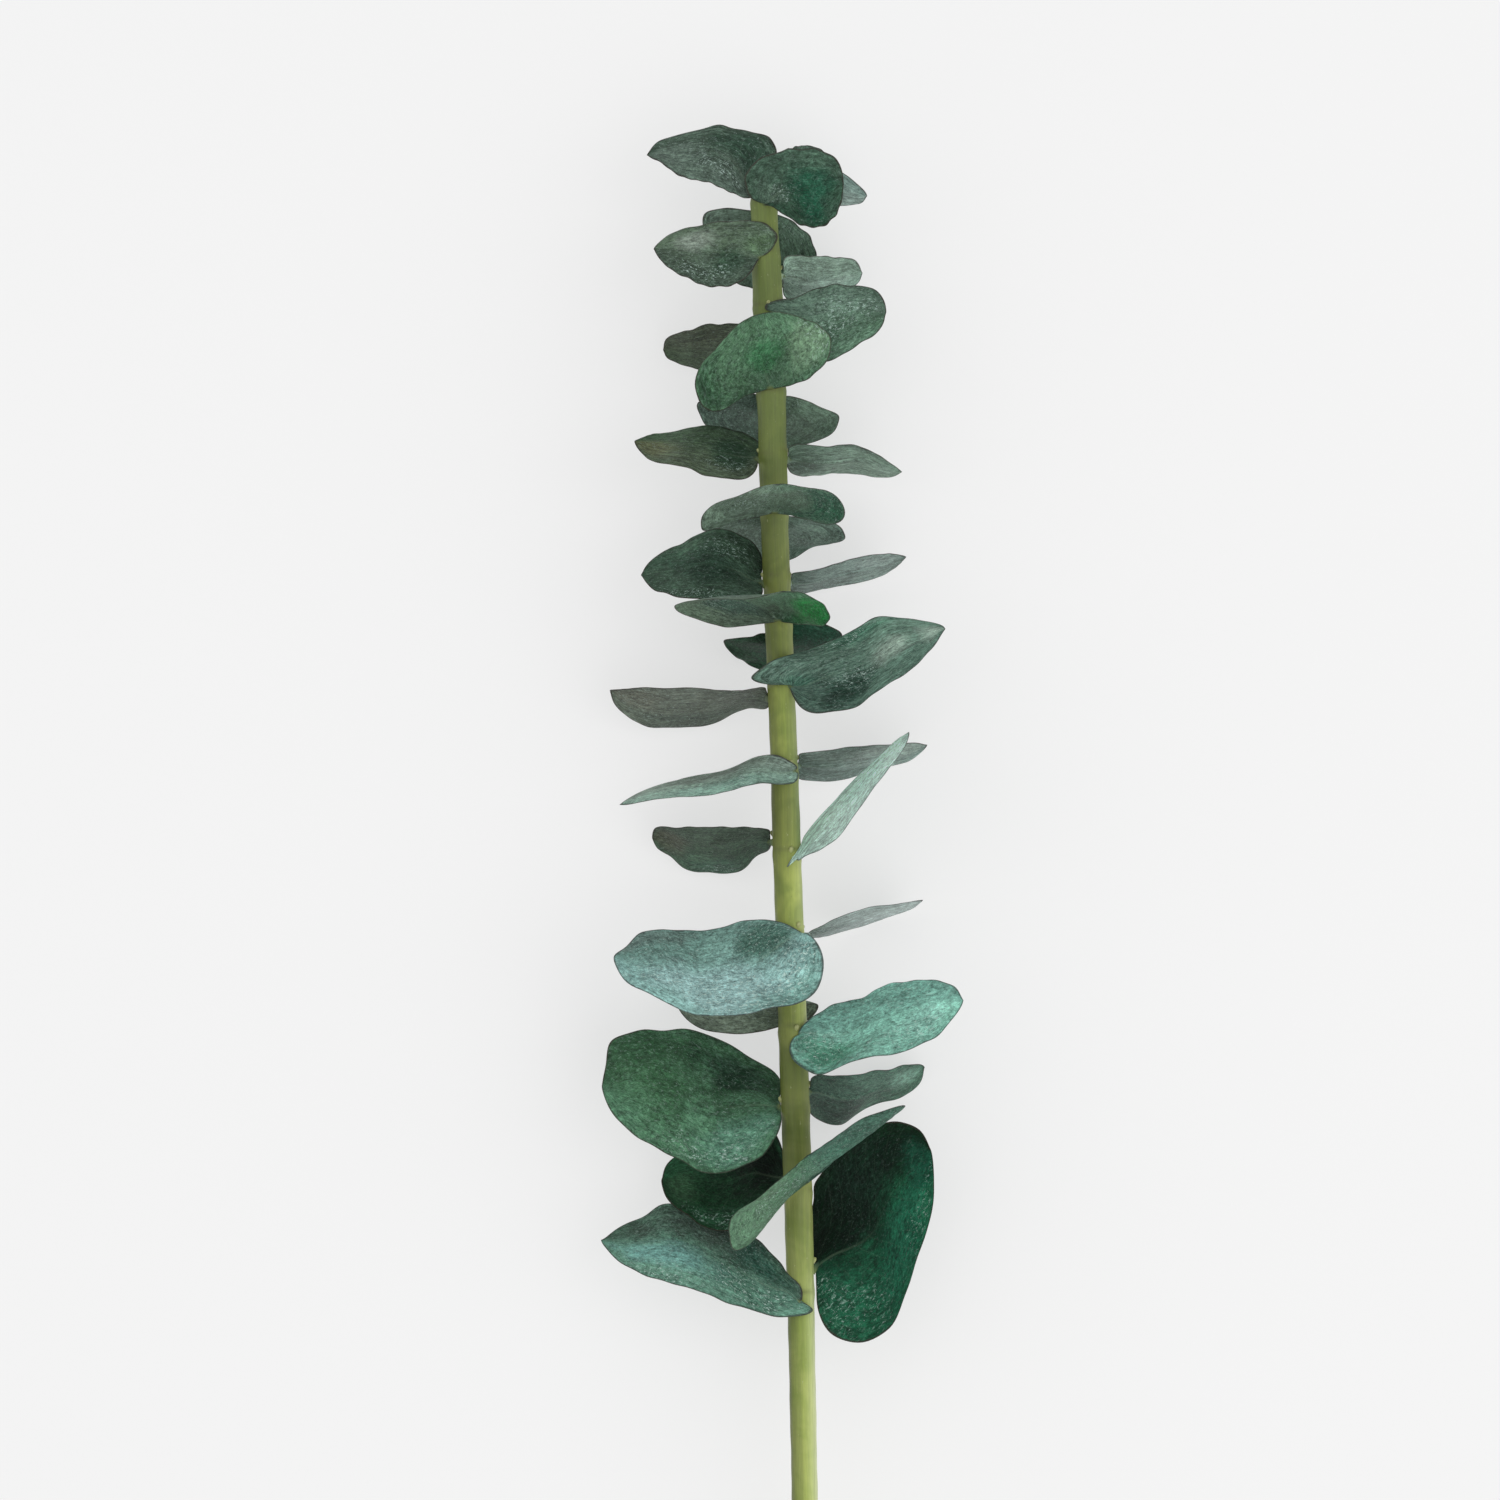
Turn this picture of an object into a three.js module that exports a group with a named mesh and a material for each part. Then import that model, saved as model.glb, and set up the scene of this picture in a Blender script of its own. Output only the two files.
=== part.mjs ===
// Eucalyptus branch: one bare, slightly bowed stem that carries opposite pairs of
// thick, stalkless, rounded leaves, every pair turned against the one below it.
//
// The branch is described in its own growth frame first (millimetres, +Y along
// the stem toward the growing tip, +X to one side, +Z away from the side it
// lies on), then turned by a degree or so onto the three leaf tips it
// balances on and set down on z = 0, centred on x and y.
//
// Pieces: the stem, and 35 separate leaves. No leaf touches another piece; each
// leaf base stops a hair short of the bark.
import * as THREE from 'three';

// ---------------------------------------------------------------- dimensions
const LEAF_THICKNESS = 0.5;      // leathery blade
const LEAF_STEM_GAP = 0.85;      // blade mid-surface to bark
const LEAF_STEM_BLEND = 1.2;     // how softly a blade bends around the stem
const NODE_SWELL = 0.2;          // swelling of the stem where a pair grows
const NODE_SPREAD = 1.5;         // half length of that swelling
const STEM_SIDES = 18;
const STEM_STEP = 10;           // spacing of stem rings
const REST_TURN_X_DEG = -0.2776;    // small turns from growth frame to lying down
const REST_TURN_Y_DEG = -1.4067;

// Stem axis: x, y and radius, from the cut end (bottom) to the tip.
const STEM_AXIS = [
  [12.8, -231.0, 2.77],
  [12.4, -212.1, 2.77],
  [12.0, -186.9, 2.77],
  [11.5, -154.4, 2.77],
  [11.1, -136.5, 2.81],
  [10.8, -119.7, 2.84],
  [10.3, -100.8, 2.98],
  [9.6, -77.3, 3.04],
  [9.1, -63.0, 3.04],
  [8.1, -31.5, 2.96],
  [7.5, -14.7, 2.96],
  [7.0, 2.1, 2.84],
  [6.0, 26.2, 2.81],
  [5.4, 38.6, 2.81],
  [4.9, 56.7, 2.90],
  [4.5, 75.6, 2.98],
  [3.8, 94.5, 3.07],
  [3.5, 100.8, 3.02],
  [3.1, 109.2, 2.77],
  [2.9, 114.4, 2.65],
  [2.7, 121.4, 2.00],
];

// Heights along the stem where leaf pairs grow.
const NODE_Y = [-114.5, -92.5, -75.0, -59.0, -39.0, -22.0, -4.5, 13.0, 26.5,
  36.0, 49.5, 62.0, 75.0, 93.0, 103.5, 114.5];

// Stations along every blade, as a fraction of the way from base to tip.
const STATION = [0, 0.03, 0.08, 0.16, 0.28, 0.42, 0.56, 0.70, 0.82, 0.91, 0.97, 1];
// Where the blade surface is sampled between the stations, and across it.
const ALONG = [0, 0.03, 0.08, 0.15, 0.24, 0.36, 0.48, 0.60, 0.72, 0.82, 0.90, 0.96, 1];
const ACROSS = 6;

// Each leaf is a net of stations from base to tip; a station is
// [one edge, midrib, other edge]. Leaves are numbered by the node they grow at.
const LEAVES = {
  leaf_01_left: [
    [[10.3, -115.7, 4.0], [10.3, -115.7, 4.0], [10.3, -115.7, 4.0]],
    [[11.0, -114.3, 3.8], [9.3, -114.5, 3.8], [11.9, -116.1, 3.8]],
    [[10.4, -112.0, 3.0], [7.4, -113.3, 3.5], [13.1, -117.4, 3.5]],
    [[7.5, -108.8, 0.9], [4.1, -112.4, 2.8], [9.0, -118.7, 3.9]],
    [[3.0, -104.4, -2.7], [-0.7, -110.1, 1.5], [2.6, -118.0, 4.8]],
    [[-3.3, -100.5, -8.0], [-6.1, -107.3, -0.5], [-4.4, -115.5, 6.2]],
    [[-10.4, -97.7, -11.0], [-11.8, -105.0, -2.4], [-11.4, -112.9, 5.9]],
    [[-17.6, -96.1, -10.7], [-17.8, -103.8, -4.1], [-18.4, -111.3, 2.6]],
    [[-23.3, -99.0, -10.6], [-23.5, -104.3, -5.4], [-24.3, -109.3, 0.0]],
    [[-27.5, -100.9, -9.2], [-27.6, -104.1, -6.3], [-28.4, -107.0, -3.3]],
    [[-30.1, -102.7, -7.4], [-30.3, -103.8, -6.9], [-30.7, -104.9, -6.3]],
    [[-31.5, -103.5, -7.1], [-31.5, -103.5, -7.1], [-31.5, -103.5, -7.1]],
  ],
  leaf_01_right: [
    [[13.4, -108.9, -0.8], [13.4, -108.9, -0.8], [13.4, -108.9, -0.8]],
    [[13.3, -107.4, -1.7], [14.3, -108.3, -1.1], [13.6, -110.9, -0.8]],
    [[13.2, -105.1, -4.2], [15.8, -107.3, -1.6], [13.8, -114.3, -1.1]],
    [[13.2, -101.2, -6.6], [18.3, -105.9, -2.2], [14.9, -119.7, -2.2]],
    [[13.2, -95.0, -5.3], [22.5, -104.2, -3.2], [20.9, -124.8, -3.1]],
    [[15.2, -88.3, -4.3], [26.2, -101.0, -4.2], [29.4, -121.7, -4.1]],
    [[19.7, -82.8, -5.1], [28.3, -96.3, -4.9], [33.3, -113.3, -4.9]],
    [[25.9, -79.3, -5.7], [30.9, -92.0, -5.6], [36.4, -104.4, -5.4]],
    [[31.8, -78.5, -5.9], [33.8, -88.9, -5.8], [38.5, -96.5, -5.3]],
    [[36.0, -80.4, -6.1], [36.1, -86.8, -5.8], [38.9, -90.4, -4.9]],
    [[37.6, -83.0, -6.1], [37.5, -85.3, -5.9], [38.6, -86.4, -5.7]],
    [[38.2, -84.4, -5.9], [38.2, -84.4, -5.9], [38.2, -84.4, -5.9]],
  ],
  leaf_02_front: [
    [[11.1, -91.3, 3.6], [11.1, -91.3, 3.6], [11.1, -91.3, 3.6]],
    [[10.0, -92.2, 3.6], [11.2, -91.1, 3.7], [12.3, -90.5, 3.5]],
    [[8.1, -93.7, 4.0], [11.2, -90.7, 4.2], [14.3, -89.0, 3.6]],
    [[5.1, -96.0, 5.2], [11.3, -90.1, 5.6], [17.3, -86.4, 4.3]],
    [[2.1, -100.6, 7.8], [11.9, -89.2, 8.4], [21.4, -82.1, 6.5]],
    [[-3.1, -103.9, 13.9], [12.0, -87.9, 14.7], [26.7, -77.6, 12.3]],
    [[-4.0, -97.4, 20.2], [14.0, -86.8, 21.1], [32.3, -73.5, 18.6]],
    [[0.6, -92.5, 26.1], [12.6, -85.3, 26.8], [24.9, -75.0, 24.7]],
    [[5.1, -88.8, 29.2], [12.1, -84.3, 29.6], [19.3, -77.9, 28.3]],
    [[8.3, -85.9, 30.9], [11.8, -83.7, 31.1], [15.4, -80.6, 30.4]],
    [[10.4, -84.0, 31.7], [11.6, -83.2, 31.8], [12.8, -82.2, 31.5]],
    [[11.4, -83.0, 31.9], [11.4, -83.0, 31.9], [11.4, -83.0, 31.9]],
  ],
  leaf_02_back: [
    [[8.0, -90.0, -1.9], [8.0, -90.0, -1.9], [8.0, -90.0, -1.9]],
    [[7.8, -89.0, -3.0], [7.2, -90.0, -2.3], [7.8, -91.1, -1.7]],
    [[7.3, -87.3, -6.0], [5.9, -90.1, -2.9], [7.3, -92.8, -0.4]],
    [[6.8, -84.5, -9.1], [3.7, -89.8, -3.9], [5.6, -95.0, 0.5]],
    [[4.9, -80.8, -10.8], [0.5, -89.4, -5.4], [2.2, -98.0, -0.6]],
    [[-0.6, -80.7, -13.5], [-3.2, -90.7, -7.4], [-2.3, -100.7, -2.4]],
    [[-5.9, -81.6, -15.0], [-7.0, -91.4, -9.0], [-7.5, -101.2, -4.3]],
    [[-11.0, -83.5, -15.5], [-10.7, -91.3, -10.2], [-12.2, -99.2, -6.1]],
    [[-15.1, -85.8, -15.0], [-14.0, -91.2, -10.9], [-15.8, -96.6, -7.8]],
    [[-17.7, -88.0, -13.5], [-16.4, -91.1, -11.3], [-18.0, -94.3, -9.6]],
    [[-18.5, -90.1, -11.9], [-18.0, -91.2, -11.5], [-18.7, -92.3, -11.1]],
    [[-18.8, -91.2, -11.5], [-18.8, -91.2, -11.5], [-18.8, -91.2, -11.5]],
  ],
  leaf_03_left: [
    [[6.7, -75.1, 1.0], [6.7, -75.1, 1.0], [6.7, -75.1, 1.0]],
    [[6.9, -73.5, 0.2], [5.6, -74.9, 1.2], [6.7, -76.7, 2.1]],
    [[6.9, -70.9, -2.5], [3.7, -74.7, 1.4], [6.3, -79.1, 5.1]],
    [[4.8, -67.3, -5.0], [0.6, -74.6, 1.6], [4.3, -82.7, 7.5]],
    [[-1.1, -64.4, -6.4], [-4.0, -75.1, 1.7], [-0.7, -86.5, 8.9]],
    [[-7.6, -60.3, -5.4], [-9.3, -74.2, 1.5], [-7.9, -88.4, 7.8]],
    [[-15.1, -59.0, -5.6], [-14.5, -72.4, 1.0], [-14.7, -85.6, 7.8]],
    [[-22.8, -59.1, -4.1], [-19.7, -71.1, 0.0], [-21.3, -82.3, 5.4]],
    [[-29.0, -61.1, -1.4], [-24.2, -70.4, -1.0], [-26.5, -78.7, 2.6]],
    [[-30.4, -65.8, -3.4], [-27.7, -70.8, -1.7], [-29.7, -75.0, 0.9]],
    [[-30.9, -69.1, -2.8], [-30.1, -70.8, -2.2], [-30.9, -72.3, -1.7]],
    [[-31.2, -70.7, -2.5], [-31.2, -70.7, -2.5], [-31.2, -70.7, -2.5]],
  ],
  leaf_03_right: [
    [[12.0, -71.9, -1.0], [12.0, -71.9, -1.0], [12.0, -71.9, -1.0]],
    [[12.0, -71.0, -1.0], [12.8, -71.9, -1.8], [12.0, -73.1, -2.6]],
    [[12.2, -69.5, 0.5], [14.1, -71.9, -3.1], [12.2, -75.1, -6.4]],
    [[13.6, -68.3, 1.8], [16.2, -72.5, -5.0], [13.4, -77.8, -11.3]],
    [[17.0, -68.2, 1.1], [19.6, -73.5, -7.8], [17.6, -79.8, -16.4]],
    [[20.9, -68.4, -0.9], [23.2, -73.3, -11.0], [21.1, -79.2, -20.8]],
    [[24.8, -67.8, -3.9], [26.6, -71.9, -13.7], [25.3, -76.6, -23.4]],
    [[28.8, -67.6, -7.8], [30.1, -71.2, -16.1], [30.2, -75.1, -24.3]],
    [[32.1, -66.9, -11.8], [33.1, -70.1, -17.7], [34.2, -73.4, -23.6]],
    [[34.8, -66.8, -15.7], [35.2, -69.0, -18.8], [36.5, -71.0, -21.9]],
    [[36.5, -67.1, -18.9], [36.6, -68.0, -19.5], [37.1, -68.8, -20.0]],
    [[37.3, -67.7, -19.7], [37.3, -67.7, -19.7], [37.3, -67.7, -19.7]],
  ],
  leaf_04_right: [
    [[10.1, -59.9, 2.9], [10.1, -59.9, 2.9], [10.1, -59.9, 2.9]],
    [[10.3, -58.7, 3.3], [11.0, -59.3, 3.3], [8.8, -60.6, 3.4]],
    [[11.5, -57.1, 3.2], [12.8, -59.3, 4.0], [8.2, -62.8, 4.4]],
    [[14.1, -55.2, 2.1], [15.8, -59.8, 4.8], [10.2, -66.0, 6.4]],
    [[18.5, -53.3, -0.2], [20.1, -59.7, 5.6], [15.5, -67.5, 10.3]],
    [[24.0, -51.8, -3.2], [24.8, -57.7, 6.2], [21.4, -64.5, 14.9]],
    [[29.1, -49.4, -3.7], [29.5, -56.2, 6.3], [27.9, -63.4, 16.0]],
    [[34.6, -48.4, -1.5], [34.3, -55.1, 6.3], [34.4, -61.6, 14.1]],
    [[39.3, -48.3, 1.1], [38.4, -53.9, 6.2], [39.4, -58.9, 11.6]],
    [[42.6, -49.4, 3.3], [41.5, -52.9, 5.9], [42.5, -55.9, 8.8]],
    [[44.0, -51.2, 5.1], [43.6, -52.5, 5.6], [44.1, -53.6, 6.2]],
    [[44.6, -52.3, 5.5], [44.6, -52.3, 5.5], [44.6, -52.3, 5.5]],
  ],
  leaf_04_left: [
    [[7.6, -54.8, -3.8], [7.6, -54.8, -3.8], [7.6, -54.8, -3.8]],
    [[8.0, -53.9, -4.3], [6.9, -54.3, -4.3], [8.9, -55.3, -4.2]],
    [[8.8, -52.6, -5.7], [5.9, -52.9, -5.1], [10.7, -54.6, -4.8]],
    [[10.2, -51.2, -8.4], [4.3, -51.0, -6.4], [14.2, -53.6, -6.3]],
    [[6.8, -49.7, -13.4], [1.2, -51.8, -8.5], [12.3, -57.1, -7.4]],
    [[2.2, -49.3, -18.7], [-2.4, -52.7, -11.2], [6.0, -58.5, -5.9]],
    [[-2.4, -49.1, -22.1], [-6.1, -53.7, -13.6], [-0.4, -59.9, -6.3]],
    [[-7.1, -49.2, -23.2], [-9.7, -54.0, -15.7], [-6.9, -59.8, -8.7]],
    [[-11.1, -49.5, -22.6], [-12.6, -53.6, -17.2], [-12.3, -58.0, -11.8]],
    [[-14.0, -49.9, -21.0], [-14.7, -52.5, -18.1], [-15.2, -55.1, -15.2]],
    [[-15.8, -50.6, -19.2], [-16.0, -51.6, -18.7], [-16.3, -52.6, -18.1]],
    [[-16.7, -51.2, -18.9], [-16.7, -51.2, -18.9], [-16.7, -51.2, -18.9]],
  ],
  leaf_05_left: [
    [[11.1, -38.4, 2.9], [11.1, -38.4, 2.9], [11.1, -38.4, 2.9]],
    [[10.0, -37.7, 3.5], [9.9, -38.5, 3.5], [12.9, -39.0, 3.6]],
    [[8.1, -36.7, 4.0], [8.0, -39.5, 4.5], [14.7, -41.4, 4.7]],
    [[4.9, -35.6, 4.0], [5.1, -41.6, 5.9], [15.4, -46.3, 6.1]],
    [[-0.3, -35.7, 3.5], [0.6, -44.6, 7.5], [11.4, -52.3, 9.5]],
    [[-6.2, -37.1, 0.8], [-4.8, -46.0, 9.1], [3.0, -54.0, 16.1]],
    [[-12.2, -37.9, 0.1], [-10.3, -46.7, 10.0], [-5.6, -55.0, 19.4]],
    [[-18.1, -37.4, 2.6], [-16.0, -45.7, 10.5], [-14.1, -53.9, 18.3]],
    [[-23.0, -38.4, 4.8], [-21.0, -44.5, 10.5], [-20.8, -50.7, 16.2]],
    [[-25.7, -40.8, 7.1], [-24.6, -44.3, 10.4], [-25.7, -48.0, 13.4]],
    [[-27.7, -42.2, 9.6], [-27.1, -43.6, 10.2], [-27.9, -45.1, 10.7]],
    [[-28.4, -43.3, 10.1], [-28.4, -43.3, 10.1], [-28.4, -43.3, 10.1]],
  ],
  leaf_05_right: [
    [[12.0, -39.1, -2.5], [12.0, -39.1, -2.5], [12.0, -39.1, -2.5]],
    [[12.4, -38.4, -3.0], [12.7, -38.9, -3.1], [12.7, -39.6, -4.1]],
    [[13.4, -37.7, -3.0], [14.0, -38.5, -4.0], [14.1, -39.7, -8.7]],
    [[15.3, -36.8, -1.6], [15.9, -38.0, -5.3], [16.2, -39.6, -14.6]],
    [[18.0, -35.3, 0.9], [18.9, -37.0, -7.2], [19.4, -38.9, -19.1]],
    [[21.4, -34.0, 2.4], [22.3, -35.9, -9.1], [23.0, -38.0, -22.1]],
    [[24.9, -33.0, 1.8], [25.8, -34.9, -10.8], [26.5, -36.9, -23.3]],
    [[28.6, -32.6, -1.6], [29.4, -34.1, -12.2], [30.0, -35.6, -22.7]],
    [[31.8, -32.4, -5.4], [32.4, -33.5, -13.1], [33.0, -34.6, -20.8]],
    [[34.3, -32.1, -9.7], [34.7, -32.8, -13.8], [35.0, -33.5, -17.8]],
    [[36.0, -31.9, -13.5], [36.1, -32.2, -14.1], [36.2, -32.4, -14.8]],
    [[36.8, -31.9, -14.3], [36.8, -31.9, -14.3], [36.8, -31.9, -14.3]],
  ],
  leaf_06_right: [
    [[9.4, -22.6, 3.8], [9.4, -22.6, 3.8], [9.4, -22.6, 3.8]],
    [[8.5, -23.4, 4.0], [10.5, -22.1, 4.0], [10.4, -23.1, 4.1]],
    [[7.7, -24.5, 3.9], [11.9, -21.0, 4.4], [11.8, -22.1, 5.4]],
    [[9.1, -21.7, 2.0], [13.9, -19.0, 5.0], [14.5, -20.9, 8.6]],
    [[11.8, -17.5, -1.1], [16.8, -15.8, 5.9], [18.1, -18.2, 13.4]],
    [[15.6, -12.9, -3.4], [19.9, -12.0, 6.7], [21.3, -14.1, 17.3]],
    [[19.7, -8.6, -3.7], [23.1, -8.1, 7.4], [24.3, -9.8, 18.8]],
    [[23.8, -4.4, -1.5], [26.2, -4.2, 7.9], [27.3, -5.6, 17.5]],
    [[27.5, -1.0, 1.1], [29.2, -1.2, 8.0], [30.2, -2.2, 15.0]],
    [[30.1, 1.7, 4.4], [31.3, 1.2, 8.0], [32.2, 0.6, 11.6]],
    [[32.1, 3.1, 7.4], [32.6, 2.9, 8.0], [33.1, 2.6, 8.6]],
    [[33.2, 3.8, 8.0], [33.2, 3.8, 8.0], [33.2, 3.8, 8.0]],
  ],
  leaf_06_left: [
    [[4.4, -19.3, -0.8], [4.4, -19.3, -0.8], [4.4, -19.3, -0.8]],
    [[4.5, -18.4, -0.5], [3.7, -19.3, -1.4], [4.4, -20.3, -2.2]],
    [[4.3, -16.9, 1.4], [2.4, -19.2, -2.2], [3.5, -21.5, -5.9]],
    [[2.3, -16.3, 3.7], [0.4, -19.4, -3.6], [1.3, -22.6, -11.0]],
    [[-1.2, -16.2, 3.8], [-2.6, -20.7, -5.5], [-1.3, -25.4, -14.8]],
    [[-5.3, -16.1, 2.5], [-6.2, -21.2, -7.7], [-5.6, -26.4, -17.9]],
    [[-9.4, -16.1, 0.2], [-9.7, -21.1, -9.6], [-10.0, -26.2, -19.4]],
    [[-13.6, -16.2, -3.2], [-13.2, -20.6, -11.2], [-14.2, -25.1, -19.3]],
    [[-17.2, -16.2, -6.5], [-16.2, -19.4, -12.4], [-17.1, -22.6, -18.4]],
    [[-19.9, -16.3, -10.4], [-18.5, -18.8, -13.2], [-19.5, -21.2, -16.1]],
    [[-20.7, -17.8, -13.1], [-20.0, -18.7, -13.7], [-20.5, -19.6, -14.2]],
    [[-20.8, -18.7, -13.9], [-20.8, -18.7, -13.9], [-20.8, -18.7, -13.9]],
  ],
  leaf_07_left: [
    [[9.6, -4.4, 3.4], [9.6, -4.4, 3.4], [9.6, -4.4, 3.4]],
    [[9.7, -3.2, 3.7], [8.5, -4.6, 3.7], [10.2, -5.5, 3.7]],
    [[8.1, -2.1, 3.8], [6.7, -4.9, 4.3], [9.1, -6.9, 4.7]],
    [[5.0, -1.0, 3.4], [3.5, -4.5, 5.1], [5.9, -7.2, 6.9]],
    [[0.3, -1.7, 1.9], [-1.0, -4.8, 6.4], [1.1, -7.1, 11.0]],
    [[-4.9, -4.1, -1.7], [-6.0, -6.6, 7.9], [-4.2, -8.5, 17.5]],
    [[-10.5, -5.4, -2.8], [-11.2, -7.6, 9.1], [-9.7, -9.4, 20.9]],
    [[-16.2, -6.5, -0.2], [-16.4, -8.3, 9.9], [-15.2, -9.8, 20.0]],
    [[-20.8, -7.9, 2.9], [-20.8, -9.2, 10.3], [-20.0, -10.3, 17.6]],
    [[-24.1, -9.4, 6.6], [-24.0, -10.2, 10.4], [-23.5, -11.0, 14.3]],
    [[-26.2, -10.7, 9.8], [-26.1, -11.0, 10.5], [-25.9, -11.4, 11.1]],
    [[-27.2, -11.4, 10.5], [-27.2, -11.4, 10.5], [-27.2, -11.4, 10.5]],
  ],
  leaf_07_right: [
    [[9.5, -3.4, -1.3], [9.5, -3.4, -1.3], [9.5, -3.4, -1.3]],
    [[9.7, -2.5, -0.9], [10.3, -3.3, -1.8], [9.7, -4.3, -2.6]],
    [[10.0, -1.0, 1.0], [11.7, -3.2, -2.7], [10.2, -5.9, -6.2]],
    [[12.2, -0.5, 3.4], [14.0, -3.2, -4.0], [12.6, -6.5, -11.3]],
    [[15.7, -0.1, 3.7], [17.5, -3.1, -5.9], [16.5, -6.7, -15.5]],
    [[19.9, 0.5, 2.6], [21.4, -2.6, -8.1], [21.0, -6.1, -18.8]],
    [[24.1, 0.9, 0.3], [25.4, -1.8, -10.0], [25.3, -4.7, -20.3]],
    [[28.3, 1.2, -3.0], [29.3, -1.1, -11.7], [29.7, -3.6, -20.3]],
    [[32.0, 1.4, -6.6], [32.7, -0.6, -12.8], [33.4, -2.6, -19.1]],
    [[34.8, 1.6, -10.3], [35.2, 0.2, -13.6], [35.8, -1.1, -16.9]],
    [[36.7, 1.3, -13.5], [36.9, 0.8, -14.1], [37.1, 0.2, -14.6]],
    [[37.7, 1.1, -14.3], [37.7, 1.1, -14.3], [37.7, 1.1, -14.3]],
  ],
  leaf_08_right: [
    [[8.2, 13.4, 2.9], [8.2, 13.4, 2.9], [8.2, 13.4, 2.9]],
    [[6.6, 13.7, 3.3], [9.2, 13.5, 3.4], [8.6, 12.2, 3.4]],
    [[3.9, 13.6, 4.0], [11.1, 13.5, 4.0], [9.5, 10.3, 4.4]],
    [[0.3, 15.2, 5.0], [13.7, 14.4, 5.0], [11.8, 8.1, 6.3]],
    [[4.6, 18.6, 6.0], [17.6, 15.8, 6.1], [16.8, 8.0, 9.5]],
    [[11.7, 21.1, 3.4], [22.3, 17.1, 7.2], [22.4, 9.4, 14.2]],
    [[18.9, 23.5, 0.9], [26.7, 19.3, 7.7], [27.2, 12.6, 16.6]],
    [[25.3, 27.4, 1.6], [30.7, 22.3, 8.0], [32.2, 15.8, 15.1]],
    [[31.7, 27.7, 2.7], [34.7, 23.7, 7.9], [36.0, 19.1, 13.2]],
    [[36.5, 27.1, 4.7], [37.7, 24.6, 7.6], [38.6, 22.0, 10.6]],
    [[39.5, 26.3, 6.8], [39.7, 25.2, 7.3], [40.0, 24.1, 7.8]],
    [[40.8, 25.3, 7.1], [40.8, 25.3, 7.1], [40.8, 25.3, 7.1]],
  ],
  leaf_08_left: [
    [[4.2, 10.9, -1.3], [4.2, 10.9, -1.3], [4.2, 10.9, -1.3]],
    [[4.2, 12.0, -0.9], [3.2, 10.9, -1.7], [4.3, 9.7, -2.5]],
    [[3.2, 13.1, 1.2], [1.5, 10.9, -2.4], [3.0, 8.6, -6.1]],
    [[0.3, 12.8, 4.1], [-1.2, 10.9, -3.5], [-0.2, 8.8, -11.1]],
    [[-3.9, 12.5, 4.8], [-5.3, 9.9, -5.0], [-4.7, 7.1, -14.7]],
    [[-8.9, 12.9, 4.1], [-10.1, 9.1, -6.4], [-10.0, 5.1, -17.0]],
    [[-13.8, 13.0, 2.3], [-14.9, 8.9, -7.6], [-15.8, 4.7, -17.6]],
    [[-18.8, 13.0, -0.4], [-19.7, 9.0, -8.6], [-21.5, 5.0, -16.7]],
    [[-23.1, 13.2, -3.2], [-23.7, 10.1, -9.1], [-25.9, 7.0, -14.8]],
    [[-26.4, 12.9, -6.3], [-26.7, 11.0, -9.4], [-28.5, 9.3, -12.4]],
    [[-28.6, 12.8, -9.1], [-28.7, 12.2, -9.6], [-29.4, 11.5, -10.1]],
    [[-29.7, 12.7, -9.7], [-29.7, 12.7, -9.7], [-29.7, 12.7, -9.7]],
  ],
  leaf_09_front: [
    [[6.1, 27.0, 3.4], [6.1, 27.0, 3.4], [6.1, 27.0, 3.4]],
    [[4.9, 26.7, 3.2], [5.9, 27.2, 3.4], [6.8, 26.8, 3.2]],
    [[2.8, 26.4, 3.2], [5.6, 27.6, 3.7], [7.9, 26.6, 3.2]],
    [[-0.5, 26.0, 3.6], [5.1, 28.2, 4.5], [9.7, 26.3, 3.5]],
    [[-5.4, 25.6, 4.9], [4.4, 29.2, 6.2], [12.5, 26.1, 4.8]],
    [[-10.8, 27.3, 9.3], [3.3, 30.2, 10.9], [15.7, 26.1, 9.1]],
    [[-16.0, 29.7, 14.4], [0.7, 31.6, 16.0], [16.3, 28.7, 14.2]],
    [[-8.5, 31.1, 19.7], [2.9, 31.8, 21.1], [14.0, 30.9, 19.6]],
    [[-2.1, 31.0, 22.5], [4.8, 32.0, 23.4], [11.5, 32.1, 22.4]],
    [[2.7, 31.7, 24.2], [6.1, 32.3, 24.7], [9.5, 32.6, 24.1]],
    [[5.8, 32.4, 25.0], [6.9, 32.5, 25.1], [8.1, 32.5, 24.9]],
    [[7.4, 32.5, 25.2], [7.4, 32.5, 25.2], [7.4, 32.5, 25.2]],
  ],
  leaf_09_back: [
    [[6.1, 24.9, -3.4], [6.1, 24.9, -3.4], [6.1, 24.9, -3.4]],
    [[5.3, 24.8, -3.2], [6.1, 24.6, -3.4], [6.9, 25.5, -3.2]],
    [[3.9, 24.7, -3.3], [6.1, 24.2, -3.7], [8.4, 26.6, -3.3]],
    [[1.7, 24.3, -3.7], [6.3, 23.5, -4.5], [11.1, 27.1, -3.7]],
    [[-1.6, 23.6, -4.9], [6.7, 22.5, -6.2], [15.3, 26.8, -4.9]],
    [[-5.6, 23.3, -8.8], [6.9, 21.4, -10.4], [19.5, 24.3, -8.8]],
    [[-3.8, 20.5, -13.3], [6.6, 20.3, -15.0], [17.1, 21.4, -13.3]],
    [[-1.1, 18.6, -18.2], [6.3, 19.1, -19.5], [13.7, 19.5, -18.2]],
    [[1.5, 17.4, -20.7], [6.1, 18.2, -21.6], [10.7, 18.0, -20.7]],
    [[3.6, 17.0, -22.2], [6.0, 17.4, -22.7], [8.3, 17.1, -22.2]],
    [[5.1, 16.7, -22.9], [5.8, 16.9, -23.0], [6.6, 16.8, -22.9]],
    [[5.8, 16.6, -23.1], [5.8, 16.6, -23.1], [5.8, 16.6, -23.1]],
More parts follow.
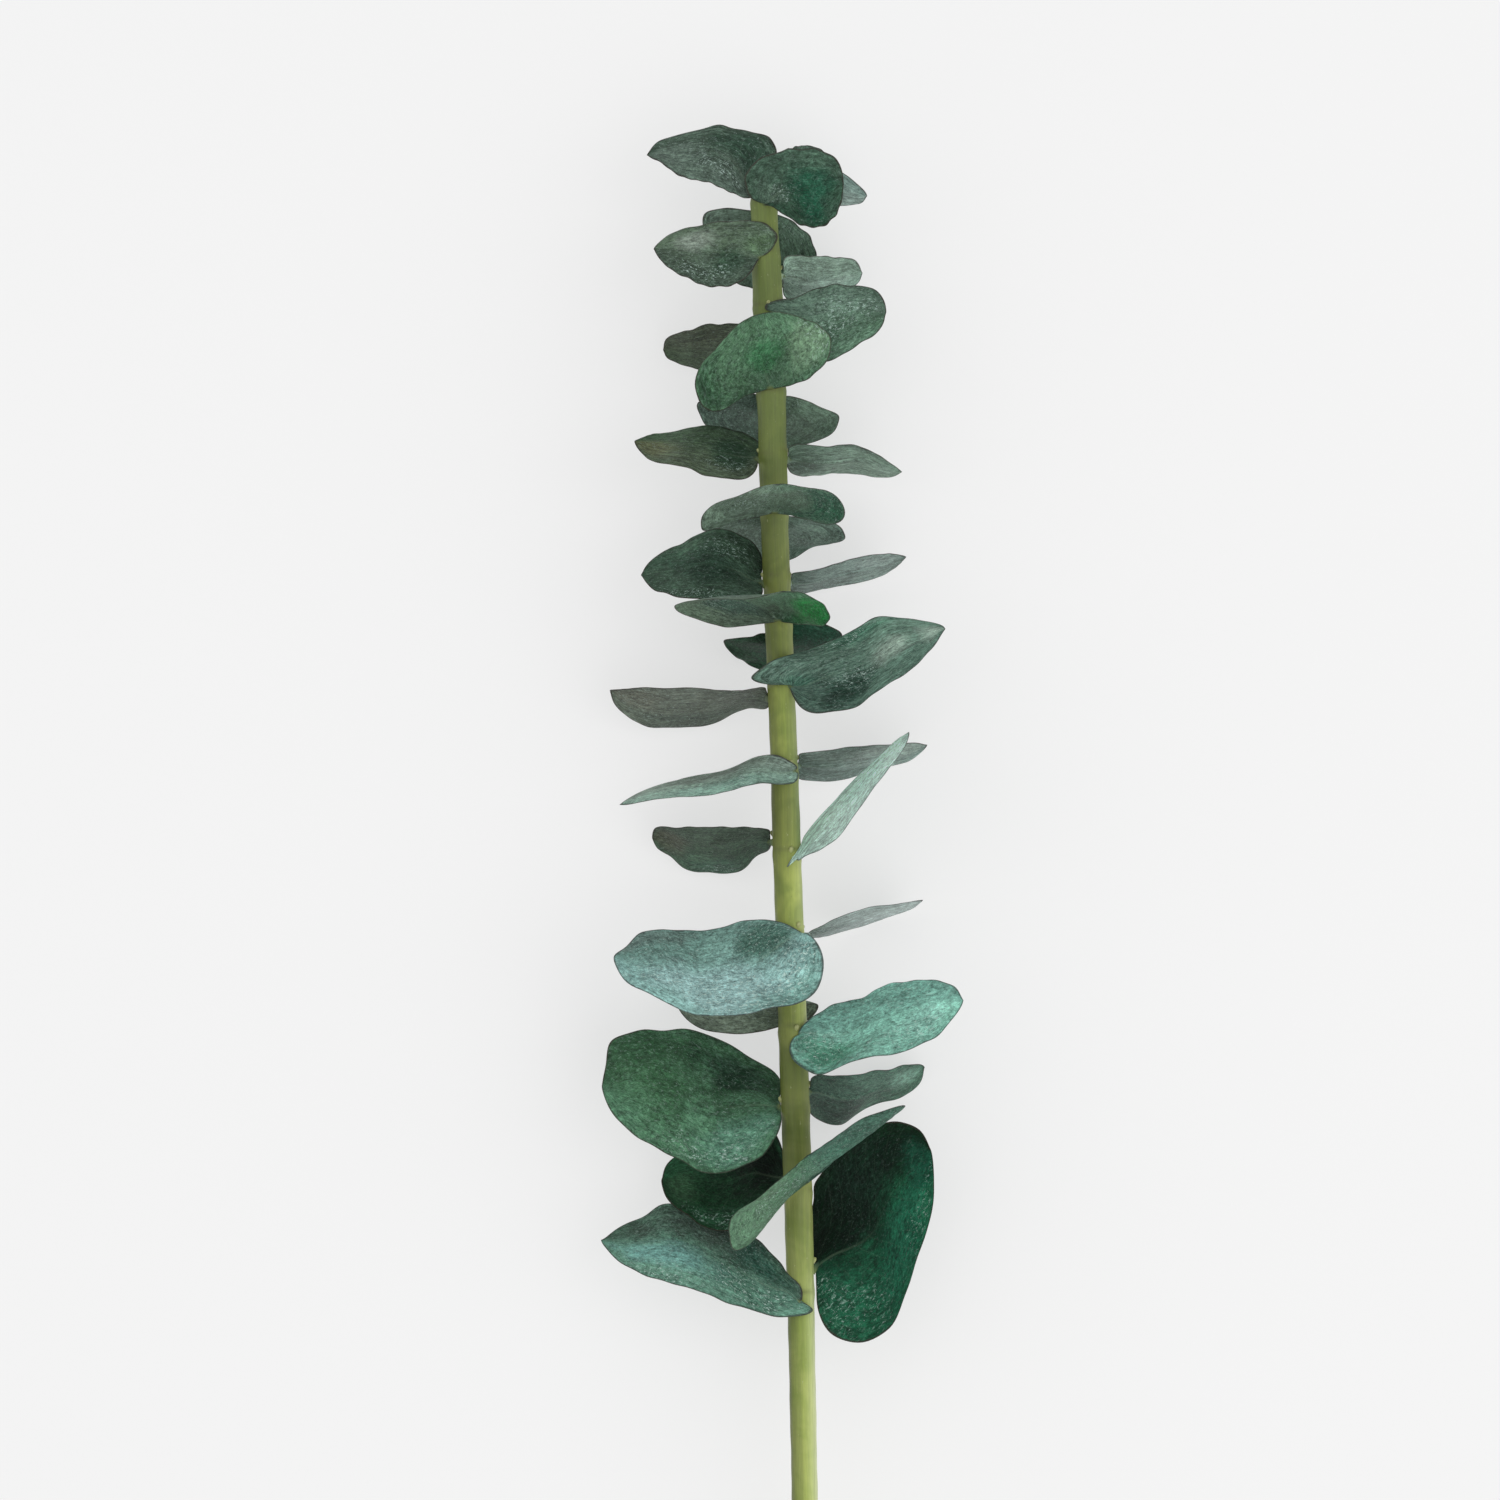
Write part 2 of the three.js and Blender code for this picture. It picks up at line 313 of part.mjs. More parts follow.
  ],
  leaf_10_left: [
    [[2.7, 35.0, 0.8], [2.7, 35.0, 0.8], [2.7, 35.0, 0.8]],
    [[2.8, 36.2, 0.3], [2.0, 35.2, 1.0], [2.8, 34.1, 1.7]],
    [[2.9, 38.1, -1.5], [0.7, 35.4, 1.3], [2.5, 32.6, 4.1]],
    [[2.5, 41.0, -3.4], [-1.3, 36.6, 1.8], [0.4, 31.8, 7.0]],
    [[-0.3, 44.3, -4.5], [-4.3, 38.0, 2.2], [-3.1, 31.4, 8.8]],
    [[-4.9, 46.5, -4.9], [-7.8, 38.9, 2.5], [-7.3, 31.2, 9.5]],
    [[-10.0, 46.0, -4.8], [-11.4, 38.7, 2.4], [-11.4, 31.4, 9.3]],
    [[-14.5, 43.5, -4.4], [-15.1, 37.7, 1.9], [-15.5, 32.0, 7.8]],
    [[-18.5, 41.6, -3.2], [-18.3, 37.3, 1.4], [-18.9, 33.0, 5.7]],
    [[-21.2, 39.6, -1.5], [-20.6, 37.0, 0.9], [-21.3, 34.5, 3.2]],
    [[-22.4, 37.7, 0.1], [-22.2, 36.8, 0.6], [-22.4, 36.0, 1.0]],
    [[-22.9, 36.7, 0.4], [-22.9, 36.7, 0.4], [-22.9, 36.7, 0.4]],
  ],
  leaf_10_right: [
    [[8.0, 35.1, -0.8], [8.0, 35.1, -0.8], [8.0, 35.1, -0.8]],
    [[8.2, 35.9, -0.5], [8.7, 35.2, -1.4], [8.2, 34.3, -2.2]],
    [[8.8, 37.0, 1.5], [10.0, 35.3, -2.2], [9.0, 33.2, -5.9]],
    [[10.9, 37.3, 3.9], [12.1, 35.4, -3.6], [11.2, 33.1, -11.0]],
    [[14.0, 37.8, 4.3], [15.2, 36.1, -5.5], [14.5, 34.0, -15.2]],
    [[17.6, 38.9, 3.0], [18.7, 37.1, -7.7], [18.5, 34.9, -18.4]],
    [[21.2, 40.1, 0.7], [22.2, 37.9, -9.5], [22.4, 35.5, -19.7]],
    [[24.9, 41.0, -2.4], [25.7, 38.8, -10.9], [26.3, 36.5, -19.4]],
    [[28.2, 41.4, -5.7], [28.7, 39.6, -11.9], [29.4, 37.8, -18.1]],
    [[30.7, 41.5, -9.3], [30.9, 40.3, -12.5], [31.5, 39.2, -15.8]],
    [[32.4, 41.3, -12.3], [32.4, 40.8, -12.9], [32.6, 40.3, -13.4]],
    [[33.2, 41.0, -13.0], [33.2, 41.0, -13.0], [33.2, 41.0, -13.0]],
  ],
  leaf_11_front: [
    [[5.2, 49.6, 3.4], [5.2, 49.6, 3.4], [5.2, 49.6, 3.4]],
    [[4.2, 49.4, 3.1], [5.2, 49.8, 3.4], [6.2, 49.4, 3.2]],
    [[2.3, 49.0, 2.9], [5.3, 50.1, 3.7], [7.9, 49.2, 3.2]],
    [[-0.5, 48.4, 3.1], [5.3, 50.6, 4.5], [10.5, 48.6, 3.5]],
    [[-4.8, 47.2, 3.9], [5.3, 51.2, 6.2], [14.4, 47.5, 4.6]],
    [[-9.8, 45.9, 7.5], [5.2, 51.9, 10.4], [18.9, 47.7, 8.3]],
    [[-9.1, 49.9, 12.2], [5.4, 52.6, 15.1], [19.3, 51.1, 13.0]],
    [[-4.4, 51.9, 17.5], [5.8, 53.2, 19.9], [15.8, 53.5, 18.2]],
    [[-0.4, 53.4, 20.5], [5.8, 53.8, 22.0], [11.9, 54.1, 20.9]],
    [[2.7, 54.4, 22.3], [5.8, 54.3, 23.1], [8.9, 54.6, 22.5]],
    [[4.9, 54.7, 23.2], [5.9, 54.6, 23.5], [7.0, 54.8, 23.3]],
    [[6.0, 54.8, 23.5], [6.0, 54.8, 23.5], [6.0, 54.8, 23.5]],
  ],
  leaf_11_back: [
    [[5.3, 49.5, -3.4], [5.3, 49.5, -3.4], [5.3, 49.5, -3.4]],
    [[4.3, 49.4, -3.2], [5.2, 49.2, -3.4], [6.2, 49.5, -3.2]],
    [[2.7, 49.3, -3.3], [5.2, 48.7, -3.7], [7.6, 49.3, -3.3]],
    [[0.1, 49.0, -3.7], [5.0, 47.9, -4.5], [10.0, 49.1, -3.7]],
    [[-3.8, 48.4, -4.9], [4.9, 46.8, -6.2], [13.5, 48.5, -4.9]],
    [[-8.1, 46.9, -8.5], [4.8, 45.6, -10.2], [17.7, 48.2, -8.5]],
    [[-8.4, 43.7, -12.7], [5.9, 44.3, -14.4], [20.2, 45.0, -12.7]],
    [[-4.4, 41.8, -17.0], [5.5, 43.1, -18.4], [15.4, 43.7, -17.0]],
    [[-0.6, 40.7, -19.4], [5.4, 41.9, -20.3], [11.4, 42.1, -19.4]],
    [[2.4, 40.3, -20.9], [5.5, 41.0, -21.3], [8.6, 40.6, -20.9]],
    [[4.4, 40.2, -21.6], [5.4, 40.4, -21.7], [6.4, 40.3, -21.6]],
    [[5.3, 40.1, -21.8], [5.3, 40.1, -21.8], [5.3, 40.1, -21.8]],
  ],
  leaf_12_left: [
    [[1.9, 61.1, 0.6], [1.9, 61.1, 0.6], [1.9, 61.1, 0.6]],
    [[2.5, 61.8, 0.1], [1.1, 61.1, 0.8], [1.8, 60.1, 1.5]],
    [[2.8, 63.4, -1.9], [-0.2, 61.3, 0.9], [1.2, 58.5, 4.0]],
    [[1.2, 65.3, -4.5], [-2.3, 61.4, 1.2], [-0.6, 56.8, 7.1]],
    [[-2.1, 67.4, -6.4], [-5.4, 62.1, 1.3], [-4.3, 56.3, 9.0]],
    [[-6.4, 68.3, -7.6], [-9.1, 62.8, 1.2], [-8.5, 57.0, 10.0]],
    [[-10.9, 68.4, -7.8], [-12.7, 63.5, 0.9], [-12.6, 58.5, 9.6]],
    [[-15.2, 67.6, -7.1], [-16.5, 63.6, 0.3], [-16.9, 59.6, 7.7]],
    [[-19.0, 66.9, -5.7], [-19.7, 63.7, -0.4], [-20.5, 60.5, 4.9]],
    [[-21.7, 66.2, -3.8], [-22.0, 64.2, -1.0], [-22.9, 62.3, 1.8]],
    [[-23.5, 65.4, -2.0], [-23.6, 64.7, -1.4], [-24.0, 64.0, -0.9]],
    [[-24.3, 65.0, -1.7], [-24.3, 65.0, -1.7], [-24.3, 65.0, -1.7]],
  ],
  leaf_12_right: [
    [[7.6, 61.1, -0.6], [7.6, 61.1, -0.6], [7.6, 61.1, -0.6]],
    [[7.6, 62.0, -0.3], [8.3, 61.1, -1.0], [7.6, 60.4, -1.7]],
    [[7.9, 63.3, 1.5], [9.5, 61.1, -1.5], [8.0, 59.2, -4.6]],
    [[9.8, 64.0, 3.6], [11.5, 60.9, -2.4], [9.6, 58.1, -8.5]],
    [[13.2, 63.9, 4.5], [14.5, 60.8, -3.7], [12.8, 58.0, -11.9]],
    [[17.1, 63.6, 4.1], [18.0, 61.0, -5.1], [16.7, 58.6, -14.3]],
    [[21.1, 64.1, 2.4], [21.5, 61.4, -6.4], [20.5, 58.8, -15.2]],
    [[24.9, 63.1, -0.2], [24.9, 60.7, -7.6], [24.4, 58.4, -15.0]],
    [[27.9, 61.6, -3.1], [27.8, 59.7, -8.5], [27.6, 57.9, -13.9]],
    [[30.1, 60.3, -6.3], [30.0, 59.1, -9.1], [30.0, 57.9, -11.9]],
    [[31.6, 59.4, -9.0], [31.5, 58.9, -9.5], [31.5, 58.4, -10.0]],
    [[32.2, 58.9, -9.7], [32.2, 58.9, -9.7], [32.2, 58.9, -9.7]],
  ],
  leaf_13_front: [
    [[4.4, 75.6, 3.4], [4.4, 75.6, 3.4], [4.4, 75.6, 3.4]],
    [[3.1, 75.3, 3.3], [4.2, 76.1, 3.6], [5.4, 75.7, 3.4]],
    [[1.0, 74.7, 3.3], [3.9, 76.8, 4.0], [7.1, 76.0, 3.6]],
    [[-2.3, 73.5, 3.6], [3.5, 78.0, 4.8], [9.7, 76.6, 4.2]],
    [[-6.8, 70.8, 4.4], [2.9, 79.8, 6.3], [13.3, 78.4, 5.3]],
    [[-10.8, 73.0, 6.5], [2.5, 81.8, 9.0], [16.4, 81.9, 7.7]],
    [[-10.9, 79.0, 9.1], [2.7, 83.9, 11.6], [16.4, 86.4, 10.4]],
    [[-7.2, 83.5, 12.1], [2.9, 85.9, 14.1], [12.9, 89.0, 13.1]],
    [[-3.7, 87.2, 14.0], [2.8, 87.7, 15.3], [9.1, 90.2, 14.7]],
    [[-0.6, 89.5, 15.3], [2.8, 89.1, 16.0], [6.1, 90.8, 15.7]],
    [[1.8, 90.3, 16.1], [3.0, 90.1, 16.3], [4.1, 90.7, 16.2]],
    [[3.1, 90.6, 16.4], [3.1, 90.6, 16.4], [3.1, 90.6, 16.4]],
  ],
  leaf_13_back: [
    [[4.4, 74.1, -3.4], [4.4, 74.1, -3.4], [4.4, 74.1, -3.4]],
    [[3.4, 74.4, -3.3], [4.4, 73.8, -3.4], [5.5, 74.3, -3.3]],
    [[1.6, 74.9, -3.3], [4.4, 73.3, -3.7], [7.3, 74.5, -3.3]],
    [[-1.2, 75.2, -3.7], [4.4, 72.4, -4.5], [10.3, 74.3, -3.7]],
    [[-5.5, 74.7, -4.9], [4.3, 71.2, -6.1], [14.3, 72.6, -4.9]],
    [[-10.6, 74.0, -8.0], [4.1, 69.9, -9.6], [18.9, 70.4, -8.0]],
    [[-10.1, 69.9, -11.7], [3.5, 68.6, -13.4], [17.1, 67.0, -11.7]],
    [[-6.3, 66.8, -15.8], [3.5, 67.2, -17.1], [13.2, 65.4, -15.8]],
    [[-2.4, 65.1, -18.1], [3.7, 66.0, -19.0], [9.6, 64.6, -18.1]],
    [[0.8, 64.2, -19.6], [3.8, 65.0, -20.0], [6.9, 64.2, -19.6]],
    [[3.0, 64.0, -20.3], [4.0, 64.4, -20.5], [5.0, 64.1, -20.3]],
    [[4.1, 64.0, -20.6], [4.1, 64.0, -20.6], [4.1, 64.0, -20.6]],
  ],
  leaf_14_right: [
    [[4.2, 92.0, 2.9], [4.2, 92.0, 2.9], [4.2, 92.0, 2.9]],
    [[3.3, 92.4, 3.0], [4.9, 91.6, 3.1], [4.3, 90.9, 3.1]],
    [[3.6, 93.5, 3.0], [6.1, 91.4, 3.2], [5.0, 89.3, 3.3]],
    [[6.0, 94.3, 2.4], [8.1, 90.5, 3.3], [6.4, 86.9, 3.5]],
    [[9.7, 95.2, 1.3], [11.0, 89.4, 3.3], [9.1, 83.8, 3.8]],
    [[13.7, 97.1, -0.4], [14.4, 88.9, 2.9], [13.0, 81.0, 3.5]],
    [[18.1, 97.7, -1.6], [17.8, 89.7, 2.3], [17.5, 81.9, 3.1]],
    [[22.6, 97.6, -1.9], [21.3, 90.9, 1.5], [21.8, 84.3, 2.4]],
    [[26.3, 96.8, -1.3], [24.2, 91.6, 0.9], [25.4, 86.5, 1.6]],
    [[28.1, 94.6, -0.8], [26.4, 91.7, 0.5], [27.6, 88.8, 0.9]],
    [[28.6, 92.7, -0.1], [27.9, 91.7, 0.2], [28.3, 90.7, 0.3]],
    [[28.6, 91.8, 0.0], [28.6, 91.8, 0.0], [28.6, 91.8, 0.0]],
  ],
  leaf_14_left: [
    [[1.5, 85.3, -1.0], [1.5, 85.3, -1.0], [1.5, 85.3, -1.0]],
    [[1.5, 86.1, -0.9], [0.9, 85.4, -1.6], [1.5, 84.7, -2.3]],
    [[1.5, 87.3, 0.3], [-0.1, 85.4, -2.5], [1.5, 83.7, -5.3]],
    [[1.0, 89.3, 0.9], [-1.7, 85.6, -3.9], [0.4, 82.2, -9.1]],
    [[-2.0, 89.6, 0.7], [-4.1, 85.2, -6.0], [-2.1, 80.9, -12.8]],
    [[-5.6, 89.6, -0.8], [-6.8, 85.0, -8.4], [-5.5, 80.5, -16.1]],
    [[-9.3, 89.5, -3.1], [-9.6, 85.1, -10.5], [-9.0, 80.8, -18.0]],
    [[-12.8, 88.7, -6.2], [-12.4, 85.1, -12.4], [-12.4, 81.5, -18.7]],
    [[-15.8, 88.1, -9.3], [-14.9, 85.3, -13.8], [-15.3, 82.4, -18.3]],
    [[-17.9, 87.2, -12.5], [-16.7, 85.3, -14.7], [-17.4, 83.3, -17.0]],
    [[-18.4, 85.9, -14.8], [-17.9, 85.2, -15.3], [-18.2, 84.4, -15.7]],
    [[-18.5, 85.1, -15.5], [-18.5, 85.1, -15.5], [-18.5, 85.1, -15.5]],
  ],
  leaf_15_left: [
    [[2.5, 103.3, 2.7], [2.5, 103.3, 2.7], [2.5, 103.3, 2.7]],
    [[3.4, 103.8, 2.9], [1.8, 103.3, 3.0], [1.9, 102.7, 3.0]],
    [[4.7, 105.0, 3.1], [0.7, 103.4, 3.3], [1.1, 101.5, 3.8]],
    [[5.7, 107.5, 3.7], [-1.1, 103.8, 3.8], [0.0, 99.4, 5.4]],
    [[3.1, 110.3, 3.3], [-3.8, 104.2, 4.3], [-2.6, 97.3, 7.2]],
    [[-1.7, 111.0, 1.1], [-7.0, 104.0, 4.6], [-6.5, 96.5, 9.2]],
    [[-6.6, 110.9, -0.4], [-10.2, 104.1, 4.5], [-10.4, 97.1, 10.0]],
    [[-11.4, 110.2, -0.7], [-13.3, 104.6, 4.0], [-14.0, 98.8, 8.8]],
    [[-15.4, 109.0, -0.1], [-16.1, 104.8, 3.5], [-17.0, 100.6, 7.0]],
    [[-18.1, 107.4, 1.0], [-18.1, 104.9, 3.0], [-18.9, 102.5, 5.0]],
    [[-19.6, 105.9, 2.3], [-19.5, 105.0, 2.7], [-19.8, 104.2, 3.1]],
    [[-20.2, 105.0, 2.5], [-20.2, 105.0, 2.5], [-20.2, 105.0, 2.5]],
  ],
  leaf_15_right: [
    [[6.7, 99.6, -1.0], [6.7, 99.6, -1.0], [6.7, 99.6, -1.0]],
    [[6.7, 100.3, -1.0], [7.2, 99.7, -1.6], [6.7, 99.0, -2.2]],
    [[6.7, 101.3, 0.1], [8.1, 99.7, -2.5], [6.9, 98.1, -5.2]],
    [[7.0, 103.1, 0.6], [9.5, 99.8, -3.9], [7.1, 96.4, -8.4]],
    [[9.3, 104.0, 0.0], [11.5, 99.5, -5.9], [9.0, 94.9, -11.7]],
    [[12.4, 103.9, -1.2], [13.9, 99.6, -8.1], [12.4, 95.1, -15.0]],
    [[15.5, 104.0, -3.3], [16.3, 99.9, -10.0], [15.8, 95.6, -16.7]],
    [[18.7, 104.0, -6.1], [18.7, 100.4, -11.7], [19.0, 96.8, -17.3]],
    [[21.4, 104.0, -8.9], [20.8, 101.1, -12.8], [21.5, 98.2, -16.8]],
    [[23.0, 103.1, -11.5], [22.3, 101.2, -13.6], [23.2, 99.5, -15.7]],
    [[23.6, 102.0, -13.6], [23.4, 101.3, -14.1], [23.7, 100.7, -14.5]],
    [[23.9, 101.4, -14.3], [23.9, 101.4, -14.3], [23.9, 101.4, -14.3]],
  ],
  leaf_16_back: [
    [[3.4, 113.3, -2.9], [3.4, 113.3, -2.9], [3.4, 113.3, -2.9]],
    [[2.4, 113.5, -3.0], [3.3, 112.8, -3.2], [4.3, 113.1, -3.0]],
    [[0.7, 113.7, -3.3], [3.1, 112.0, -3.6], [5.9, 112.7, -3.3]],
    [[-2.0, 114.0, -3.8], [2.8, 110.9, -4.4], [8.3, 111.8, -3.8]],
    [[-6.1, 114.2, -4.9], [2.1, 109.1, -5.9], [11.4, 109.5, -4.9]],
    [[-9.7, 112.9, -7.0], [1.6, 107.1, -8.2], [13.9, 105.8, -7.0]],
    [[-9.4, 108.3, -9.5], [2.0, 104.9, -10.7], [13.4, 101.7, -9.5]],
    [[-7.2, 104.3, -12.2], [1.6, 102.8, -13.3], [10.0, 99.0, -12.2]],
    [[-4.8, 101.1, -13.8], [1.0, 101.1, -14.5], [6.3, 98.0, -13.8]],
    [[-2.5, 99.1, -14.8], [0.6, 99.7, -15.2], [3.4, 97.9, -14.8]],
    [[-0.6, 98.5, -15.3], [0.5, 98.7, -15.5], [1.4, 98.1, -15.3]],
    [[0.4, 98.2, -15.5], [0.4, 98.2, -15.5], [0.4, 98.2, -15.5]],
  ],
  leaf_16_front: [
    [[2.7, 114.4, 2.9], [2.7, 114.4, 2.9], [2.7, 114.4, 2.9]],
    [[1.7, 114.7, 3.8], [3.2, 114.5, 3.7], [3.4, 114.0, 3.8]],
    [[0.2, 115.4, 5.2], [4.0, 114.9, 4.8], [4.5, 113.5, 5.4]],
    [[-1.0, 117.8, 6.7], [5.2, 115.7, 6.4], [6.2, 112.3, 7.6]],
    [[-0.2, 121.5, 8.6], [7.0, 116.8, 8.4], [8.6, 110.5, 9.5]],
    [[3.9, 123.9, 10.5], [9.4, 116.9, 10.2], [11.6, 108.9, 11.0]],
    [[8.6, 124.9, 11.8], [11.9, 116.9, 11.4], [15.0, 108.8, 11.8]],
    [[13.5, 124.9, 12.6], [14.2, 117.5, 12.4], [17.6, 110.7, 12.6]],
    [[17.3, 123.3, 13.1], [16.2, 117.8, 12.8], [18.8, 113.2, 13.2]],
    [[19.0, 120.6, 13.4], [17.8, 117.7, 13.1], [19.3, 115.3, 13.5]],
    [[19.4, 118.6, 13.3], [18.9, 117.6, 13.2], [19.4, 116.8, 13.3]],
    [[19.5, 117.5, 13.2], [19.5, 117.5, 13.2], [19.5, 117.5, 13.2]],
  ],
  leaf_17_left: [
    [[1.5, 117.1, 3.2], [1.5, 117.1, 3.2], [1.5, 117.1, 3.2]],
    [[2.5, 117.8, 3.1], [0.8, 117.4, 3.1], [1.0, 116.4, 3.1]],
    [[3.8, 119.4, 3.1], [-0.2, 118.1, 3.1], [0.1, 115.5, 3.1]],
    [[4.9, 122.5, 2.9], [-1.6, 120.2, 2.9], [-1.9, 115.9, 3.1]],
    [[5.1, 127.4, 2.6], [-3.6, 123.5, 2.7], [-4.8, 117.0, 3.1]],
    [[0.2, 129.8, 1.2], [-6.7, 125.2, 2.2], [-8.0, 118.6, 3.7]],
    [[-5.5, 131.1, -0.7], [-10.1, 125.7, 1.7], [-11.6, 119.2, 4.4]],
    [[-11.1, 130.7, -2.1], [-13.7, 125.7, 1.4], [-15.0, 120.3, 5.0]],
    [[-15.8, 129.1, -2.2], [-16.8, 125.6, 1.0], [-17.6, 122.0, 4.3]],
    [[-19.3, 127.9, -1.0], [-19.2, 125.5, 0.7], [-19.6, 123.4, 2.6]],
    [[-21.0, 126.0, 0.2], [-20.8, 125.1, 0.5], [-21.0, 124.4, 0.9]],
    [[-21.7, 124.9, 0.4], [-21.7, 124.9, 0.4], [-21.7, 124.9, 0.4]],
  ],
  leaf_17_right: [
    [[4.6, 118.1, -1.0], [4.6, 118.1, -1.0], [4.6, 118.1, -1.0]],
    [[4.7, 118.9, -0.9], [5.2, 118.1, -1.5], [4.6, 117.5, -2.0]],
    [[4.9, 120.0, 0.0], [6.2, 118.2, -2.1], [4.9, 116.6, -4.3]],
    [[6.0, 121.6, 0.7], [7.9, 118.3, -3.1], [6.1, 115.4, -7.1]],
    [[8.8, 122.8, 0.5], [10.3, 118.6, -4.6], [8.7, 114.5, -9.7]],
    [[12.4, 123.3, -0.4], [13.2, 118.9, -6.1], [12.0, 114.5, -11.9]],
    [[15.9, 123.0, -1.8], [16.0, 118.9, -7.4], [15.3, 114.9, -13.1]],
    [[19.2, 121.9, -3.7], [18.8, 118.7, -8.5], [18.6, 115.4, -13.3]],
    [[21.7, 120.3, -5.7], [21.2, 118.0, -9.2], [21.4, 115.7, -12.8]],
    [[23.5, 119.0, -7.8], [23.0, 117.5, -9.7], [23.5, 115.9, -11.5]],
    [[24.5, 118.0, -9.6], [24.2, 117.4, -10.0], [24.4, 116.7, -10.3]],
    [[24.8, 117.3, -10.1], [24.8, 117.3, -10.1], [24.8, 117.3, -10.1]],
  ],
  leaf_18_back: [
    [[5.0, 122.0, -2.3], [5.0, 122.0, -2.3], [5.0, 122.0, -2.3]],
    [[4.9, 122.3, -2.7], [5.3, 122.1, -2.5], [5.2, 121.5, -2.7]],
    [[4.7, 122.9, -3.5], [5.8, 122.2, -2.7], [5.7, 120.7, -3.5]],
    [[4.4, 123.8, -4.6], [6.4, 122.6, -3.1], [7.0, 120.7, -4.6]],
    [[5.0, 125.0, -5.6], [7.4, 123.0, -3.7], [9.3, 121.0, -5.6]],
    [[6.1, 126.0, -6.3], [8.6, 123.5, -4.3], [11.8, 121.9, -6.3]],
    [[7.4, 126.7, -6.8], [9.8, 124.0, -4.8], [14.2, 123.2, -6.6]],
    [[8.8, 127.2, -6.9], [10.7, 124.8, -5.3], [15.9, 125.1, -6.3]],
    [[10.0, 127.5, -6.8], [11.1, 126.0, -5.6], [15.1, 126.8, -6.2]],
    [[10.9, 127.7, -6.5], [11.4, 126.9, -5.8], [13.5, 127.4, -6.3]],
    [[11.5, 127.6, -6.0], [11.7, 127.4, -5.9], [12.4, 127.6, -6.0]],
    [[11.8, 127.6, -5.9], [11.8, 127.6, -5.9], [11.8, 127.6, -5.9]],
  ],
};

// Blade tint, dull blue-green in three depths.
const PALE = new Set(['leaf_05_left', 'leaf_06_right', 'leaf_04_right',
  'leaf_17_right', 'leaf_15_right', 'leaf_10_right', 'leaf_07_left', 'leaf_01_left']);
const DARK = new Set(['leaf_02_back', 'leaf_01_right', 'leaf_03_right',
  'leaf_06_left', 'leaf_13_back', 'leaf_14_left', 'leaf_16_back', 'leaf_09_back',
  'leaf_04_left', 'leaf_08_left', 'leaf_16_front', 'leaf_18_back']);
const TINT = { pale: 0x6f9a8e, mid: 0x47705c, dark: 0x33493f };
const BARK = 0x8a9a55;

// ------------------------------------------------------------------ geometry
// Natural cubic spline through values[k] (vectors) at knots x[k].
function naturalSpline(x, values) {
  const n = x.length;
  const dim = values[0].length;
  const second = values.map(() => new Array(dim).fill(0));
  for (let d = 0; d < dim; d++) {
    const cp = new Array(n).fill(0);
    const dp = new Array(n).fill(0);
    for (let i = 1; i < n - 1; i++) {
      const a = x[i] - x[i - 1];
      const c = x[i + 1] - x[i];
      const rhs = 6 * ((values[i + 1][d] - values[i][d]) / c - (values[i][d] - values[i - 1][d]) / a);
      const den = 2 * (a + c) - a * cp[i - 1];
      cp[i] = c / den;
      dp[i] = (rhs - a * dp[i - 1]) / den;
    }
    for (let i = n - 2; i > 0; i--) second[i][d] = dp[i] - cp[i] * second[i + 1][d];
  }
  return (t) => {
    let i = 0;
    while (i < n - 2 && t > x[i + 1]) i++;
    const h = x[i + 1] - x[i];
    const a = (x[i + 1] - t) / h;
    const b = (t - x[i]) / h;
    return values[i].map((v, d) => a * v + b * values[i + 1][d]
      + ((a * a * a - a) * second[i][d] + (b * b * b - b) * second[i + 1][d]) * h * h / 6);
  };
}

// Stem centre and radius at a height.
function stemAt(y) {
  const s = STEM_AXIS;
  if (y <= s[0][1]) return [s[0][0], s[0][2]];
  for (let i = 0; i < s.length - 1; i++) {
    if (y <= s[i + 1][1]) {
      const f = (y - s[i][1]) / (s[i + 1][1] - s[i][1]);
      return [s[i][0] + f * (s[i + 1][0] - s[i][0]), s[i][2] + f * (s[i + 1][2] - s[i][2])];
    }
  }
  const e = s[s.length - 1];
  return [e[0], e[2]];
}

// Bends a blade point outward where it would come too close to the stem.
function clearOfStem(p) {
  const [cx, r] = stemAt(p[1]);
  const top = STEM_AXIS[STEM_AXIS.length - 1][1];
  const over = Math.max(0, p[1] - top);
  const need = Math.sqrt(Math.max(0, (r + LEAF_STEM_GAP) ** 2 - over * over));
  const dx = p[0] - cx;
  const dz = p[2];
  const d = Math.hypot(dx, dz) + 1e-9;
  if (need <= 0 || d - need > LEAF_STEM_BLEND) return p;
  const k = Math.max(0, d - need + LEAF_STEM_BLEND);
  const f = (need + k * k / (4 * LEAF_STEM_BLEND)) / d;
  return [cx + dx * f, p[1], dz * f];
}

// Angle that stands for a fraction of the length, so that both ends of a blade
// close in a round curve instead of a point.
function roundEnds(s) {
  return Math.acos(1 - 2 * s) / Math.PI;
}

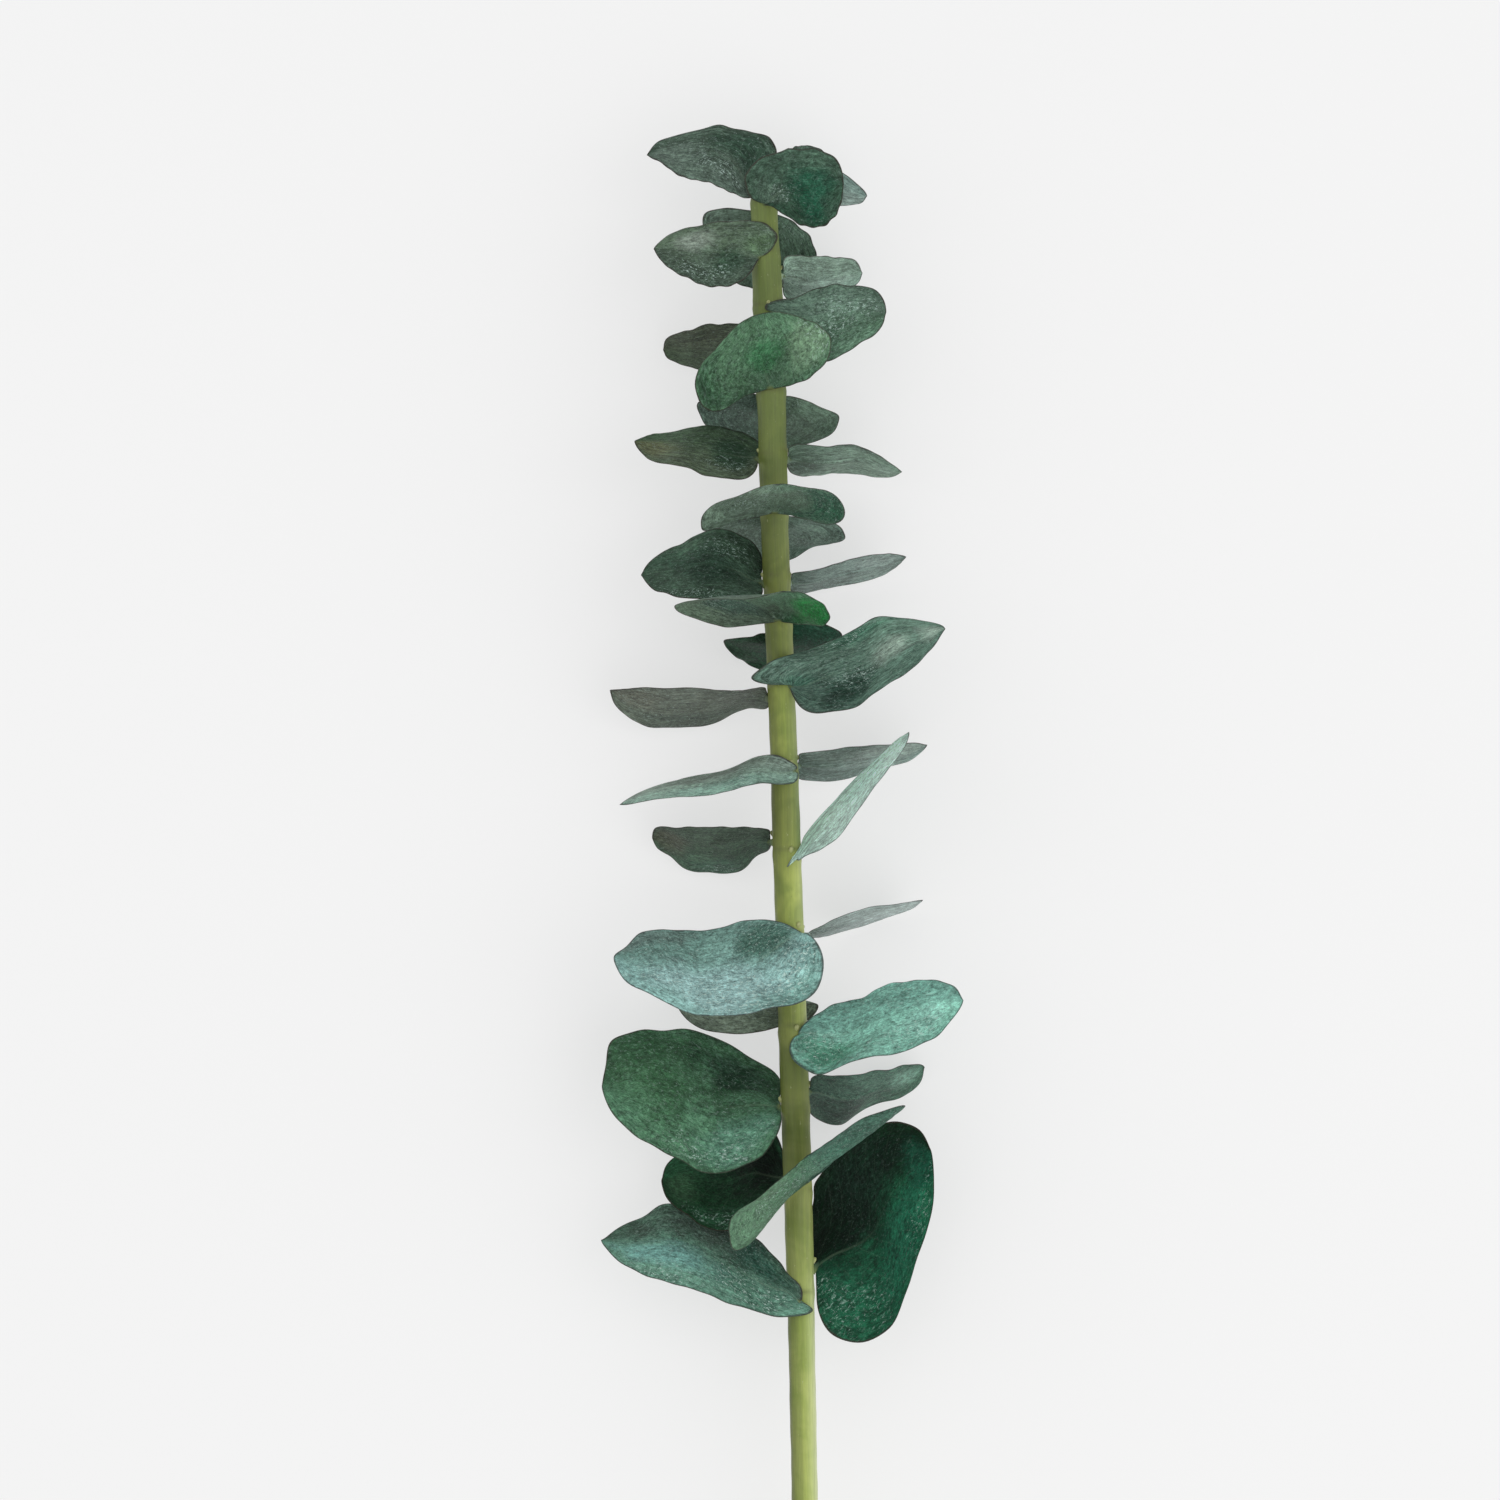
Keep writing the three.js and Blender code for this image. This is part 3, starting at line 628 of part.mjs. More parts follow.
// Closed thin blade: mid-surface from the net, offset to both sides, walled at
// the rim. Base and tip rows are single points.
function bladeGeometry(net) {
  const spline = [0, 1, 2].map((c) => naturalSpline(STATION.map(roundEnds), net.map((st) => st[c])));
  const rows = ALONG.map(roundEnds).map((s) => {
    const [a, m, b] = spline.map((f) => f(s));
    const row = [];
    for (let j = 0; j <= ACROSS; j++) {
      const t = -1 + 2 * j / ACROSS;
      const la = t * (t - 1) / 2;
      const lm = 1 - t * t;
      const lb = t * (t + 1) / 2;
      row.push(new THREE.Vector3(...clearOfStem([0, 1, 2].map((d) => a[d] * la + m[d] * lm + b[d] * lb))));
    }
    return row;
  });
  const last = rows.length - 1;
  const nrm = rows.map((row) => row.map(() => new THREE.Vector3()));
  for (let i = 1; i < last; i++) {
    for (let j = 0; j <= ACROSS; j++) {
      const along = rows[i + 1][j].clone().sub(rows[i - 1][j]);
      const across = rows[i][Math.min(j + 1, ACROSS)].clone().sub(rows[i][Math.max(j - 1, 0)]);
      nrm[i][j].crossVectors(along, across).normalize();
    }
  }
  for (const [e, q] of [[0, 1], [last, last - 1]]) {
    const sum = new THREE.Vector3();
    nrm[q].forEach((v) => sum.add(v));
    sum.normalize();
    nrm[e].forEach((v) => v.copy(sum));
  }
  const pos = [];
  const idx = [];
  const add = (p, n, side) => {
    pos.push(p.x + n.x * side, p.y + n.y * side, p.z + n.z * side);
    return pos.length / 3 - 1;
  };
  const h = LEAF_THICKNESS / 2;
  const sheet = (side) => rows.map((row, i) => {
    if (i === 0 || i === last) {
      const v = add(row[0], nrm[i][0], side);
      return row.map(() => v);
    }
    return row.map((p, j) => add(p, nrm[i][j], side));
  });
  const up = sheet(h);
  const dn = sheet(-h);
  const tri = (a, b, c) => { if (a !== b && b !== c && a !== c) idx.push(a, b, c); };
  const quad = (a, b, c, d) => { tri(a, b, c); tri(a, c, d); };
  for (let i = 0; i < last; i++) {
    for (let j = 0; j < ACROSS; j++) {
      quad(up[i][j], up[i + 1][j], up[i + 1][j + 1], up[i][j + 1]);
      quad(dn[i][j], dn[i][j + 1], dn[i + 1][j + 1], dn[i + 1][j]);
    }
    quad(up[i + 1][0], up[i][0], dn[i][0], dn[i + 1][0]);
    quad(up[i][ACROSS], up[i + 1][ACROSS], dn[i + 1][ACROSS], dn[i][ACROSS]);
  }
  return indexed(pos, idx);
}

// Stem: swept round tube with a slight swelling at every node, a plain flat
// cut at the bottom and a short rounded tip.
function stemGeometry() {
  const bottom = STEM_AXIS[0][1];
  const top = STEM_AXIS[STEM_AXIS.length - 1][1];
  const ys = [];
  for (let y = bottom; y < top - 1; y += STEM_STEP) ys.push(y);
  NODE_Y.forEach((y) => ys.push(y - NODE_SPREAD, y, y + NODE_SPREAD));
  ys.push(top - 0.9, top);
  ys.sort((a, b) => a - b);
  const rings = ys.filter((y, i) => i === 0 || y - ys[i - 1] > 0.4).map((y) => {
    const [cx, r0] = stemAt(y);
    let r = r0;
    NODE_Y.forEach((n) => { r += NODE_SWELL * Math.exp(-(((y - n) / NODE_SPREAD) ** 2)); });
    return { cx, y, r: y > top - 0.5 ? r * 0.72 : r };
  });
  const pos = [];
  const idx = [];
  rings.forEach((g) => {
    for (let k = 0; k < STEM_SIDES; k++) {
      const t = 2 * Math.PI * k / STEM_SIDES;
      pos.push(g.cx + g.r * Math.cos(t), g.y, g.r * Math.sin(t));
    }
  });
  for (let i = 0; i < rings.length - 1; i++) {
    for (let k = 0; k < STEM_SIDES; k++) {
      const a = i * STEM_SIDES + k;
      const b = i * STEM_SIDES + (k + 1) % STEM_SIDES;
      idx.push(a, a + STEM_SIDES, b + STEM_SIDES, a, b + STEM_SIDES, b);
    }
  }
  const n = rings.length;
  pos.push(rings[0].cx, rings[0].y, 0, rings[n - 1].cx, rings[n - 1].y + 0.5, 0);
  const lo = n * STEM_SIDES;
  for (let k = 0; k < STEM_SIDES; k++) {
    const q = (k + 1) % STEM_SIDES;
    idx.push(lo, k, q);
    idx.push(lo + 1, (n - 1) * STEM_SIDES + q, (n - 1) * STEM_SIDES + k);
  }
  return indexed(pos, idx);
}

// Indexed geometry, flipped if needed so that every face looks outward.
function indexed(pos, idx) {
  let vol = 0;
  const v = (k) => new THREE.Vector3(pos[3 * k], pos[3 * k + 1], pos[3 * k + 2]);
  for (let t = 0; t < idx.length; t += 3) {
    vol += v(idx[t]).dot(v(idx[t + 1]).cross(v(idx[t + 2])));
  }
  if (vol < 0) {
    for (let t = 0; t < idx.length; t += 3) [idx[t + 1], idx[t + 2]] = [idx[t + 2], idx[t + 1]];
  }
  const g = new THREE.BufferGeometry();
  g.setAttribute('position', new THREE.Float32BufferAttribute(pos, 3));
  g.setIndex(idx);
  return g;
}

// -------------------------------------------------------------------- branch
const branch = new THREE.Group();
branch.name = 'eucalyptus_branch';

function addPiece(name, geometry, color, roughness) {
  const mesh = new THREE.Mesh(geometry, new THREE.MeshStandardMaterial({ color, roughness, metalness: 0 }));
  mesh.name = name;
  branch.add(mesh);
}

addPiece('stem', stemGeometry(), BARK, 0.6);
for (const [name, net] of Object.entries(LEAVES)) {
  const tint = PALE.has(name) ? TINT.pale : DARK.has(name) ? TINT.dark : TINT.mid;
  addPiece(name, bladeGeometry(net), tint, 0.7);
}

// Lay the branch down: turn, drop onto z = 0, centre in x and y.
const turn = new THREE.Matrix4().makeRotationY(THREE.MathUtils.degToRad(REST_TURN_Y_DEG))
  .multiply(new THREE.Matrix4().makeRotationX(THREE.MathUtils.degToRad(REST_TURN_X_DEG)));
const box = new THREE.Box3();
branch.children.forEach((m) => {
  m.geometry.applyMatrix4(turn);
  m.geometry.computeBoundingBox();
  box.union(m.geometry.boundingBox);
});
const shift = [-(box.min.x + box.max.x) / 2, -(box.min.y + box.max.y) / 2, -box.min.z];
branch.children.forEach((m) => {
  m.geometry.translate(...shift);
  m.geometry.computeVertexNormals();
});

export default branch;
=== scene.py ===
"""Eucalyptus branch, lying on the leaf tips it balances on.

Every blade is a finely meshed leaf grown over the same net of stations as its
CAD solid; the stem is swept over the same axis, with node rings, buds, ridges
and a plain cut end. All materials are procedural.
"""
import math

import bpy
import numpy as np
from mathutils import Matrix, Vector


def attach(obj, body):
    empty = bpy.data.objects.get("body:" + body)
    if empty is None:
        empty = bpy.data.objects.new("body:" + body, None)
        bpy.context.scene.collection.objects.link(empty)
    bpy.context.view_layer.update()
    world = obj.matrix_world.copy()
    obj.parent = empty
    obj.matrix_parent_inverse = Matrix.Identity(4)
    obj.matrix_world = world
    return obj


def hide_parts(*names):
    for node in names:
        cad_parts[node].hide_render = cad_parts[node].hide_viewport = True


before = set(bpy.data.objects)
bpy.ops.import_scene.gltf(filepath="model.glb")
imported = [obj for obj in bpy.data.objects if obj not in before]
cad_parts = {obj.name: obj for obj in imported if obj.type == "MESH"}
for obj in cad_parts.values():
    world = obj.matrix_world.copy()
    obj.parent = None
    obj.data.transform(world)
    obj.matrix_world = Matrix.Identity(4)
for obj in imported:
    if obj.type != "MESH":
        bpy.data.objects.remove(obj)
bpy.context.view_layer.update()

# ------------------------------------------------------------------ placement
# Growth frame (mm, +Y along the stem) to the row frame: two small turns, then
# the shift that centres the CAD model on x and y and sets it on z = 0.
TURN_X, TURN_Y = math.radians(-0.2776), math.radians(-1.4067)
SHIFT = np.array([-6.555, 49.837, 23.265])
CAMERA_MM = 1181.25          # camera height above the stem, growth frame

ROT = (Matrix.Rotation(TURN_Y, 3, "Y") @ Matrix.Rotation(TURN_X, 3, "X"))
ROT_NP = np.array(ROT)


def to_row(p):
    return (np.asarray(p, float) @ ROT_NP.T + SHIFT) / 1000.0


# ----------------------------------------------------------------- dimensions
BLADE = 0.5                  # blade thickness at the midrib
GAP = 0.2                    # blade mid-surface to bark
BLEND = 1.0
NODE_Y = [-114.5, -92.5, -75.0, -59.0, -39.0, -22.0, -4.5, 13.0, 26.5,
          36.0, 49.5, 62.0, 75.0, 93.0, 103.5, 114.5]

# stem axis: x, y, radius
STEM = np.array([
    [12.8, -231.0, 2.77],
    [12.4, -212.1, 2.77],
    [12.0, -186.9, 2.77],
    [11.5, -154.4, 2.77],
    [11.1, -136.5, 2.81],
    [10.8, -119.7, 2.84],
    [10.3, -100.8, 2.98],
    [9.6, -77.3, 3.04],
    [9.1, -63.0, 3.04],
    [8.1, -31.5, 2.96],
    [7.5, -14.7, 2.96],
    [7.0, 2.1, 2.84],
    [6.0, 26.2, 2.81],
    [5.4, 38.6, 2.81],
    [4.9, 56.7, 2.90],
    [4.5, 75.6, 2.98],
    [3.8, 94.5, 3.07],
    [3.5, 100.8, 3.02],
    [3.1, 109.2, 2.77],
    [2.9, 114.4, 2.65],
    [2.7, 121.4, 2.00],
])

STATION = np.array([0, 0.03, 0.08, 0.16, 0.28, 0.42, 0.56, 0.70, 0.82, 0.91, 0.97, 1.0])

# lightness of the bark along the stem, 0 near the cut and 1 at the tip
STEM_TONE = [
    (0.00, 1.10),
    (0.18, 1.05),
    (0.30, 0.70),
    (0.36, 0.72),
    (0.45, 1.35),
    (0.49, 1.35),
    (0.55, 0.85),
    (0.61, 1.20),
    (0.67, 0.90),
    (1.00, 1.00),
]

# leaf nets: stations from base to tip, each [edge, midrib, edge]
NETS = {
    "leaf_01_left": [
        [[10.3,-115.7,4.0],[10.3,-115.7,4.0],[10.3,-115.7,4.0]],
        [[11.0,-114.3,3.8],[9.3,-114.5,3.8],[11.9,-116.1,3.8]],
        [[10.4,-112.0,3.0],[7.4,-113.3,3.5],[13.1,-117.4,3.5]],
        [[7.5,-108.8,0.9],[4.1,-112.4,2.8],[9.0,-118.7,3.9]],
        [[3.0,-104.4,-2.7],[-0.7,-110.1,1.5],[2.6,-118.0,4.8]],
        [[-3.3,-100.5,-8.0],[-6.1,-107.3,-0.5],[-4.4,-115.5,6.2]],
        [[-10.4,-97.7,-11.0],[-11.8,-105.0,-2.4],[-11.4,-112.9,5.9]],
        [[-17.6,-96.1,-10.7],[-17.8,-103.8,-4.1],[-18.4,-111.3,2.6]],
        [[-23.3,-99.0,-10.6],[-23.5,-104.3,-5.4],[-24.3,-109.3,0.0]],
        [[-27.5,-100.9,-9.2],[-27.6,-104.1,-6.3],[-28.4,-107.0,-3.3]],
        [[-30.1,-102.7,-7.4],[-30.3,-103.8,-6.9],[-30.7,-104.9,-6.3]],
        [[-31.5,-103.5,-7.1],[-31.5,-103.5,-7.1],[-31.5,-103.5,-7.1]],
    ],
    "leaf_01_right": [
        [[13.4,-108.9,-0.8],[13.4,-108.9,-0.8],[13.4,-108.9,-0.8]],
        [[13.3,-107.4,-1.7],[14.3,-108.3,-1.1],[13.6,-110.9,-0.8]],
        [[13.2,-105.1,-4.2],[15.8,-107.3,-1.6],[13.8,-114.3,-1.1]],
        [[13.2,-101.2,-6.6],[18.3,-105.9,-2.2],[14.9,-119.7,-2.2]],
        [[13.2,-95.0,-5.3],[22.5,-104.2,-3.2],[20.9,-124.8,-3.1]],
        [[15.2,-88.3,-4.3],[26.2,-101.0,-4.2],[29.4,-121.7,-4.1]],
        [[19.7,-82.8,-5.1],[28.3,-96.3,-4.9],[33.3,-113.3,-4.9]],
        [[25.9,-79.3,-5.7],[30.9,-92.0,-5.6],[36.4,-104.4,-5.4]],
        [[31.8,-78.5,-5.9],[33.8,-88.9,-5.8],[38.5,-96.5,-5.3]],
        [[36.0,-80.4,-6.1],[36.1,-86.8,-5.8],[38.9,-90.4,-4.9]],
        [[37.6,-83.0,-6.1],[37.5,-85.3,-5.9],[38.6,-86.4,-5.7]],
        [[38.2,-84.4,-5.9],[38.2,-84.4,-5.9],[38.2,-84.4,-5.9]],
    ],
    "leaf_02_front": [
        [[11.1,-91.3,3.6],[11.1,-91.3,3.6],[11.1,-91.3,3.6]],
        [[10.0,-92.2,3.6],[11.2,-91.1,3.7],[12.3,-90.5,3.5]],
        [[8.1,-93.7,4.0],[11.2,-90.7,4.2],[14.3,-89.0,3.6]],
        [[5.1,-96.0,5.2],[11.3,-90.1,5.6],[17.3,-86.4,4.3]],
        [[2.1,-100.6,7.8],[11.9,-89.2,8.4],[21.4,-82.1,6.5]],
        [[-3.1,-103.9,13.9],[12.0,-87.9,14.7],[26.7,-77.6,12.3]],
        [[-4.0,-97.4,20.2],[14.0,-86.8,21.1],[32.3,-73.5,18.6]],
        [[0.6,-92.5,26.1],[12.6,-85.3,26.8],[24.9,-75.0,24.7]],
        [[5.1,-88.8,29.2],[12.1,-84.3,29.6],[19.3,-77.9,28.3]],
        [[8.3,-85.9,30.9],[11.8,-83.7,31.1],[15.4,-80.6,30.4]],
        [[10.4,-84.0,31.7],[11.6,-83.2,31.8],[12.8,-82.2,31.5]],
        [[11.4,-83.0,31.9],[11.4,-83.0,31.9],[11.4,-83.0,31.9]],
    ],
    "leaf_02_back": [
        [[8.0,-90.0,-1.9],[8.0,-90.0,-1.9],[8.0,-90.0,-1.9]],
        [[7.8,-89.0,-3.0],[7.2,-90.0,-2.3],[7.8,-91.1,-1.7]],
        [[7.3,-87.3,-6.0],[5.9,-90.1,-2.9],[7.3,-92.8,-0.4]],
        [[6.8,-84.5,-9.1],[3.7,-89.8,-3.9],[5.6,-95.0,0.5]],
        [[4.9,-80.8,-10.8],[0.5,-89.4,-5.4],[2.2,-98.0,-0.6]],
        [[-0.6,-80.7,-13.5],[-3.2,-90.7,-7.4],[-2.3,-100.7,-2.4]],
        [[-5.9,-81.6,-15.0],[-7.0,-91.4,-9.0],[-7.5,-101.2,-4.3]],
        [[-11.0,-83.5,-15.5],[-10.7,-91.3,-10.2],[-12.2,-99.2,-6.1]],
        [[-15.1,-85.8,-15.0],[-14.0,-91.2,-10.9],[-15.8,-96.6,-7.8]],
        [[-17.7,-88.0,-13.5],[-16.4,-91.1,-11.3],[-18.0,-94.3,-9.6]],
        [[-18.5,-90.1,-11.9],[-18.0,-91.2,-11.5],[-18.7,-92.3,-11.1]],
        [[-18.8,-91.2,-11.5],[-18.8,-91.2,-11.5],[-18.8,-91.2,-11.5]],
    ],
    "leaf_03_left": [
        [[6.7,-75.1,1.0],[6.7,-75.1,1.0],[6.7,-75.1,1.0]],
        [[6.9,-73.5,0.2],[5.6,-74.9,1.2],[6.7,-76.7,2.1]],
        [[6.9,-70.9,-2.5],[3.7,-74.7,1.4],[6.3,-79.1,5.1]],
        [[4.8,-67.3,-5.0],[0.6,-74.6,1.6],[4.3,-82.7,7.5]],
        [[-1.1,-64.4,-6.4],[-4.0,-75.1,1.7],[-0.7,-86.5,8.9]],
        [[-7.6,-60.3,-5.4],[-9.3,-74.2,1.5],[-7.9,-88.4,7.8]],
        [[-15.1,-59.0,-5.6],[-14.5,-72.4,1.0],[-14.7,-85.6,7.8]],
        [[-22.8,-59.1,-4.1],[-19.7,-71.1,0.0],[-21.3,-82.3,5.4]],
        [[-29.0,-61.1,-1.4],[-24.2,-70.4,-1.0],[-26.5,-78.7,2.6]],
        [[-30.4,-65.8,-3.4],[-27.7,-70.8,-1.7],[-29.7,-75.0,0.9]],
        [[-30.9,-69.1,-2.8],[-30.1,-70.8,-2.2],[-30.9,-72.3,-1.7]],
        [[-31.2,-70.7,-2.5],[-31.2,-70.7,-2.5],[-31.2,-70.7,-2.5]],
    ],
    "leaf_03_right": [
        [[12.0,-71.9,-1.0],[12.0,-71.9,-1.0],[12.0,-71.9,-1.0]],
        [[12.0,-71.0,-1.0],[12.8,-71.9,-1.8],[12.0,-73.1,-2.6]],
        [[12.2,-69.5,0.5],[14.1,-71.9,-3.1],[12.2,-75.1,-6.4]],
        [[13.6,-68.3,1.8],[16.2,-72.5,-5.0],[13.4,-77.8,-11.3]],
        [[17.0,-68.2,1.1],[19.6,-73.5,-7.8],[17.6,-79.8,-16.4]],
        [[20.9,-68.4,-0.9],[23.2,-73.3,-11.0],[21.1,-79.2,-20.8]],
        [[24.8,-67.8,-3.9],[26.6,-71.9,-13.7],[25.3,-76.6,-23.4]],
        [[28.8,-67.6,-7.8],[30.1,-71.2,-16.1],[30.2,-75.1,-24.3]],
        [[32.1,-66.9,-11.8],[33.1,-70.1,-17.7],[34.2,-73.4,-23.6]],
        [[34.8,-66.8,-15.7],[35.2,-69.0,-18.8],[36.5,-71.0,-21.9]],
        [[36.5,-67.1,-18.9],[36.6,-68.0,-19.5],[37.1,-68.8,-20.0]],
        [[37.3,-67.7,-19.7],[37.3,-67.7,-19.7],[37.3,-67.7,-19.7]],
    ],
    "leaf_04_right": [
        [[10.1,-59.9,2.9],[10.1,-59.9,2.9],[10.1,-59.9,2.9]],
        [[10.3,-58.7,3.3],[11.0,-59.3,3.3],[8.8,-60.6,3.4]],
        [[11.5,-57.1,3.2],[12.8,-59.3,4.0],[8.2,-62.8,4.4]],
        [[14.1,-55.2,2.1],[15.8,-59.8,4.8],[10.2,-66.0,6.4]],
        [[18.5,-53.3,-0.2],[20.1,-59.7,5.6],[15.5,-67.5,10.3]],
        [[24.0,-51.8,-3.2],[24.8,-57.7,6.2],[21.4,-64.5,14.9]],
        [[29.1,-49.4,-3.7],[29.5,-56.2,6.3],[27.9,-63.4,16.0]],
        [[34.6,-48.4,-1.5],[34.3,-55.1,6.3],[34.4,-61.6,14.1]],
        [[39.3,-48.3,1.1],[38.4,-53.9,6.2],[39.4,-58.9,11.6]],
        [[42.6,-49.4,3.3],[41.5,-52.9,5.9],[42.5,-55.9,8.8]],
        [[44.0,-51.2,5.1],[43.6,-52.5,5.6],[44.1,-53.6,6.2]],
        [[44.6,-52.3,5.5],[44.6,-52.3,5.5],[44.6,-52.3,5.5]],
    ],
    "leaf_04_left": [
        [[7.6,-54.8,-3.8],[7.6,-54.8,-3.8],[7.6,-54.8,-3.8]],
        [[8.0,-53.9,-4.3],[6.9,-54.3,-4.3],[8.9,-55.3,-4.2]],
        [[8.8,-52.6,-5.7],[5.9,-52.9,-5.1],[10.7,-54.6,-4.8]],
        [[10.2,-51.2,-8.4],[4.3,-51.0,-6.4],[14.2,-53.6,-6.3]],
        [[6.8,-49.7,-13.4],[1.2,-51.8,-8.5],[12.3,-57.1,-7.4]],
        [[2.2,-49.3,-18.7],[-2.4,-52.7,-11.2],[6.0,-58.5,-5.9]],
        [[-2.4,-49.1,-22.1],[-6.1,-53.7,-13.6],[-0.4,-59.9,-6.3]],
        [[-7.1,-49.2,-23.2],[-9.7,-54.0,-15.7],[-6.9,-59.8,-8.7]],
        [[-11.1,-49.5,-22.6],[-12.6,-53.6,-17.2],[-12.3,-58.0,-11.8]],
        [[-14.0,-49.9,-21.0],[-14.7,-52.5,-18.1],[-15.2,-55.1,-15.2]],
        [[-15.8,-50.6,-19.2],[-16.0,-51.6,-18.7],[-16.3,-52.6,-18.1]],
        [[-16.7,-51.2,-18.9],[-16.7,-51.2,-18.9],[-16.7,-51.2,-18.9]],
    ],
    "leaf_05_left": [
        [[11.1,-38.4,2.9],[11.1,-38.4,2.9],[11.1,-38.4,2.9]],
        [[10.0,-37.7,3.5],[9.9,-38.5,3.5],[12.9,-39.0,3.6]],
        [[8.1,-36.7,4.0],[8.0,-39.5,4.5],[14.7,-41.4,4.7]],
        [[4.9,-35.6,4.0],[5.1,-41.6,5.9],[15.4,-46.3,6.1]],
        [[-0.3,-35.7,3.5],[0.6,-44.6,7.5],[11.4,-52.3,9.5]],
        [[-6.2,-37.1,0.8],[-4.8,-46.0,9.1],[3.0,-54.0,16.1]],
        [[-12.2,-37.9,0.1],[-10.3,-46.7,10.0],[-5.6,-55.0,19.4]],
        [[-18.1,-37.4,2.6],[-16.0,-45.7,10.5],[-14.1,-53.9,18.3]],
        [[-23.0,-38.4,4.8],[-21.0,-44.5,10.5],[-20.8,-50.7,16.2]],
        [[-25.7,-40.8,7.1],[-24.6,-44.3,10.4],[-25.7,-48.0,13.4]],
        [[-27.7,-42.2,9.6],[-27.1,-43.6,10.2],[-27.9,-45.1,10.7]],
        [[-28.4,-43.3,10.1],[-28.4,-43.3,10.1],[-28.4,-43.3,10.1]],
    ],
    "leaf_05_right": [
        [[12.0,-39.1,-2.5],[12.0,-39.1,-2.5],[12.0,-39.1,-2.5]],
        [[12.4,-38.4,-3.0],[12.7,-38.9,-3.1],[12.7,-39.6,-4.1]],
        [[13.4,-37.7,-3.0],[14.0,-38.5,-4.0],[14.1,-39.7,-8.7]],
        [[15.3,-36.8,-1.6],[15.9,-38.0,-5.3],[16.2,-39.6,-14.6]],
        [[18.0,-35.3,0.9],[18.9,-37.0,-7.2],[19.4,-38.9,-19.1]],
        [[21.4,-34.0,2.4],[22.3,-35.9,-9.1],[23.0,-38.0,-22.1]],
        [[24.9,-33.0,1.8],[25.8,-34.9,-10.8],[26.5,-36.9,-23.3]],
        [[28.6,-32.6,-1.6],[29.4,-34.1,-12.2],[30.0,-35.6,-22.7]],
        [[31.8,-32.4,-5.4],[32.4,-33.5,-13.1],[33.0,-34.6,-20.8]],
        [[34.3,-32.1,-9.7],[34.7,-32.8,-13.8],[35.0,-33.5,-17.8]],
        [[36.0,-31.9,-13.5],[36.1,-32.2,-14.1],[36.2,-32.4,-14.8]],
        [[36.8,-31.9,-14.3],[36.8,-31.9,-14.3],[36.8,-31.9,-14.3]],
    ],
    "leaf_06_right": [
        [[9.4,-22.6,3.8],[9.4,-22.6,3.8],[9.4,-22.6,3.8]],
        [[8.5,-23.4,4.0],[10.5,-22.1,4.0],[10.4,-23.1,4.1]],
        [[7.7,-24.5,3.9],[11.9,-21.0,4.4],[11.8,-22.1,5.4]],
        [[9.1,-21.7,2.0],[13.9,-19.0,5.0],[14.5,-20.9,8.6]],
        [[11.8,-17.5,-1.1],[16.8,-15.8,5.9],[18.1,-18.2,13.4]],
        [[15.6,-12.9,-3.4],[19.9,-12.0,6.7],[21.3,-14.1,17.3]],
        [[19.7,-8.6,-3.7],[23.1,-8.1,7.4],[24.3,-9.8,18.8]],
        [[23.8,-4.4,-1.5],[26.2,-4.2,7.9],[27.3,-5.6,17.5]],
        [[27.5,-1.0,1.1],[29.2,-1.2,8.0],[30.2,-2.2,15.0]],
        [[30.1,1.7,4.4],[31.3,1.2,8.0],[32.2,0.6,11.6]],
        [[32.1,3.1,7.4],[32.6,2.9,8.0],[33.1,2.6,8.6]],
        [[33.2,3.8,8.0],[33.2,3.8,8.0],[33.2,3.8,8.0]],
    ],
    "leaf_06_left": [
        [[4.4,-19.3,-0.8],[4.4,-19.3,-0.8],[4.4,-19.3,-0.8]],
        [[4.5,-18.4,-0.5],[3.7,-19.3,-1.4],[4.4,-20.3,-2.2]],
        [[4.3,-16.9,1.4],[2.4,-19.2,-2.2],[3.5,-21.5,-5.9]],
        [[2.3,-16.3,3.7],[0.4,-19.4,-3.6],[1.3,-22.6,-11.0]],
        [[-1.2,-16.2,3.8],[-2.6,-20.7,-5.5],[-1.3,-25.4,-14.8]],
        [[-5.3,-16.1,2.5],[-6.2,-21.2,-7.7],[-5.6,-26.4,-17.9]],
        [[-9.4,-16.1,0.2],[-9.7,-21.1,-9.6],[-10.0,-26.2,-19.4]],
        [[-13.6,-16.2,-3.2],[-13.2,-20.6,-11.2],[-14.2,-25.1,-19.3]],
        [[-17.2,-16.2,-6.5],[-16.2,-19.4,-12.4],[-17.1,-22.6,-18.4]],
        [[-19.9,-16.3,-10.4],[-18.5,-18.8,-13.2],[-19.5,-21.2,-16.1]],
        [[-20.7,-17.8,-13.1],[-20.0,-18.7,-13.7],[-20.5,-19.6,-14.2]],
        [[-20.8,-18.7,-13.9],[-20.8,-18.7,-13.9],[-20.8,-18.7,-13.9]],
    ],
    "leaf_07_left": [
        [[9.6,-4.4,3.4],[9.6,-4.4,3.4],[9.6,-4.4,3.4]],
        [[9.7,-3.2,3.7],[8.5,-4.6,3.7],[10.2,-5.5,3.7]],
        [[8.1,-2.1,3.8],[6.7,-4.9,4.3],[9.1,-6.9,4.7]],
        [[5.0,-1.0,3.4],[3.5,-4.5,5.1],[5.9,-7.2,6.9]],
        [[0.3,-1.7,1.9],[-1.0,-4.8,6.4],[1.1,-7.1,11.0]],
        [[-4.9,-4.1,-1.7],[-6.0,-6.6,7.9],[-4.2,-8.5,17.5]],
        [[-10.5,-5.4,-2.8],[-11.2,-7.6,9.1],[-9.7,-9.4,20.9]],
        [[-16.2,-6.5,-0.2],[-16.4,-8.3,9.9],[-15.2,-9.8,20.0]],
        [[-20.8,-7.9,2.9],[-20.8,-9.2,10.3],[-20.0,-10.3,17.6]],
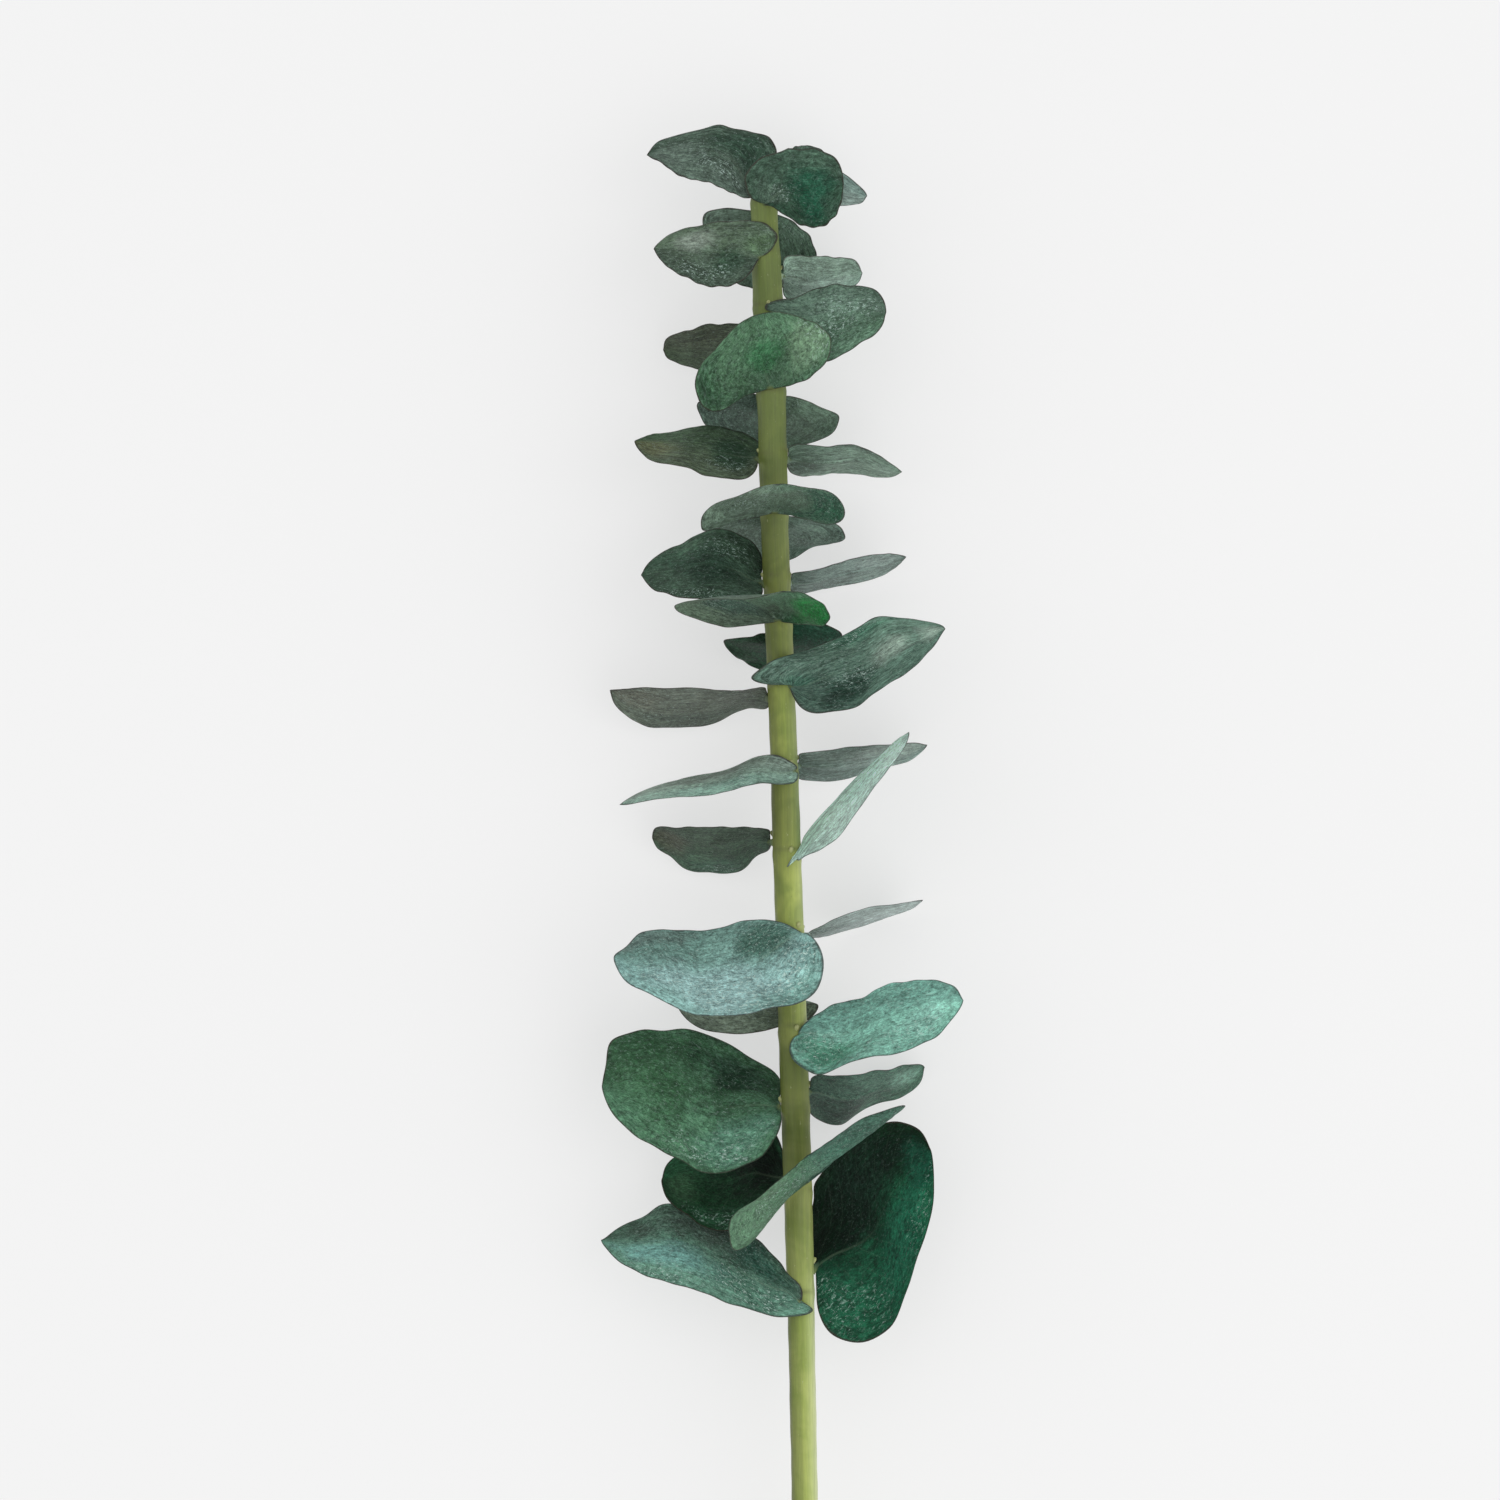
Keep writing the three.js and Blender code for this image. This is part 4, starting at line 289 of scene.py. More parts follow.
        [[-24.1,-9.4,6.6],[-24.0,-10.2,10.4],[-23.5,-11.0,14.3]],
        [[-26.2,-10.7,9.8],[-26.1,-11.0,10.5],[-25.9,-11.4,11.1]],
        [[-27.2,-11.4,10.5],[-27.2,-11.4,10.5],[-27.2,-11.4,10.5]],
    ],
    "leaf_07_right": [
        [[9.5,-3.4,-1.3],[9.5,-3.4,-1.3],[9.5,-3.4,-1.3]],
        [[9.7,-2.5,-0.9],[10.3,-3.3,-1.8],[9.7,-4.3,-2.6]],
        [[10.0,-1.0,1.0],[11.7,-3.2,-2.7],[10.2,-5.9,-6.2]],
        [[12.2,-0.5,3.4],[14.0,-3.2,-4.0],[12.6,-6.5,-11.3]],
        [[15.7,-0.1,3.7],[17.5,-3.1,-5.9],[16.5,-6.7,-15.5]],
        [[19.9,0.5,2.6],[21.4,-2.6,-8.1],[21.0,-6.1,-18.8]],
        [[24.1,0.9,0.3],[25.4,-1.8,-10.0],[25.3,-4.7,-20.3]],
        [[28.3,1.2,-3.0],[29.3,-1.1,-11.7],[29.7,-3.6,-20.3]],
        [[32.0,1.4,-6.6],[32.7,-0.6,-12.8],[33.4,-2.6,-19.1]],
        [[34.8,1.6,-10.3],[35.2,0.2,-13.6],[35.8,-1.1,-16.9]],
        [[36.7,1.3,-13.5],[36.9,0.8,-14.1],[37.1,0.2,-14.6]],
        [[37.7,1.1,-14.3],[37.7,1.1,-14.3],[37.7,1.1,-14.3]],
    ],
    "leaf_08_right": [
        [[8.2,13.4,2.9],[8.2,13.4,2.9],[8.2,13.4,2.9]],
        [[6.6,13.7,3.3],[9.2,13.5,3.4],[8.6,12.2,3.4]],
        [[3.9,13.6,4.0],[11.1,13.5,4.0],[9.5,10.3,4.4]],
        [[0.3,15.2,5.0],[13.7,14.4,5.0],[11.8,8.1,6.3]],
        [[4.6,18.6,6.0],[17.6,15.8,6.1],[16.8,8.0,9.5]],
        [[11.7,21.1,3.4],[22.3,17.1,7.2],[22.4,9.4,14.2]],
        [[18.9,23.5,0.9],[26.7,19.3,7.7],[27.2,12.6,16.6]],
        [[25.3,27.4,1.6],[30.7,22.3,8.0],[32.2,15.8,15.1]],
        [[31.7,27.7,2.7],[34.7,23.7,7.9],[36.0,19.1,13.2]],
        [[36.5,27.1,4.7],[37.7,24.6,7.6],[38.6,22.0,10.6]],
        [[39.5,26.3,6.8],[39.7,25.2,7.3],[40.0,24.1,7.8]],
        [[40.8,25.3,7.1],[40.8,25.3,7.1],[40.8,25.3,7.1]],
    ],
    "leaf_08_left": [
        [[4.2,10.9,-1.3],[4.2,10.9,-1.3],[4.2,10.9,-1.3]],
        [[4.2,12.0,-0.9],[3.2,10.9,-1.7],[4.3,9.7,-2.5]],
        [[3.2,13.1,1.2],[1.5,10.9,-2.4],[3.0,8.6,-6.1]],
        [[0.3,12.8,4.1],[-1.2,10.9,-3.5],[-0.2,8.8,-11.1]],
        [[-3.9,12.5,4.8],[-5.3,9.9,-5.0],[-4.7,7.1,-14.7]],
        [[-8.9,12.9,4.1],[-10.1,9.1,-6.4],[-10.0,5.1,-17.0]],
        [[-13.8,13.0,2.3],[-14.9,8.9,-7.6],[-15.8,4.7,-17.6]],
        [[-18.8,13.0,-0.4],[-19.7,9.0,-8.6],[-21.5,5.0,-16.7]],
        [[-23.1,13.2,-3.2],[-23.7,10.1,-9.1],[-25.9,7.0,-14.8]],
        [[-26.4,12.9,-6.3],[-26.7,11.0,-9.4],[-28.5,9.3,-12.4]],
        [[-28.6,12.8,-9.1],[-28.7,12.2,-9.6],[-29.4,11.5,-10.1]],
        [[-29.7,12.7,-9.7],[-29.7,12.7,-9.7],[-29.7,12.7,-9.7]],
    ],
    "leaf_09_front": [
        [[6.1,27.0,3.4],[6.1,27.0,3.4],[6.1,27.0,3.4]],
        [[4.9,26.7,3.2],[5.9,27.2,3.4],[6.8,26.8,3.2]],
        [[2.8,26.4,3.2],[5.6,27.6,3.7],[7.9,26.6,3.2]],
        [[-0.5,26.0,3.6],[5.1,28.2,4.5],[9.7,26.3,3.5]],
        [[-5.4,25.6,4.9],[4.4,29.2,6.2],[12.5,26.1,4.8]],
        [[-10.8,27.3,9.3],[3.3,30.2,10.9],[15.7,26.1,9.1]],
        [[-16.0,29.7,14.4],[0.7,31.6,16.0],[16.3,28.7,14.2]],
        [[-8.5,31.1,19.7],[2.9,31.8,21.1],[14.0,30.9,19.6]],
        [[-2.1,31.0,22.5],[4.8,32.0,23.4],[11.5,32.1,22.4]],
        [[2.7,31.7,24.2],[6.1,32.3,24.7],[9.5,32.6,24.1]],
        [[5.8,32.4,25.0],[6.9,32.5,25.1],[8.1,32.5,24.9]],
        [[7.4,32.5,25.2],[7.4,32.5,25.2],[7.4,32.5,25.2]],
    ],
    "leaf_09_back": [
        [[6.1,24.9,-3.4],[6.1,24.9,-3.4],[6.1,24.9,-3.4]],
        [[5.3,24.8,-3.2],[6.1,24.6,-3.4],[6.9,25.5,-3.2]],
        [[3.9,24.7,-3.3],[6.1,24.2,-3.7],[8.4,26.6,-3.3]],
        [[1.7,24.3,-3.7],[6.3,23.5,-4.5],[11.1,27.1,-3.7]],
        [[-1.6,23.6,-4.9],[6.7,22.5,-6.2],[15.3,26.8,-4.9]],
        [[-5.6,23.3,-8.8],[6.9,21.4,-10.4],[19.5,24.3,-8.8]],
        [[-3.8,20.5,-13.3],[6.6,20.3,-15.0],[17.1,21.4,-13.3]],
        [[-1.1,18.6,-18.2],[6.3,19.1,-19.5],[13.7,19.5,-18.2]],
        [[1.5,17.4,-20.7],[6.1,18.2,-21.6],[10.7,18.0,-20.7]],
        [[3.6,17.0,-22.2],[6.0,17.4,-22.7],[8.3,17.1,-22.2]],
        [[5.1,16.7,-22.9],[5.8,16.9,-23.0],[6.6,16.8,-22.9]],
        [[5.8,16.6,-23.1],[5.8,16.6,-23.1],[5.8,16.6,-23.1]],
    ],
    "leaf_10_left": [
        [[2.7,35.0,0.8],[2.7,35.0,0.8],[2.7,35.0,0.8]],
        [[2.8,36.2,0.3],[2.0,35.2,1.0],[2.8,34.1,1.7]],
        [[2.9,38.1,-1.5],[0.7,35.4,1.3],[2.5,32.6,4.1]],
        [[2.5,41.0,-3.4],[-1.3,36.6,1.8],[0.4,31.8,7.0]],
        [[-0.3,44.3,-4.5],[-4.3,38.0,2.2],[-3.1,31.4,8.8]],
        [[-4.9,46.5,-4.9],[-7.8,38.9,2.5],[-7.3,31.2,9.5]],
        [[-10.0,46.0,-4.8],[-11.4,38.7,2.4],[-11.4,31.4,9.3]],
        [[-14.5,43.5,-4.4],[-15.1,37.7,1.9],[-15.5,32.0,7.8]],
        [[-18.5,41.6,-3.2],[-18.3,37.3,1.4],[-18.9,33.0,5.7]],
        [[-21.2,39.6,-1.5],[-20.6,37.0,0.9],[-21.3,34.5,3.2]],
        [[-22.4,37.7,0.1],[-22.2,36.8,0.6],[-22.4,36.0,1.0]],
        [[-22.9,36.7,0.4],[-22.9,36.7,0.4],[-22.9,36.7,0.4]],
    ],
    "leaf_10_right": [
        [[8.0,35.1,-0.8],[8.0,35.1,-0.8],[8.0,35.1,-0.8]],
        [[8.2,35.9,-0.5],[8.7,35.2,-1.4],[8.2,34.3,-2.2]],
        [[8.8,37.0,1.5],[10.0,35.3,-2.2],[9.0,33.2,-5.9]],
        [[10.9,37.3,3.9],[12.1,35.4,-3.6],[11.2,33.1,-11.0]],
        [[14.0,37.8,4.3],[15.2,36.1,-5.5],[14.5,34.0,-15.2]],
        [[17.6,38.9,3.0],[18.7,37.1,-7.7],[18.5,34.9,-18.4]],
        [[21.2,40.1,0.7],[22.2,37.9,-9.5],[22.4,35.5,-19.7]],
        [[24.9,41.0,-2.4],[25.7,38.8,-10.9],[26.3,36.5,-19.4]],
        [[28.2,41.4,-5.7],[28.7,39.6,-11.9],[29.4,37.8,-18.1]],
        [[30.7,41.5,-9.3],[30.9,40.3,-12.5],[31.5,39.2,-15.8]],
        [[32.4,41.3,-12.3],[32.4,40.8,-12.9],[32.6,40.3,-13.4]],
        [[33.2,41.0,-13.0],[33.2,41.0,-13.0],[33.2,41.0,-13.0]],
    ],
    "leaf_11_front": [
        [[5.2,49.6,3.4],[5.2,49.6,3.4],[5.2,49.6,3.4]],
        [[4.2,49.4,3.1],[5.2,49.8,3.4],[6.2,49.4,3.2]],
        [[2.3,49.0,2.9],[5.3,50.1,3.7],[7.9,49.2,3.2]],
        [[-0.5,48.4,3.1],[5.3,50.6,4.5],[10.5,48.6,3.5]],
        [[-4.8,47.2,3.9],[5.3,51.2,6.2],[14.4,47.5,4.6]],
        [[-9.8,45.9,7.5],[5.2,51.9,10.4],[18.9,47.7,8.3]],
        [[-9.1,49.9,12.2],[5.4,52.6,15.1],[19.3,51.1,13.0]],
        [[-4.4,51.9,17.5],[5.8,53.2,19.9],[15.8,53.5,18.2]],
        [[-0.4,53.4,20.5],[5.8,53.8,22.0],[11.9,54.1,20.9]],
        [[2.7,54.4,22.3],[5.8,54.3,23.1],[8.9,54.6,22.5]],
        [[4.9,54.7,23.2],[5.9,54.6,23.5],[7.0,54.8,23.3]],
        [[6.0,54.8,23.5],[6.0,54.8,23.5],[6.0,54.8,23.5]],
    ],
    "leaf_11_back": [
        [[5.3,49.5,-3.4],[5.3,49.5,-3.4],[5.3,49.5,-3.4]],
        [[4.3,49.4,-3.2],[5.2,49.2,-3.4],[6.2,49.5,-3.2]],
        [[2.7,49.3,-3.3],[5.2,48.7,-3.7],[7.6,49.3,-3.3]],
        [[0.1,49.0,-3.7],[5.0,47.9,-4.5],[10.0,49.1,-3.7]],
        [[-3.8,48.4,-4.9],[4.9,46.8,-6.2],[13.5,48.5,-4.9]],
        [[-8.1,46.9,-8.5],[4.8,45.6,-10.2],[17.7,48.2,-8.5]],
        [[-8.4,43.7,-12.7],[5.9,44.3,-14.4],[20.2,45.0,-12.7]],
        [[-4.4,41.8,-17.0],[5.5,43.1,-18.4],[15.4,43.7,-17.0]],
        [[-0.6,40.7,-19.4],[5.4,41.9,-20.3],[11.4,42.1,-19.4]],
        [[2.4,40.3,-20.9],[5.5,41.0,-21.3],[8.6,40.6,-20.9]],
        [[4.4,40.2,-21.6],[5.4,40.4,-21.7],[6.4,40.3,-21.6]],
        [[5.3,40.1,-21.8],[5.3,40.1,-21.8],[5.3,40.1,-21.8]],
    ],
    "leaf_12_left": [
        [[1.9,61.1,0.6],[1.9,61.1,0.6],[1.9,61.1,0.6]],
        [[2.5,61.8,0.1],[1.1,61.1,0.8],[1.8,60.1,1.5]],
        [[2.8,63.4,-1.9],[-0.2,61.3,0.9],[1.2,58.5,4.0]],
        [[1.2,65.3,-4.5],[-2.3,61.4,1.2],[-0.6,56.8,7.1]],
        [[-2.1,67.4,-6.4],[-5.4,62.1,1.3],[-4.3,56.3,9.0]],
        [[-6.4,68.3,-7.6],[-9.1,62.8,1.2],[-8.5,57.0,10.0]],
        [[-10.9,68.4,-7.8],[-12.7,63.5,0.9],[-12.6,58.5,9.6]],
        [[-15.2,67.6,-7.1],[-16.5,63.6,0.3],[-16.9,59.6,7.7]],
        [[-19.0,66.9,-5.7],[-19.7,63.7,-0.4],[-20.5,60.5,4.9]],
        [[-21.7,66.2,-3.8],[-22.0,64.2,-1.0],[-22.9,62.3,1.8]],
        [[-23.5,65.4,-2.0],[-23.6,64.7,-1.4],[-24.0,64.0,-0.9]],
        [[-24.3,65.0,-1.7],[-24.3,65.0,-1.7],[-24.3,65.0,-1.7]],
    ],
    "leaf_12_right": [
        [[7.6,61.1,-0.6],[7.6,61.1,-0.6],[7.6,61.1,-0.6]],
        [[7.6,62.0,-0.3],[8.3,61.1,-1.0],[7.6,60.4,-1.7]],
        [[7.9,63.3,1.5],[9.5,61.1,-1.5],[8.0,59.2,-4.6]],
        [[9.8,64.0,3.6],[11.5,60.9,-2.4],[9.6,58.1,-8.5]],
        [[13.2,63.9,4.5],[14.5,60.8,-3.7],[12.8,58.0,-11.9]],
        [[17.1,63.6,4.1],[18.0,61.0,-5.1],[16.7,58.6,-14.3]],
        [[21.1,64.1,2.4],[21.5,61.4,-6.4],[20.5,58.8,-15.2]],
        [[24.9,63.1,-0.2],[24.9,60.7,-7.6],[24.4,58.4,-15.0]],
        [[27.9,61.6,-3.1],[27.8,59.7,-8.5],[27.6,57.9,-13.9]],
        [[30.1,60.3,-6.3],[30.0,59.1,-9.1],[30.0,57.9,-11.9]],
        [[31.6,59.4,-9.0],[31.5,58.9,-9.5],[31.5,58.4,-10.0]],
        [[32.2,58.9,-9.7],[32.2,58.9,-9.7],[32.2,58.9,-9.7]],
    ],
    "leaf_13_front": [
        [[4.4,75.6,3.4],[4.4,75.6,3.4],[4.4,75.6,3.4]],
        [[3.1,75.3,3.3],[4.2,76.1,3.6],[5.4,75.7,3.4]],
        [[1.0,74.7,3.3],[3.9,76.8,4.0],[7.1,76.0,3.6]],
        [[-2.3,73.5,3.6],[3.5,78.0,4.8],[9.7,76.6,4.2]],
        [[-6.8,70.8,4.4],[2.9,79.8,6.3],[13.3,78.4,5.3]],
        [[-10.8,73.0,6.5],[2.5,81.8,9.0],[16.4,81.9,7.7]],
        [[-10.9,79.0,9.1],[2.7,83.9,11.6],[16.4,86.4,10.4]],
        [[-7.2,83.5,12.1],[2.9,85.9,14.1],[12.9,89.0,13.1]],
        [[-3.7,87.2,14.0],[2.8,87.7,15.3],[9.1,90.2,14.7]],
        [[-0.6,89.5,15.3],[2.8,89.1,16.0],[6.1,90.8,15.7]],
        [[1.8,90.3,16.1],[3.0,90.1,16.3],[4.1,90.7,16.2]],
        [[3.1,90.6,16.4],[3.1,90.6,16.4],[3.1,90.6,16.4]],
    ],
    "leaf_13_back": [
        [[4.4,74.1,-3.4],[4.4,74.1,-3.4],[4.4,74.1,-3.4]],
        [[3.4,74.4,-3.3],[4.4,73.8,-3.4],[5.5,74.3,-3.3]],
        [[1.6,74.9,-3.3],[4.4,73.3,-3.7],[7.3,74.5,-3.3]],
        [[-1.2,75.2,-3.7],[4.4,72.4,-4.5],[10.3,74.3,-3.7]],
        [[-5.5,74.7,-4.9],[4.3,71.2,-6.1],[14.3,72.6,-4.9]],
        [[-10.6,74.0,-8.0],[4.1,69.9,-9.6],[18.9,70.4,-8.0]],
        [[-10.1,69.9,-11.7],[3.5,68.6,-13.4],[17.1,67.0,-11.7]],
        [[-6.3,66.8,-15.8],[3.5,67.2,-17.1],[13.2,65.4,-15.8]],
        [[-2.4,65.1,-18.1],[3.7,66.0,-19.0],[9.6,64.6,-18.1]],
        [[0.8,64.2,-19.6],[3.8,65.0,-20.0],[6.9,64.2,-19.6]],
        [[3.0,64.0,-20.3],[4.0,64.4,-20.5],[5.0,64.1,-20.3]],
        [[4.1,64.0,-20.6],[4.1,64.0,-20.6],[4.1,64.0,-20.6]],
    ],
    "leaf_14_right": [
        [[4.2,92.0,2.9],[4.2,92.0,2.9],[4.2,92.0,2.9]],
        [[3.3,92.4,3.0],[4.9,91.6,3.1],[4.3,90.9,3.1]],
        [[3.6,93.5,3.0],[6.1,91.4,3.2],[5.0,89.3,3.3]],
        [[6.0,94.3,2.4],[8.1,90.5,3.3],[6.4,86.9,3.5]],
        [[9.7,95.2,1.3],[11.0,89.4,3.3],[9.1,83.8,3.8]],
        [[13.7,97.1,-0.4],[14.4,88.9,2.9],[13.0,81.0,3.5]],
        [[18.1,97.7,-1.6],[17.8,89.7,2.3],[17.5,81.9,3.1]],
        [[22.6,97.6,-1.9],[21.3,90.9,1.5],[21.8,84.3,2.4]],
        [[26.3,96.8,-1.3],[24.2,91.6,0.9],[25.4,86.5,1.6]],
        [[28.1,94.6,-0.8],[26.4,91.7,0.5],[27.6,88.8,0.9]],
        [[28.6,92.7,-0.1],[27.9,91.7,0.2],[28.3,90.7,0.3]],
        [[28.6,91.8,0.0],[28.6,91.8,0.0],[28.6,91.8,0.0]],
    ],
    "leaf_14_left": [
        [[1.5,85.3,-1.0],[1.5,85.3,-1.0],[1.5,85.3,-1.0]],
        [[1.5,86.1,-0.9],[0.9,85.4,-1.6],[1.5,84.7,-2.3]],
        [[1.5,87.3,0.3],[-0.1,85.4,-2.5],[1.5,83.7,-5.3]],
        [[1.0,89.3,0.9],[-1.7,85.6,-3.9],[0.4,82.2,-9.1]],
        [[-2.0,89.6,0.7],[-4.1,85.2,-6.0],[-2.1,80.9,-12.8]],
        [[-5.6,89.6,-0.8],[-6.8,85.0,-8.4],[-5.5,80.5,-16.1]],
        [[-9.3,89.5,-3.1],[-9.6,85.1,-10.5],[-9.0,80.8,-18.0]],
        [[-12.8,88.7,-6.2],[-12.4,85.1,-12.4],[-12.4,81.5,-18.7]],
        [[-15.8,88.1,-9.3],[-14.9,85.3,-13.8],[-15.3,82.4,-18.3]],
        [[-17.9,87.2,-12.5],[-16.7,85.3,-14.7],[-17.4,83.3,-17.0]],
        [[-18.4,85.9,-14.8],[-17.9,85.2,-15.3],[-18.2,84.4,-15.7]],
        [[-18.5,85.1,-15.5],[-18.5,85.1,-15.5],[-18.5,85.1,-15.5]],
    ],
    "leaf_15_left": [
        [[2.5,103.3,2.7],[2.5,103.3,2.7],[2.5,103.3,2.7]],
        [[3.4,103.8,2.9],[1.8,103.3,3.0],[1.9,102.7,3.0]],
        [[4.7,105.0,3.1],[0.7,103.4,3.3],[1.1,101.5,3.8]],
        [[5.7,107.5,3.7],[-1.1,103.8,3.8],[0.0,99.4,5.4]],
        [[3.1,110.3,3.3],[-3.8,104.2,4.3],[-2.6,97.3,7.2]],
        [[-1.7,111.0,1.1],[-7.0,104.0,4.6],[-6.5,96.5,9.2]],
        [[-6.6,110.9,-0.4],[-10.2,104.1,4.5],[-10.4,97.1,10.0]],
        [[-11.4,110.2,-0.7],[-13.3,104.6,4.0],[-14.0,98.8,8.8]],
        [[-15.4,109.0,-0.1],[-16.1,104.8,3.5],[-17.0,100.6,7.0]],
        [[-18.1,107.4,1.0],[-18.1,104.9,3.0],[-18.9,102.5,5.0]],
        [[-19.6,105.9,2.3],[-19.5,105.0,2.7],[-19.8,104.2,3.1]],
        [[-20.2,105.0,2.5],[-20.2,105.0,2.5],[-20.2,105.0,2.5]],
    ],
    "leaf_15_right": [
        [[6.7,99.6,-1.0],[6.7,99.6,-1.0],[6.7,99.6,-1.0]],
        [[6.7,100.3,-1.0],[7.2,99.7,-1.6],[6.7,99.0,-2.2]],
        [[6.7,101.3,0.1],[8.1,99.7,-2.5],[6.9,98.1,-5.2]],
        [[7.0,103.1,0.6],[9.5,99.8,-3.9],[7.1,96.4,-8.4]],
        [[9.3,104.0,0.0],[11.5,99.5,-5.9],[9.0,94.9,-11.7]],
        [[12.4,103.9,-1.2],[13.9,99.6,-8.1],[12.4,95.1,-15.0]],
        [[15.5,104.0,-3.3],[16.3,99.9,-10.0],[15.8,95.6,-16.7]],
        [[18.7,104.0,-6.1],[18.7,100.4,-11.7],[19.0,96.8,-17.3]],
        [[21.4,104.0,-8.9],[20.8,101.1,-12.8],[21.5,98.2,-16.8]],
        [[23.0,103.1,-11.5],[22.3,101.2,-13.6],[23.2,99.5,-15.7]],
        [[23.6,102.0,-13.6],[23.4,101.3,-14.1],[23.7,100.7,-14.5]],
        [[23.9,101.4,-14.3],[23.9,101.4,-14.3],[23.9,101.4,-14.3]],
    ],
    "leaf_16_back": [
        [[3.4,113.3,-2.9],[3.4,113.3,-2.9],[3.4,113.3,-2.9]],
        [[2.4,113.5,-3.0],[3.3,112.8,-3.2],[4.3,113.1,-3.0]],
        [[0.7,113.7,-3.3],[3.1,112.0,-3.6],[5.9,112.7,-3.3]],
        [[-2.0,114.0,-3.8],[2.8,110.9,-4.4],[8.3,111.8,-3.8]],
        [[-6.1,114.2,-4.9],[2.1,109.1,-5.9],[11.4,109.5,-4.9]],
        [[-9.7,112.9,-7.0],[1.6,107.1,-8.2],[13.9,105.8,-7.0]],
        [[-9.4,108.3,-9.5],[2.0,104.9,-10.7],[13.4,101.7,-9.5]],
        [[-7.2,104.3,-12.2],[1.6,102.8,-13.3],[10.0,99.0,-12.2]],
        [[-4.8,101.1,-13.8],[1.0,101.1,-14.5],[6.3,98.0,-13.8]],
        [[-2.5,99.1,-14.8],[0.6,99.7,-15.2],[3.4,97.9,-14.8]],
        [[-0.6,98.5,-15.3],[0.5,98.7,-15.5],[1.4,98.1,-15.3]],
        [[0.4,98.2,-15.5],[0.4,98.2,-15.5],[0.4,98.2,-15.5]],
    ],
    "leaf_16_front": [
        [[2.7,114.4,2.9],[2.7,114.4,2.9],[2.7,114.4,2.9]],
        [[1.7,114.7,3.8],[3.2,114.5,3.7],[3.4,114.0,3.8]],
        [[0.2,115.4,5.2],[4.0,114.9,4.8],[4.5,113.5,5.4]],
        [[-1.0,117.8,6.7],[5.2,115.7,6.4],[6.2,112.3,7.6]],
        [[-0.2,121.5,8.6],[7.0,116.8,8.4],[8.6,110.5,9.5]],
        [[3.9,123.9,10.5],[9.4,116.9,10.2],[11.6,108.9,11.0]],
        [[8.6,124.9,11.8],[11.9,116.9,11.4],[15.0,108.8,11.8]],
        [[13.5,124.9,12.6],[14.2,117.5,12.4],[17.6,110.7,12.6]],
        [[17.3,123.3,13.1],[16.2,117.8,12.8],[18.8,113.2,13.2]],
        [[19.0,120.6,13.4],[17.8,117.7,13.1],[19.3,115.3,13.5]],
        [[19.4,118.6,13.3],[18.9,117.6,13.2],[19.4,116.8,13.3]],
        [[19.5,117.5,13.2],[19.5,117.5,13.2],[19.5,117.5,13.2]],
    ],
    "leaf_17_left": [
        [[1.5,117.1,3.2],[1.5,117.1,3.2],[1.5,117.1,3.2]],
        [[2.5,117.8,3.1],[0.8,117.4,3.1],[1.0,116.4,3.1]],
        [[3.8,119.4,3.1],[-0.2,118.1,3.1],[0.1,115.5,3.1]],
        [[4.9,122.5,2.9],[-1.6,120.2,2.9],[-1.9,115.9,3.1]],
        [[5.1,127.4,2.6],[-3.6,123.5,2.7],[-4.8,117.0,3.1]],
        [[0.2,129.8,1.2],[-6.7,125.2,2.2],[-8.0,118.6,3.7]],
        [[-5.5,131.1,-0.7],[-10.1,125.7,1.7],[-11.6,119.2,4.4]],
        [[-11.1,130.7,-2.1],[-13.7,125.7,1.4],[-15.0,120.3,5.0]],
        [[-15.8,129.1,-2.2],[-16.8,125.6,1.0],[-17.6,122.0,4.3]],
        [[-19.3,127.9,-1.0],[-19.2,125.5,0.7],[-19.6,123.4,2.6]],
        [[-21.0,126.0,0.2],[-20.8,125.1,0.5],[-21.0,124.4,0.9]],
        [[-21.7,124.9,0.4],[-21.7,124.9,0.4],[-21.7,124.9,0.4]],
    ],
    "leaf_17_right": [
        [[4.6,118.1,-1.0],[4.6,118.1,-1.0],[4.6,118.1,-1.0]],
        [[4.7,118.9,-0.9],[5.2,118.1,-1.5],[4.6,117.5,-2.0]],
        [[4.9,120.0,0.0],[6.2,118.2,-2.1],[4.9,116.6,-4.3]],
        [[6.0,121.6,0.7],[7.9,118.3,-3.1],[6.1,115.4,-7.1]],
        [[8.8,122.8,0.5],[10.3,118.6,-4.6],[8.7,114.5,-9.7]],
        [[12.4,123.3,-0.4],[13.2,118.9,-6.1],[12.0,114.5,-11.9]],
        [[15.9,123.0,-1.8],[16.0,118.9,-7.4],[15.3,114.9,-13.1]],
        [[19.2,121.9,-3.7],[18.8,118.7,-8.5],[18.6,115.4,-13.3]],
        [[21.7,120.3,-5.7],[21.2,118.0,-9.2],[21.4,115.7,-12.8]],
        [[23.5,119.0,-7.8],[23.0,117.5,-9.7],[23.5,115.9,-11.5]],
        [[24.5,118.0,-9.6],[24.2,117.4,-10.0],[24.4,116.7,-10.3]],
        [[24.8,117.3,-10.1],[24.8,117.3,-10.1],[24.8,117.3,-10.1]],
    ],
    "leaf_18_back": [
        [[5.0,122.0,-2.3],[5.0,122.0,-2.3],[5.0,122.0,-2.3]],
        [[4.9,122.3,-2.7],[5.3,122.1,-2.5],[5.2,121.5,-2.7]],
        [[4.7,122.9,-3.5],[5.8,122.2,-2.7],[5.7,120.7,-3.5]],
        [[4.4,123.8,-4.6],[6.4,122.6,-3.1],[7.0,120.7,-4.6]],
        [[5.0,125.0,-5.6],[7.4,123.0,-3.7],[9.3,121.0,-5.6]],
        [[6.1,126.0,-6.3],[8.6,123.5,-4.3],[11.8,121.9,-6.3]],
        [[7.4,126.7,-6.8],[9.8,124.0,-4.8],[14.2,123.2,-6.6]],
